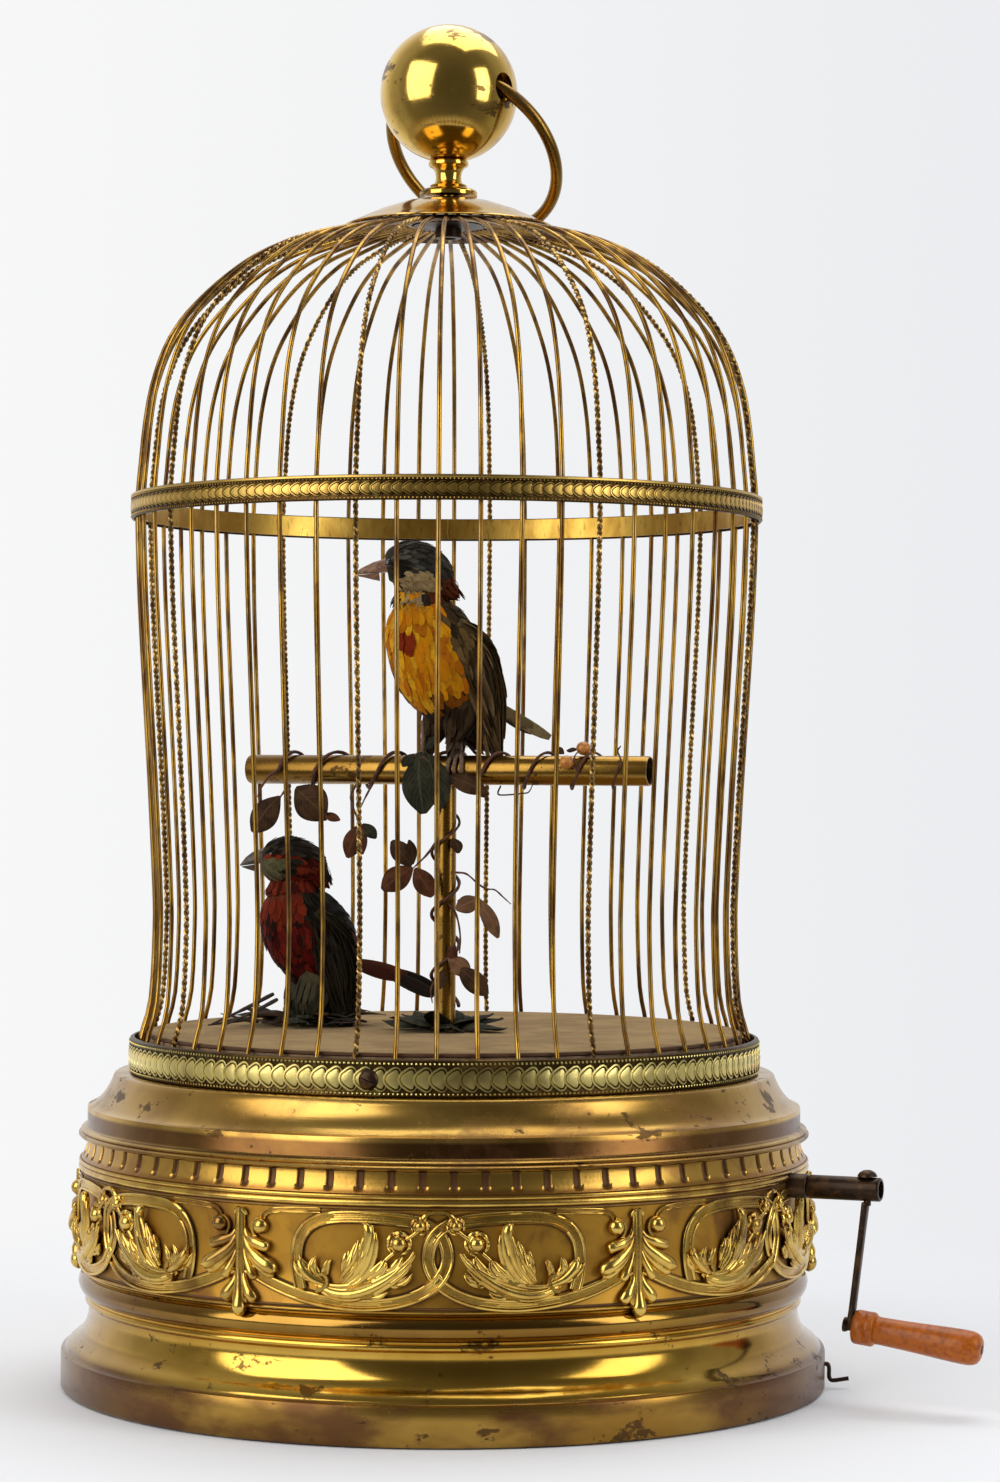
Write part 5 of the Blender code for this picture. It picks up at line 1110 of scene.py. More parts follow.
def build_cage():
    """Eight panels of wires, the two bands and their strips."""
    pitch = 360.0 / WIRES
    edges = [*TWISTED, WIRES]
    for number, (first, last) in enumerate(zip(edges, edges[1:]), 1):
        plain_wires = []
        twisted = []
        for index in range(first, last):
            azimuth = FIRST_AZIMUTH + pitch * index
            if index in TWISTED:
                twisted += twisted_wire(azimuth)
            else:
                plain_wires.append((wire_line(azimuth, CHANCE.uniform(-0.25, 0.25)),
                                    WIRE_R * MM))
        shape = strands(plain_wires, 2)
        plain_faces = len(shape.faces)
        merge(shape, strands(twisted, 1))
        for face in shape.faces[plain_faces:]:
            face.material_index = 1
        start = FIRST_AZIMUTH + pitch * (first - 0.5)
        span = pitch * (last - first)
        for low_r, high_r, low, high, trim in ((128.05, 129.55, 131.7, 136.5, 0.08),
                                               (15.7, 18.7, 489.9, 491.1, 0.8)):
            corner = bmesh.new()
            rim = [corner.verts.new(around(r, start + trim, z))
                   for r, z in ((low_r, low), (high_r, low), (high_r, high), (low_r, high))]
            face = corner.faces.new(rim)
            bmesh.ops.spin(corner, geom=[face, *face.edges, *face.verts], cent=(0, 0, 0),
                           axis=(0, 0, 1), angle=math.radians(span - 2 * trim),
                           steps=max(4, int(span / 3)), use_merge=False)
            bmesh.ops.remove_doubles(corner, verts=corner.verts[:], dist=0.000001)
            merge(shape, corner)
        piece(shape, f"cage_wires_{number}", [PLAIN_WIRE, TWIST_WIRE],
              replaces=f"cage_panel_{number}", sharp=50)

    band = stamped_strip(
        ((132.4, 363.9), (133.3, 363.9), (133.5, 364.4), (133.3, 365.0), (BAND_SCALES_R, 366.0),
         (BAND_SCALES_R, 371.6), (133.4, 372.4), (133.8, 373.0), (133.7, 373.7),
         (133.1, 374.0), (132.4, 373.9)),
        (5.8, 5.8, -0.10, 0.30), BAND_SCALES_R, 368.6, 198,
        ((520, 133.35, 364.8, 0.50), (520, 133.35, 372.2, 0.50)))
    piece(band, "ornate_band", BAND_BRASS, replaces="mid_band", sharp=40)
    plain_band = turned(((128.5, 364.5), (129.4, 364.5), (129.4, 373.3), (128.5, 373.3)), 200)
    for azimuth in (174.0, 180.6):
        lap = block((0.5, 0.5, 8.6), (128.4, 0.0, 368.9))
        merge(plain_band, placed(lap, facing(azimuth)))
    piece(plain_band, "inner_wire_band", BAND_INNER, replaces="inner_band")


# Crown, ball and carrying ring

def build_crown():
    """Domed plate over the wires' hub, its nut, the stem, the ball and the ring."""
    dome = turned(((3.4, 502.0), (10.0, 501.2), (20.0, 499.2), (30.0, 495.8), (38.0, 492.2),
                   (43.0, 489.8), (44.2, 489.4), (44.6, 489.0), (44.4, 488.5), (43.6, 488.4),
                   (42.6, 488.8), (37.6, 491.2), (30.0, 494.8), (20.0, 498.2), (10.0, 500.2),
                   (3.4, 501.0)), 128)
    plate = piece(dome, "crown_dome", [CASE_BRASS, CROWN_UNDER], replaces="crown_plate")
    # Downward faces inside the rim take the underside finish: painted shade on the dome's
    # underside.
    for polygon in plate.data.polygons:
        centre = polygon.center
        radius = math.hypot(centre.x, centre.y) / MM
        polygon.material_index = 1 if polygon.normal.z < -0.2 and radius < 43.2 else 0
    nut = turned(((3.3, 500.2), (7.0, 500.0), (7.0, 491.6), (15.0, 491.5), (15.0, 489.5),
                  (7.6, 489.2), (5.6, 488.6), (5.6, 484.6), (3.3, 484.4)), 48)
    piece(nut, "hub_nut", BRONZED, replaces="crown_nut")
    stem = turned(((0.0, 522.9), (3.6, 522.9), (3.6, 518.0), (6.8, 517.7), (8.2, 517.3),
                   (8.5, 516.6), (8.5, 515.6), (8.0, 515.0), (6.9, 514.5), (6.4, 513.9),
                   (5.7, 512.6), (5.4, 510.8), (5.5, 508.9), (6.1, 507.8), (7.4, 507.3),
                   (7.9, 506.8), (7.5, 506.2), (7.9, 505.7), (10.4, 505.3), (11.8, 504.7),
                   (12.3, 503.9), (12.2, 503.1), (12.3, 502.6), (12.2, 502.3), (3.0, 502.3),
                   (3.0, 486.0), (0.0, 486.0)), 64, closed=False)
    piece(stem, "turned_stem", BALL_BRASS, replaces="finial_stem")

    arc = []
    low = math.degrees(math.asin(BALL_HOLE_R / BALL_R))
    for step in range(49):
        angle = math.radians(low + (180 - 2 * low) * step / 48)
        arc.append((BALL_R * math.sin(angle), BALL_R * math.cos(angle)))
    inner = [(r * BALL_BORE_R / BALL_R, z * BALL_BORE_R / BALL_R) for r, z in reversed(arc)]
    shell = placed(turned(arc + inner, 96), shifted(0, 0, BALL_Z) @ facing(RING_AZIMUTH)
                   @ SIDEWAYS)
    piece(shell, "hollow_ball", BALL_BRASS, replaces="finial_ball")

    hinge = around(1000.0, RING_AZIMUTH, 0.0)
    side = around(1000.0, RING_AZIMUTH + 90.0, 0.0)
    hang = math.radians(50.4)
    away = side * math.cos(hang) - Vector((0, 0, 1)) * math.sin(hang)
    off = math.sqrt(RING_R ** 2 - RING_HOLE_REACH ** 2) * MM
    centre = Vector((0, 0, BALL_Z * MM)) + away * off
    hoop = bmesh.new()
    start = centre + hinge * RING_R * MM
    bmesh.ops.create_circle(hoop, segments=14, radius=RING_WIRE_R * MM,
                            matrix=Matrix.Translation(start) @ away.to_track_quat(
                                "Z", "Y").to_matrix().to_4x4())
    bmesh.ops.spin(hoop, geom=hoop.verts[:] + hoop.edges[:], cent=centre,
                   axis=hinge.cross(away), angle=2 * math.pi, steps=110, use_merge=True)
    bmesh.ops.remove_doubles(hoop, verts=hoop.verts[:], dist=0.000001)
    piece(hoop, "carrying_hoop", PERCH_BRASS, "ring", replaces="carry_ring")


# Crank and stop lever

def build_crank():
    """Bush, hollow shaft, riveted arm, turned grip and the stop wire."""
    turn = facing(CRANK_AZIMUTH)
    lie = turn @ shifted(0, 0, CRANK_Z) @ SIDEWAYS
    bush = turned(((3.65, 146.0), (5.0, 146.0), (5.0, 160.6), (4.7, 161.2), (4.3, 161.5),
                   (3.65, 161.5)), 40)
    piece(placed(bush, lie), "bearing_bush", BRONZED, replaces="crank_bush")
    shaft = turned(((3.6, 192.0), (4.45, 192.0), (4.8, 191.6), (4.85, 191.0), (4.85, 162.4),
                    (4.6, 161.8), (3.35, 161.8), (3.35, 22.0), (0.0, 22.0), (0.0, 180.2),
                    (3.0, 180.2), (3.6, 180.8)), 48)
    rod = piece(placed(shaft, lie), "hollow_shaft", BRONZED, "crank", replaces="crank_shaft")
    upright = turn @ shifted(ARM_X, 0, CRANK_Z)
    tilt = upright @ Matrix.Rotation(math.radians(7.0), 4, "Y")
    carve(rod, drill(1.8, 20.0, 24, upright))

    bar = bmesh.new()
    bmesh.ops.create_cube(bar, size=1.0)
    bmesh.ops.scale(bar, vec=Vector((2.5, 3.6, 52.5)) * MM, verts=bar.verts[:])
    bmesh.ops.subdivide_edges(bar, edges=[e for e in bar.edges
                                          if abs((e.verts[0].co - e.verts[1].co).z) > 0.01],
                              cuts=12)
    bmesh.ops.translate(bar, vec=Vector((0, 0, -31.6)) * MM, verts=bar.verts[:])
    for vertex in bar.verts:
        low = max(0.0, min(1.0, (-vertex.co.z / MM - 48.0) / 9.0))
        top = max(0.0, min(1.0, (vertex.co.z / MM + 16.0) / 10.0))
        vertex.co.y *= 1.0 + 0.45 * low + 0.25 * top
    bmesh.ops.bevel(bar, geom=[e for e in bar.edges if e.is_manifold
                               and e.calc_face_angle() > 0.6],
                    offset=0.35 * MM, segments=2, profile=0.5, affect="EDGES", material=-1)
    placed(bar, tilt)
    pin = turned(((0.0, 55.4), (1.2, 55.3), (1.6, 54.8), (1.6, -0.8), (0.0, -0.8)), 24,
                 closed=False)
    merge(bar, placed(pin, tilt @ shifted(0, 0, -ARM_LENGTH) @ SIDEWAYS))
    washer = turned(((0.0, 1.6), (2.6, 1.4), (3.0, 0.8), (3.0, -0.2), (0.0, -0.2)), 24,
                    closed=False)
    merge(bar, placed(washer, tilt @ shifted(-2.6, 0, -ARM_LENGTH) @ SIDEWAYS))
    rivet = turned(((0.0, 7.9), (1.6, 7.7), (3.1, 6.9), (3.9, 5.8), (4.1, 5.2), (1.5, 5.1),
                    (1.5, -6.6), (0.0, -6.6)), 32, closed=False)
    merge(bar, placed(rivet, upright))
    piece(bar, "riveted_arm", BRONZED, "crank", replaces="crank_arm")

    grip = turned(((1.9, 53.5), (2.8, 53.5), (4.4, 53.1), (5.7, 52.2), (6.5, 50.8), (6.9, 48.8),
                   (7.0, 46.2), (6.9, 42.5), (6.6, 36.0), (6.2, 28.0), (5.9, 21.0), (5.7, 14.5),
                   (5.6, 10.6), (5.8, 9.8), (5.5, 9.2), (6.5, 8.7), (7.0, 8.0), (7.0, 5.6),
                   (6.8, 5.2), (7.0, 4.8), (7.0, 1.2), (6.6, 0.4), (5.8, 0.0), (1.9, 0.0)), 56)
    seat = tilt @ shifted(1.6, 0, -ARM_LENGTH) @ SIDEWAYS
    wood = varnished_wood(seat.to_3x3() @ Vector((0, 0, 1)))
    piece(placed(grip, seat), "turned_grip", wood, "grip", replaces="crank_grip")

    out = FOOT_R + 0.3 + STOP_WIRE_R + 0.6
    path = smooth([(144.0, 0, 18.0), (144.0, 0, 12.4), (144.6, 0, 10.6), (146.2, 0, 10.0),
                   (out - 2.0, 0, 10.0), (out - 0.5, 0, 9.5), (out, 0, 8.2), (out, 0, 5.0),
                   (out + 0.5, 0, 3.6), (out + 2.0, 0, 3.1), (out + 8.2, 0, 4.1)], 4)
    lever = strands([([p * MM for p in path], STOP_WIRE_R * MM)], 3)
    boss = turned(((0.0, 13.0), (1.5, 12.8), (1.6, 8.4), (0.0, 8.4)), 24, closed=False)
    merge(lever, placed(boss, shifted(144.0, 0, 0)))
    piece(placed(lever, facing(STOP_AZIMUTH)), "stop_wire", BRONZED, "stop",
          replaces="stop_lever")


# Floor and movement

def build_floor():
    """Felt with its darker edge, and the finishes of the boards and the works inside."""
    disc = turned(((0.0, FELT_Z), (60.0, FELT_Z), (100.0, FELT_Z), (120.0, FELT_Z),
                   (125.2, 147.95), (125.9, 147.7), (126.2, 147.2), (126.2, 146.6),
                   (0.0, 146.6)), 160, closed=False)
    cloth = piece(disc, "floor_cloth", FELT, replaces="floor_felt")
    for x, y in ((0.0, 0.0), LOWER_BIRD_AT):
        carve(cloth, drill(2.0, 10.0, 16, shifted(x, y, FELT_Z - 1.0)))
    finishes = {"bottom_board": BOARD, "floor_board": BOARD, "bellows_board": BOARD,
                "bellows_top": BOARD, "bellows_leather": LEATHER}
    steel = ("bed_plate", "mainspring", "cam_shaft", "governor_fly", "whistle_piston",
             "upper_lever", "lower_lever", "upper_push_wire", "lower_push_wire")
    brass_works = ("outer_plate", "inner_plate", "spring_barrel", "song_cams", "whistle_tube",
                   "lever_bracket")
    finishes.update({name: STEEL for name in steel})
    finishes.update({name: MOVEMENT_BRASS for name in brass_works})
    for name, finish in finishes.items():
        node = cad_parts[name]
        node.data.materials.clear()
        node.data.materials.append(finish)


# Feathers and leaves

def toned(colour, spread=0.18):
    """The same colour a little lighter or darker."""
    level = CHANCE.uniform(1.0 - spread, 1.0 + spread)
    return tuple(channel * level for channel in colour)


def jitter(amount):
    """A small step in a direction of chance."""
    return Vector([CHANCE.uniform(-amount, amount) for _ in range(3)])


class Coat:
    """Feathers or leaves gathered in one bmesh, each with its own map and colour."""

    def __init__(self):
        self.shape = bmesh.new()
        self.chart = self.shape.loops.layers.uv.new("blade")
        self.tint = self.shape.verts.layers.float_color.new("plumage")

    def blade(self, root, tip, up, width, colour=(0.5, 0.5, 0.5), lean=1.5, blunt=0.5,
              dome=0.06, arch=0.06, cells=(4, 2), wave=0.0, twist=0.0):
        """One blade from root to tip in metres, its face towards up."""
        along = Vector(tip) - Vector(root)
        side = Vector(up).cross(along).normalized()
        face = along.cross(side).normalized()
        length = along.length
        made = bmesh.ops.create_grid(self.shape, x_segments=cells[0], y_segments=cells[1],
                                     size=0.5)["verts"]
        for vertex in made:
            share, across = vertex.co.x + 0.5, vertex.co.y * 2.0
            held = min(0.985, max(share, 0.015))
            swell = 0.05 + 0.95 * math.sin(math.pi * held ** lean) ** blunt
            rise = (4.0 * arch * length * share * (1.0 - share)
                    - dome * width * across * across * swell
                    + twist * width * across * share
                    + wave * width * math.sin(5.0 * share + 1.3 * across))
            vertex.co = (Vector(root) + along * share + side * (across * width * 0.5 * swell)
                         + face * rise)
            vertex[self.tint] = (*colour, 1.0)
            for loop in vertex.link_loops:
                loop[self.chart].uv = (across * 0.5 + 0.5, share)

    def close(self, thickness=0.12):
        """Give every blade its thickness."""
        bmesh.ops.solidify(self.shape, geom=self.shape.faces[:], thickness=thickness * MM)
        return self.shape

    def add(self, other, colour_of):
        """Take in a closed form, coloured point by point."""
        tint = other.verts.layers.float_color.new("plumage")
        other.loops.layers.uv.new("blade")
        for vertex in other.verts:
            vertex[tint] = (*colour_of(vertex.co), 1.0)
        merge(self.shape, other)


class Trunk:
    """The rounded form under the feathers, through stations of x, z and radius."""

    def __init__(self, stations, flat, matrix, y=0.0):
        self.line = smooth(stations, 6)
        self.flat = flat
        self.matrix = matrix
        self.y = y
        self.length = sum((b.xy - a.xy).length for a, b in zip(self.line, self.line[1:]))

    def at(self, share, turn_deg, lift=0.0):
        """A point on the surface, in the bird's own millimetres, or past its lower end."""
        run = min(max(share, 0.0), 1.0) * (len(self.line) - 1)
        low = min(int(run), len(self.line) - 2)
        place = self.line[low].lerp(self.line[low + 1], run - low)
        ahead = (self.line[low + 1] - self.line[low]).xy.normalized()
        front = Vector((ahead.y, 0.0, -ahead.x))
        turn = math.radians(turn_deg)
        out = front * math.cos(turn) + Vector((0.0, self.flat * math.sin(turn), 0.0))
        past = min(share, 0.0) * self.length
        return (Vector((place.x + ahead.x * past, self.y, place.y + ahead.y * past))
                + out * max(0.5, place.z + lift + past * 0.3))

    def hull(self):
        """The closed form itself in metres."""
        path = [Vector((p.x, 0.0, p.y)) * MM for p in self.line]
        shape = strands([(path, [p.z * MM for p in self.line])], 4)
        for vertex in shape.verts:
            vertex.co.y = vertex.co.y * self.flat + self.y * MM
        return shape

    def turn_of(self, place):
        """The angle round the form of a point in millimetres."""
        near = min(self.line, key=lambda p: (p.x - place.x) ** 2 + (p.y - place.z) ** 2)
        return math.degrees(math.atan2((place.y - self.y) / self.flat, place.x - near.x))

    def cover(self, coat, rows, pitch, length, width, colour_of, span=(0.04, 0.96),
              turns=(-180.0, 180.0), lift=0.7, shaggy=0.35, **look):
        """Lay feathers over the form in rows, like shingles."""
        turning = self.matrix.to_3x3()
        for row in range(rows):
            share = span[1] + (span[0] - span[1]) * (row + 0.5) / rows
            radius = self.line[round(share * (len(self.line) - 1))].z
            reach = 2 * math.pi * radius * (turns[1] - turns[0]) / 360.0
            count = max(3, round(reach / pitch))
            for step in range(count):
                offset = 0.5 * (row % 2) + CHANCE.uniform(-0.25, 0.25)
                turn = turns[0] + (turns[1] - turns[0]) * (step + offset) / count
                here = self.at(share, turn, -0.3)
                colour = colour_of(turn, here)
                run = length * CHANCE.uniform(0.8, 1.2)
                there = self.at(share - run / self.length, turn, lift) + jitter(shaggy)
                up = turning @ (self.at(share, turn, 1.0) - here)
                coat.blade(self.matrix @ (here * MM), self.matrix @ (there * MM), up,
                           width * MM * CHANCE.uniform(0.85, 1.15), colour, **look)


YELLOWS = ((0.72, 0.290, 0.003), (0.64, 0.220, 0.002), (0.78, 0.390, 0.012), (0.50, 0.145, 0.002))
OLIVES = ((0.068, 0.037, 0.012), (0.028, 0.016, 0.006), (0.150, 0.090, 0.032),
          (0.046, 0.026, 0.009))
CRIMSONS = ((0.100, 0.004, 0.003), (0.155, 0.008, 0.004), (0.036, 0.002, 0.002),
            (0.070, 0.003, 0.002))
BLACKS = ((0.0065, 0.005, 0.004), (0.015, 0.013, 0.009), (0.004, 0.003, 0.002))
SLATES = ((0.030, 0.030, 0.027), (0.015, 0.014, 0.012), (0.088, 0.085, 0.072),
          (0.040, 0.035, 0.028))


def folded(turn):
    """An angle brought between -180 and 180."""
    return (turn + 180.0) % 360.0 - 180.0


def upper_body_colour(turn, place):
    """Yellow breast with one rusty spot, dark belly, olive back."""
    side = folded(turn)
    if ((side - 27.0) / 11.0) ** 2 + ((place.z - 54.0) / 4.6) ** 2 < 1.0:
        return toned((0.22, 0.022, 0.003))
    low = 22.0 + CHANCE.uniform(-2.5, 2.5) + (5.0 if side > 30.0 else 0.0)
    if place.z < low and abs(side) < 125.0:
        return toned(CHANCE.choice(((0.024, 0.013, 0.006), (0.048, 0.026, 0.010))))
    if abs(side) < 76.0 + (place.z - 33.0) * 0.6 + CHANCE.uniform(-4.0, 4.0):
        if side < -14.0 and place.z < 44.0:
            return toned(CHANCE.choice(((0.15, 0.082, 0.010), (0.070, 0.043, 0.012))))
        if place.z < low + 5.0:
            return toned((0.27, 0.078, 0.003), 0.3)
        return toned(CHANCE.choice(YELLOWS), 0.14)
    return toned(CHANCE.choice(OLIVES), 0.25)


def upper_wing_colour(turn, place):
    """Olive brown with pale streaks."""
    return toned(CHANCE.choice((*OLIVES, (0.190, 0.125, 0.055))), 0.25)


def upper_head_colour(turn, place):
    """Slate crown, ivory cheek, black bib, rusty nape."""
    if ((place.x - 2.6) / 7.4) ** 2 + ((place.z - 6.6) / 5.6) ** 2 < 1.0:
        return toned((0.40, 0.28, 0.13), 0.2)
    if place.x < -6.5 and place.z < 11.5:
        return toned((0.12, 0.024, 0.008), 0.3)
    if place.x > 12.0 and place.z < 7.0:
        return toned((0.12, 0.050, 0.022), 0.3)
    if place.x > 7.5 and place.z < 15.0:
        return toned((0.010, 0.007, 0.005), 0.3)
    if place.z > 11.0:
        return toned(CHANCE.choice(SLATES), 0.25)
    return toned((0.030, 0.020, 0.013), 0.35)


def lower_body_colour(turn, place):
    """Crimson breast, orange-red shoulders, black back, grey-green thighs."""
    side = folded(turn)
    if place.z < 17.0 + CHANCE.uniform(-3.0, 3.0) and abs(side) < 130.0:
        return toned(CHANCE.choice(((0.040, 0.036, 0.019), (0.022, 0.020, 0.012))), 0.25)
    if abs(side) > 135.0 and 22.0 < place.z < 47.0:
        return toned((0.105, 0.018, 0.008), 0.3)
    if abs(side) < 92.0 + CHANCE.uniform(-6.0, 6.0):
        if place.z > 52.0:
            return toned((0.165, 0.016, 0.005), 0.3)
        return toned(CHANCE.choice((*CRIMSONS, (0.012, 0.002, 0.002))), 0.2)
    return toned(CHANCE.choice(BLACKS), 0.3)


def lower_wing_colour(turn, place):
    """Near black, with a trace of grey green."""
    return toned(CHANCE.choice((*BLACKS, (0.018, 0.018, 0.012))), 0.3)


def lower_head_colour(turn, place):
    """Dark crown and nape, olive patches with a black stripe, red cheeks and throat."""
    if place.z > 13.3 or place.x < -10.5:
        return toned(CHANCE.choice(((0.018, 0.013, 0.009), (0.052, 0.040, 0.028),
                                    (0.008, 0.006, 0.005))), 0.2)
    if 5.0 < place.z < 11.8 and place.x > 1.5:
        if 4.6 < place.x < 7.2:
            return toned((0.008, 0.006, 0.005), 0.2)
        return toned((0.115, 0.108, 0.052) if place.x > 7.0 else (0.020, 0.018, 0.010), 0.25)
    return toned(CHANCE.choice(((0.135, 0.009, 0.004), (0.20, 0.024, 0.008),
                                (0.060, 0.005, 0.003))), 0.2)


def upper_thigh_colour(turn, place):
    """Dark brown, dusty lower down."""
    if place.z < 9.0:
        return toned((0.085, 0.055, 0.034), 0.3)
    return toned(CHANCE.choice(((0.024, 0.013, 0.006), (0.055, 0.032, 0.014))), 0.25)


def lower_thigh_colour(turn, place):
    """Grey green."""
    return toned(CHANCE.choice(((0.050, 0.046, 0.024), (0.026, 0.024, 0.014),
                                (0.075, 0.066, 0.036))), 0.25)


def feathered(trunk, colour_of, layers):
    """A coat of one form with its layers of feathers, all closed."""
    coat = Coat()
    for layer in layers:
        trunk.cover(coat, colour_of=colour_of, **layer)
    coat.close()
    under = trunk.hull()
    body = Coat()
    # The form under the feathers takes their colour at 0.6: painted shade in the gaps between the
    # feathers.
    body.add(under, lambda co: tuple(c * 0.6 for c in colour_of(trunk.turn_of(co / MM),
                                                               co / MM)))
    merge(coat.shape, placed(body.shape, trunk.matrix))
    return coat.shape


def neck_feathers(matrix, centre, root_r, tip_r, tip_z, colour_of):
    """Two rings of feathers round the neck, closed."""
    coat = Coat()
    turning = matrix.to_3x3()
    per_ring = 32
    for index in range(2 * per_ring):
        turn = 2 * math.pi * index / per_ring + CHANCE.uniform(-0.08, 0.08)
        out = Vector((math.cos(turn), 0.86 * math.sin(turn), 0.0))
        base = Vector((centre[0], 0.0, centre[1]))
        reach = tip_z * CHANCE.uniform(0.75, 1.1)
        root = base + out * (root_r - 0.8 * (index // per_ring))
        tip = base + out * tip_r + Vector((0, 0, reach)) + jitter(0.4)
        coat.blade(matrix @ (root * MM), matrix @ (tip * MM), turning @ out, 3.2 * MM,
                   colour_of(math.degrees(turn), root + out * 3.0), lean=1.4, blunt=0.5,
                   cells=(3, 2))
    return coat.close()


def mandible(path, radii, line, upper):
    """Half a beak: a bent horn, flat where the mouth closes."""
    shape = strands([([Vector(p) * MM for p in path], [r * MM for r in radii])], 6)
    for vertex in shape.verts:
        vertex.co.y *= 0.80
        mouth = line[1] * MM + (vertex.co.x - line[0] * MM) * line[2]
        vertex.co.z = max(vertex.co.z, mouth) if upper else min(vertex.co.z, mouth)
    return shape


def build_bird(prefix, stand, head_place, look):
    """Body, wings, head, beak and tail of one bird."""
    trunk = Trunk(look["body"], look["body_flat"], stand)
    shape = feathered(trunk, look["body_colour"], (
        dict(rows=18, pitch=2.7, length=9.5, width=3.9, lean=1.7, blunt=0.42),
        dict(rows=3, pitch=2.4, length=11.0, width=2.2, span=(0.0, 0.16), lift=1.2,
             shaggy=1.6, lean=1.2, blunt=0.5),
    ))
    for side in (1, -1):
        wing = Trunk(look["wing"], 0.42, stand, side * look["wing_y"])
        outside = (-30.0, 210.0) if side > 0 else (-210.0, 30.0)
        merge(shape, feathered(wing, look["wing_colour"], (
            dict(rows=6, pitch=2.8, length=8.5, width=3.8, span=(0.68, 1.0), turns=outside,
                 lean=1.5, blunt=0.42),
            dict(rows=4, pitch=3.0, length=19.0, width=4.2, span=(0.44, 0.70), turns=outside,
                 lift=1.0, shaggy=0.6, lean=1.25, blunt=0.38, cells=(8, 2), arch=0.03),
            dict(rows=4, pitch=3.0, length=24.0, width=4.2, span=(0.16, 0.50), turns=outside,
                 lift=1.6, shaggy=1.7, lean=1.15, blunt=0.36, cells=(8, 2), arch=0.02),
        )))
    for side in (1, -1):
        thigh = Trunk(look["thigh"], 0.85, stand, side * 8.6)
        merge(shape, feathered(thigh, look["thigh_colour"], (
            dict(rows=6, pitch=2.3, length=8.0, width=2.6, lift=1.0, shaggy=1.0, lean=1.4,
                 blunt=0.45),)))
    merge(shape, neck_feathers(stand, look["neck"], 11.0, 9.6, 6.5, look["body_colour"]))
    piece(shape, f"{prefix}_plumage", PLUMAGE, replaces=f"{prefix}_bird_body")

    crown = Trunk(look["head"], look["head_flat"], head_place)
    head = feathered(crown, look["head_colour"], (
        dict(rows=12, pitch=1.9, length=5.2, width=2.3, lift=0.5, shaggy=0.35, lean=1.6,
             blunt=0.45, cells=(3, 2)),
        dict(rows=2, pitch=1.9, length=6.5, width=1.9, span=(0.0, 0.14), lift=1.0,
             shaggy=1.1, lean=1.3, blunt=0.5, cells=(3, 2)),
    ))
    merge(head, neck_feathers(head_place, (0.0, 2.5), 9.0, 12.2, -6.5, look["head_colour"]))
    piece(head, f"{prefix}_head_plumage", PLUMAGE, f"{prefix}_head",
          replaces=f"{prefix}_bird_head")
    eyes = bmesh.new()
    x, y, z, size = look["eye"]
    for side in (-1, 1):
        merge(eyes, ball(size, (x, side * y, z), 3, (1.0, 0.62, 1.0)))
    piece(placed(eyes, head_place), f"{prefix}_eyes", EYE, f"{prefix}_head")
    for upper, body in ((True, "head"), (False, "jaw")):
        horn = mandible(*look["bill" if upper else "under_bill"], upper)
        piece(placed(horn, head_place), f"{prefix}_{body}_horn", look["horn"],
              f"{prefix}_{body}", replaces=None if upper else f"{prefix}_bird_beak")

    tail = Coat()
    turning = stand.to_3x3()
    for root, tip, width, colour in look["tail"]:
        tail.blade(stand @ (Vector(root) * MM), stand @ (Vector(tip) * MM),
                   turning @ Vector((0.2, 1.0, 0.5)), width * MM, colour, lean=1.25,
                   blunt=0.40, cells=(10, 2), arch=-0.02, twist=0.12)
    piece(tail.close(0.3), f"{prefix}_tail_feathers", PLUMAGE, f"{prefix}_tail",
          replaces=f"{prefix}_bird_tail")


def frame_at(place, yaw):
    """A frame from its place in millimetres and its turn."""
    return shifted(*place) @ Matrix.Rotation(math.radians(yaw), 4, "Z")


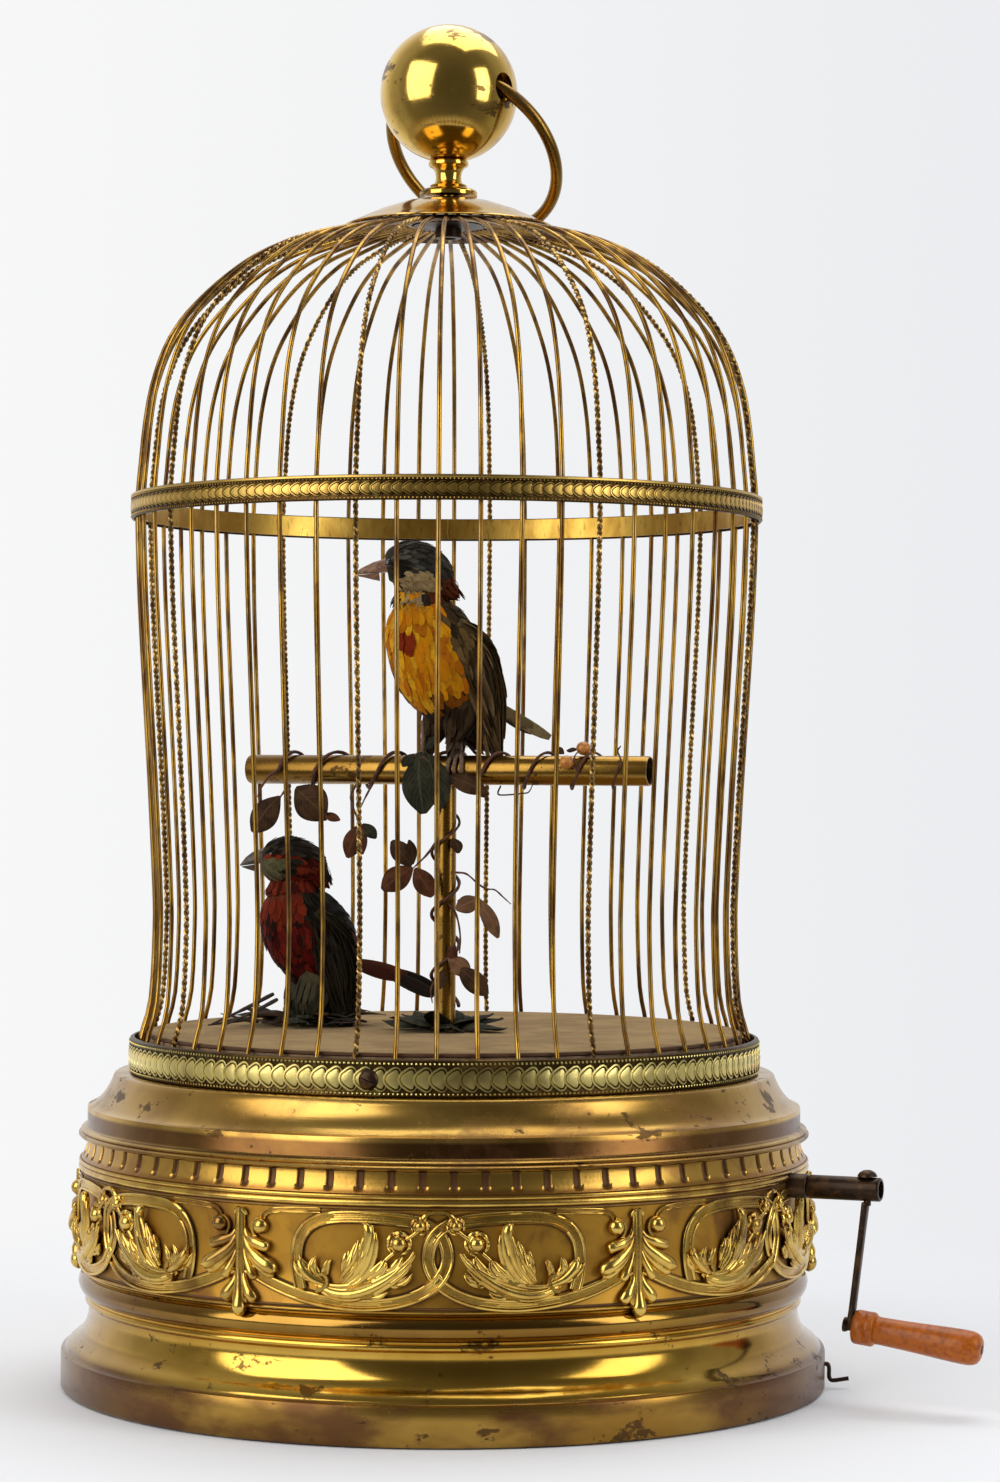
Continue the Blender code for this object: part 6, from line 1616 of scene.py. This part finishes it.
PERCH_FRAME = frame_at((0.0, 0.0, PERCH_Z), PERCH_YAW)
UPPER_STAND = frame_at((-1.0, 2.0, PERCH_Z + PERCH_R), 214.0)
LOWER_STAND = frame_at((*LOWER_BIRD_AT, FELT_Z), 198.0)
UPPER_HEAD = frame_at((-11.777, -5.270, 331.55), 180.0)
LOWER_HEAD = frame_at((-66.609, 27.528, 208.2), 184.0)
UPPER_LOOK = {
    "body": ((-15.0, 11.0, 5.4), (-11.0, 17.0, 11.2), (-6.0, 26.0, 17.0), (0.0, 36.0, 20.5),
             (6.0, 46.0, 19.5), (10.0, 55.0, 17.4), (12.0, 61.5, 14.0), (13.0, 66.3, 9.0)),
    "body_flat": 0.90, "body_colour": upper_body_colour, "slot": "yellow_feather",
    "neck": (13.0, 62.0), "thigh_colour": upper_thigh_colour,
    "thigh": ((1.0, 5.0, 1.6), (-0.5, 9.0, 3.6), (-2.5, 15.0, 7.0), (-5.5, 23.0, 9.0)),
    "wing": ((-15.5, 9.0, 2.4), (-14.0, 19.0, 6.6), (-10.0, 32.0, 9.6), (-3.5, 46.0, 9.0),
             (4.0, 55.5, 3.6)),
    "wing_y": 15.0, "wing_colour": upper_wing_colour,
    "head": ((-12.5, 3.5, 2.8), (-9.5, 6.0, 7.8), (-3.0, 10.0, 11.6), (4.0, 12.5, 12.0),
             (10.0, 13.0, 9.2), (13.5, 12.5, 5.4)),
    "head_flat": 0.86, "head_colour": upper_head_colour, "eye": (12.2, 5.6, 14.2, 1.9),
    "bill": (((9.5, 0, 11.2), (14.0, 0, 11.3), (19.0, 0, 11.0), (24.0, 0, 10.3), (28.0, 0, 9.2)),
             (5.0, 5.2, 3.9, 2.1, 0.35), (16.0, 10.5, -0.085)),
    "under_bill": (((16.8, 0, 10.3), (19.5, 0, 10.0), (23.0, 0, 9.7), (27.0, 0, 9.35)),
                   (3.5, 2.6, 1.4, 0.30), (16.0, 10.25, -0.085)),
    "horn": HORN,
    "tail": (((-19.5, 0.5, 25.8), (-54.5, 1.0, 8.0), 6.0, (0.260, 0.190, 0.085)),
             ((-19.5, 1.8, 25.4), (-44.0, 3.2, 12.6), 4.8, (0.175, 0.125, 0.055)),
             ((-19.5, -1.0, 25.0), (-47.5, -2.4, 10.4), 5.0, (0.085, 0.058, 0.027))),
}
LOWER_LOOK = {
    "body": ((-12.0, 13.0, 8.2), (-9.0, 22.0, 14.0), (-3.0, 34.0, 18.0), (2.0, 41.0, 18.2),
             (5.5, 48.0, 16.8), (7.5, 54.5, 13.6), (8.5, 59.6, 8.8)),
    "body_flat": 0.92, "body_colour": lower_body_colour, "slot": "red_feather",
    "neck": (8.0, 55.5), "thigh_colour": lower_thigh_colour,
    "thigh": ((2.0, 3.5, 3.2), (1.5, 7.0, 6.0), (0.0, 13.0, 8.6), (-3.0, 21.0, 9.6)),
    "wing": ((-11.5, 7.0, 2.6), (-10.5, 17.0, 6.8), (-7.5, 30.0, 9.2), (-3.0, 41.0, 8.6),
             (2.5, 49.0, 3.6)),
    "wing_y": 14.5, "wing_colour": lower_wing_colour,
    "head": ((-11.5, 4.0, 3.6), (-8.5, 7.0, 8.6), (-2.0, 9.5, 10.9), (5.0, 10.5, 10.5),
             (10.5, 10.5, 7.7), (13.5, 10.5, 4.4)),
    "head_flat": 0.88, "head_colour": lower_head_colour, "eye": (8.6, 5.9, 13.6, 1.7),
    "bill": (((8.5, 0, 10.6), (12.5, 0, 10.8), (16.5, 0, 10.5), (19.5, 0, 9.8),
              (22.5, 0, 8.6)), (5.4, 5.3, 4.2, 2.5, 0.35), (15.5, 9.5, -0.14)),
    "under_bill": (((15.4, 0, 9.6), (17.6, 0, 9.2), (19.8, 0, 8.7), (21.8, 0, 8.3)),
                   (3.9, 2.9, 1.6, 0.35), (15.5, 9.2, -0.14)),
    "horn": GREY_HORN,
    "tail": (((-17.4, 0.0, 27.4), (-43.5, 0.6, 20.4), 7.6, (0.100, 0.022, 0.009)),
             ((-17.4, 1.4, 27.0), (-41.0, 2.2, 20.0), 6.0, (0.070, 0.016, 0.008)),
             ((-35.0, 0.0, 23.2), (-58.0, 0.0, 13.4), 8.6, (0.009, 0.006, 0.005)),
             ((-37.0, 1.8, 21.6), (-55.5, 3.4, 12.2), 6.0, (0.018, 0.012, 0.009)),
             ((-35.0, -1.6, 22.4), (-53.0, -2.6, 14.6), 6.0, (0.012, 0.007, 0.006))),
}


def toe(points, thick=0.95, taper=2.6):
    """A scaled toe or leg, and how much of its end tapers to a claw."""
    line = smooth(points, 5)
    last = len(line) - 1
    radii = [max(0.22, thick * (1.0 + 0.10 * math.sin(index * 2.4)) * (
        1.0 - 0.75 * max(0.0, (index - last + taper) / taper))) * MM
        for index in range(last + 1)]
    return [p * MM for p in line], radii


def build_feet():
    """Legs and toes: the upper bird's grip the bar, the lower bird's stand on the leaves."""
    toes = []
    grip = 7.35
    for along in (6.5, -10.5):
        back = 1.0 if along > 0 else 3.5
        toes.append(toe(((along - 2.0, back + 1.5, 21.0), (along - 1.0, back, 14.0),
                         (along, 0.0, grip)), 1.2, 0.1))
        for spread in (-3.0, 0.0, 3.2):
            toes.append(toe([(along + spread * min(1.0, index * 0.45),
                              -grip * math.cos(math.radians(a)),
                              grip * math.sin(math.radians(a)))
                             for index, a in enumerate((90, 62, 34, 6, -20))]))
        toes.append(toe([(along + 0.6, grip * math.cos(math.radians(a)),
                          grip * math.sin(math.radians(a))) for a in (90, 55, 20, -8)]))
    feet = strands(toes, 2)
    piece(placed(feet, PERCH_FRAME), "upper_feet", CLAW, sharp=60)

    toes = []
    for y in (-8.5, 8.5):
        toes.append(toe(((-3.0, y * 0.8, 17.0), (0.5, y, 10.0), (2.0, y, 3.4)), 1.15, 0.1))
        for angle, reach in ((-32, 14), (0, 18), (30, 14), (178, 8)):
            ahead = Vector((math.cos(math.radians(angle)), math.sin(math.radians(angle)), 0.0))
            start = Vector((2.0, y, 3.4))
            toes.append(toe((start, start + ahead * reach * 0.35 + Vector((0, 0, 0.4)),
                             start + ahead * reach * 0.75 - Vector((0, 0, 0.9)),
                             start + ahead * reach - Vector((0, 0, 2.0)))))
    feet = strands(toes, 2)
    piece(placed(feet, LOWER_STAND), "lower_feet", CLAW, sharp=60)


# Perch, vine and leaves

def rounded(points, radius, per_span=5, knots=0.12):
    """A twig through points in millimetres, thicker and thinner along its length."""
    line = smooth(points, per_span)
    last = len(line) - 1
    radii = [radius * MM * (1.0 + knots * math.sin(index * 1.7) + knots * math.sin(index * 0.6))
             * (1.0 - 0.45 * (index / last) ** 3) for index in range(last + 1)]
    return [p * MM for p in line], radii


def leaf(coat, root, tip, width, up=(0.1, -1.0, 0.35), arch=0.08, dome=0.10, wave=0.03,
         matrix=Matrix.Identity(4), twist=0.0):
    """One leaf between two points in millimetres."""
    coat.blade(matrix @ (Vector(root) * MM), matrix @ (Vector(tip) * MM),
               matrix.to_3x3() @ Vector(up), width * MM, lean=1.1, blunt=0.72, dome=dome,
               arch=arch, cells=(14, 6), wave=wave, twist=twist)


BAR_CROSSINGS = (-74.0, -57.0, -28.0, -6.0, 19.5, 40.5, 62.0, 79.0)


def build_perch():
    """The brass bar and post."""
    bar = turned(((0, -91), (4.6, -91), (5.8, -90.7), (PERCH_R, -89.9), (PERCH_R, 90.5),
                  (6.05, 91),
                  (5.6, 91), (5.45, 90.6), (5.45, -89.4), (0, -89.4)), 64, closed=False)
    # Faces nearer the axis than 5.5 mm take the dark bronzed finish: inside the open end this is
    # painted shade in the hollow; the closed end's cap takes it too.
    for face in bar.faces:
        face.material_index = int(face.calc_center_median().xy.length < 5.5 * MM)
    piece(placed(bar, PERCH_FRAME @ SIDEWAYS), "perch_tube", [PERCH_BRASS, BRONZED],
          replaces="perch_bar")
    post = turned(((3.5, 148.3), (4.5, 148.3), (4.5, 196), (4.54, 196.6), (4.5, 197.2),
                   (4.5, 251.95), (3.5, 251.95)), 48)
    piece(post, "perch_stem", PERCH_BRASS, replaces="perch_post")


def build_vine():
    """The vine round the bar and up the post, its twigs, the berries and the hook."""
    path = []
    reach, steps = 7.6, 12
    for first, second in zip(BAR_CROSSINGS, BAR_CROSSINGS[1:]):
        for step in range(steps):
            share = step / steps
            turn = 2 * math.pi * share
            path.append((first + (second - first) * share, -reach * math.cos(turn),
                         reach * math.sin(turn)))
    path.append((BAR_CROSSINGS[-1], -reach, 0.0))
    twigs = [rounded(path, 0.80, 2, 0.08)]
    for points, radius in (
            (((-74, -7.6, 0), (-78, -8.6, -3), (-82, -8.2, -8), (-83, -9.4, -12)), 0.6),
            (((-70, -5, -6.6), (-72, -7, -10), (-73.5, -9, -13)), 0.55),
            (((-61, -5, -6.6), (-60, -7.5, -9.5), (-58.5, -9, -12)), 0.55),
            (((-39, -5.2, -6.2), (-40.5, -7.5, -12), (-37, -9.5, -20), (-33.5, -10, -26)), 0.5),
            (((-31, -5.6, -5.6), (-33, -8.5, -11), (-36, -10, -18)), 0.45),
            (((-9, -7.6, 3), (-7, -8.8, 5.4), (-4, -9.2, 3.2)), 0.5),
            (((3, -7.6, -2.4), (6, -8.6, -4.6), (9, -8.8, -5.6)), 0.45),
            (((62, -7.6, 0.0), (60.5, -8.4, 5.4), (61.6, -4.5, 8.8)), 0.4),
            (((62, -7.6, 0.0), (60, -9.0, 1.6), (58.2, -9.2, 3.2)), 0.4),
            (((79, -7.6, 0), (80.5, -7.4, 4.5), (78.4, -5.2, 8.2), (79.5, -4.4, 10.4)), 0.45)):
        twigs.append(rounded(points, radius))
    piece(placed(strands(twigs, 2), PERCH_FRAME), "perch_vine", VINE_BARK,
          replaces="bar_vine", sharp=70)

    path = []
    reach, turns, steps, pitch = 5.85, 3.5, 55, 26.0
    for step in range(steps + 1):
        run = turns * step / steps
        angle = 2 * math.pi * run
        path.append((reach * math.cos(angle), reach * math.sin(angle), 158.3 + pitch * run))
    twigs = [rounded(path, 0.80, 2, 0.08)]
    for points, radius in (
            (((-4.0, -4.6, 228), (-8, -6.4, 222.5), (-13.6, -7.6, 217)), 0.55),
            (((4.2, -4.6, 215.2), (9, -7, 214.6), (13.8, -8, 210.6), (17.5, -8.4, 208.4),
              (21, -8.6, 208), (24.5, -9, 205), (27.8, -9.2, 202)), 0.42),
            (((5.4, -3, 203), (10, -6, 204.5), (14.6, -7.4, 203.4)), 0.5),
            (((1.5, -5.8, 202), (4.8, -6.8, 197), (6.4, -7.2, 189), (6.2, -6.6, 181)), 0.5),
            (((4.4, -4.8, 184), (3.6, -6.4, 180.5), (1.8, -7.0, 178.6)), 0.5),
            (((-3.0, -5.2, 171), (-5.8, -7.2, 166), (-5.2, -8.2, 160)), 0.45)):
        twigs.append(rounded(points, radius))
    piece(strands(twigs, 2), "post_vine_stem", VINE_BARK, replaces="post_vine",
          sharp=70)

    berries = bmesh.new()
    for place in ((62.4, -2.2, 9.4), (57.2, -8.9, 3.5)):
        merge(berries, ball(3.1, place, 4, (1.0, 0.96, 0.94)))
    piece(placed(berries, PERCH_FRAME), "berries", BERRY_SKIN)
    hook = strands([rounded(((25.5, -2, -6.6), (25.0, -4, -9.6), (27.5, -5, -10.4),
                             (37.0, -5, -9.6), (39.2, -4.6, -8.8), (40.7, -4, -5.6)), 0.36,
                            5, 0.0)], 2)
    piece(placed(hook, PERCH_FRAME), "perch_hook", BRONZED)


def build_leaves():
    """Leaves on the bar and the post, the rosette at its foot, the pile under the bird."""
    dark, brown, dry, tan = Coat(), Coat(), Coat(), Coat()
    bar = PERCH_FRAME
    leaf(dark, (-9.0, -7.6, 7.6), (-6.0, -11.0, -18.5), 17.0, (0.0, -1.0, 0.3), 0.09, matrix=bar)
    leaf(dark, (-5.0, -8.0, 6.5), (2.6, -10.6, -16.0), 13.0, (0.25, -1.0, 0.2), 0.08, matrix=bar,
         twist=0.2)
    leaf(dark, (-12.0, -6.8, 7.0), (-16.0, -10.0, 1.5), 6.0, (-0.2, -1.0, 0.6), matrix=bar)
    leaf(dark, (-8.0, -3.0, 9.0), (-1.5, -6.5, 14.0), 5.5, (0.0, -1.0, 0.6), matrix=bar)
    leaf(brown, (4.0, -8.0, -2.6), (22.0, -9.4, -9.4), 8.5, (0.0, -1.0, 0.4), 0.12, matrix=bar)
    leaf(brown, (15.0, -8.4, -4.6), (21.5, -9.0, -11.4), 4.5, (0.0, -1.0, 0.2), matrix=bar)
    leaf(brown, (-73.0, -8.6, -11.5), (-84.0, -13.0, -27.0), 13.0, (0.1, -1.0, 0.5), matrix=bar)
    leaf(brown, (-66.0, -8.0, -8.0), (-50.0, -11.5, -20.0), 15.5, (0.1, -1.0, 0.3), 0.12,
         matrix=bar, twist=0.15)
    leaf(dry, (-52.0, -10.5, -19.0), (-44.0, -11.0, -21.5), 4.0, matrix=bar)
    leaf(dry, (-34.6, -10.0, -23.0), (-40.0, -12.5, -37.5), 9.0, (0.1, -1.0, 0.2), 0.1, matrix=bar)
    leaf(dry, (-34.6, -10.2, -23.0), (-33.0, -13.0, -36.0), 6.5, (-0.3, -1.0, 0.2), matrix=bar)
    leaf(dark, (-34.0, -10.0, -23.0), (-27.0, -12.0, -29.0), 5.5, (0.2, -1.0, 0.5), matrix=bar)
    leaf(brown, (56.0, -8.6, 7.0), (52.0, -7.6, 9.6), 3.2, matrix=bar)
    leaf(brown, (60.2, -3.4, 8.8), (55.2, -3.2, 8.6), 3.6, (0.0, -0.6, 1.0), matrix=bar)

    leaf(dry, (-13.8, -8.0, 217.4), (-26.6, -11.5, 208.0), 10.5, (0.1, -1.0, 0.3), 0.10)
    leaf(brown, (-14.2, -8.2, 218.0), (-22.6, -10.0, 228.6), 8.6, (0.2, -1.0, -0.2), 0.12)
    leaf(brown, (-13.4, -7.4, 218.6), (-15.2, -10.4, 229.0), 5.0, (0.6, -1.0, 0.0), 0.08)
    leaf(dry, (-12.8, -8.2, 217.0), (-5.4, -10.5, 205.0), 9.2, (-0.1, -1.0, 0.4), 0.12)
    leaf(tan, (15.0, -8.0, 204.2), (4.6, -10.4, 199.8), 8.2, (0.0, -1.0, 0.5), 0.08)
    leaf(tan, (14.4, -8.0, 204.0), (22.6, -11.0, 187.8), 7.0, (0.2, -1.0, 0.3), 0.08)
    leaf(brown, (3.0, -4.8, 229.6), (5.6, -8.2, 223.4), 6.0, (0.5, -1.0, 0.1), 0.2)
    leaf(tan, (1.6, -7.2, 179.2), (10.6, -9.6, 172.2), 8.4, (0.0, -1.0, 0.5), 0.12)
    leaf(brown, (6.0, -9.8, 175.0), (18.2, -12.0, 163.8), 9.6, (0.1, -1.0, 0.3), 0.10)
    leaf(dry, (1.4, -6.6, 184.0), (4.6, -8.2, 178.6), 4.6, (0.0, -1.0, 0.3))
    leaf(brown, (-0.5, -6.4, 174.4), (-2.2, -8.6, 166.0), 5.0, (-0.3, -1.0, 0.2))

    for ring, (count, rise, reach) in enumerate(((7, 0.16, 27.0), (6, 0.42, 17.0))):
        for index in range(count):
            angle = 2 * math.pi * index / count + 3.0 + 0.45 * ring
            out = Vector((math.cos(angle), math.sin(angle), 0.0))
            run = reach * (0.8 + 0.2 * math.sin(2.4 * index))
            root = out * 5.2 + Vector((0, 0, FELT_Z + 1.2 + ring * 0.8))
            tip = root + out * run + Vector((0, 0, run * (rise + 0.10 * math.sin(1.7 * index))))
            leaf(dark, root, tip, 14.5 - 3.0 * ring, (0.0, 0.0, 1.0), 0.05, 0.16, 0.06)
    for _ in range(44):
        angle = CHANCE.uniform(0, 2 * math.pi)
        out = Vector((math.cos(angle), math.sin(angle), 0.0))
        side = Vector((-out.y, out.x, 0.0))
        root = Vector((*LOWER_BIRD_AT, FELT_Z + 1.0)) + out * CHANCE.uniform(4.0, 15.0)
        run = out * CHANCE.uniform(11.0, 19.0) + side * CHANCE.uniform(-7.0, 7.0)
        rise = Vector((0, 0, CHANCE.uniform(0.3, 6.0)))
        leaf(CHANCE.choice((dark, dark, brown)), root + rise * 0.4, root + run + rise,
             CHANCE.uniform(5.5, 11.0), (0.0, 0.0, 1.0), 0.10, 0.14, 0.05)
    piece(tan.close(0.22), "tan_leaves", TAN_LEAF)
    piece(dry.close(0.22), "dry_leaves", DRY_LEAF)
    piece(brown.close(0.22), "brown_leaves", BROWN_LEAF,
          replaces="bird_leaves")
    piece(dark.close(0.22), "dark_leaves", DARK_LEAF, replaces="post_leaves")

    litter = []
    for _ in range(30):
        angle = CHANCE.uniform(0, 2 * math.pi)
        place = Vector((*LOWER_BIRD_AT, FELT_Z + 1.6)) + Vector((
            math.cos(angle), math.sin(angle), 0.0)) * CHANCE.uniform(8.0, 26.0)
        lie = CHANCE.uniform(0, 2 * math.pi)
        run = Vector((math.cos(lie), math.sin(lie), CHANCE.uniform(0.0, 0.32))) * CHANCE.uniform(
            9.0, 21.0)
        litter.append(rounded((place, place + run * 0.5 + jitter(1.2) + Vector((0, 0, 0.8)),
                               place + run), CHANCE.uniform(0.3, 0.6)))
    for points in (((-74, 18, 162), (-86, 8, 156), (-100, 2, 149.6)),
                   ((-72, 12, 160), (-82, 2, 155), (-94, -3, 149.8)),
                   ((-76, 14, 154), (-88, 10, 151), (-101, 6, 149.4)),
                   ((-80, 12, 150.5), (-90, 8, 151.6), (-97, 9, 149.6))):
        litter.append(rounded(points, 0.8))
    piece(strands(litter, 1), "leaf_litter", TWIG, sharp=70)


set_stage()
build_base()
build_gallery()
build_cage()
build_crown()
build_crank()
build_floor()
build_bird("upper", UPPER_STAND, UPPER_HEAD, UPPER_LOOK)
build_bird("lower", LOWER_STAND, LOWER_HEAD, LOWER_LOOK)
build_feet()
build_perch()
build_vine()
build_leaves()
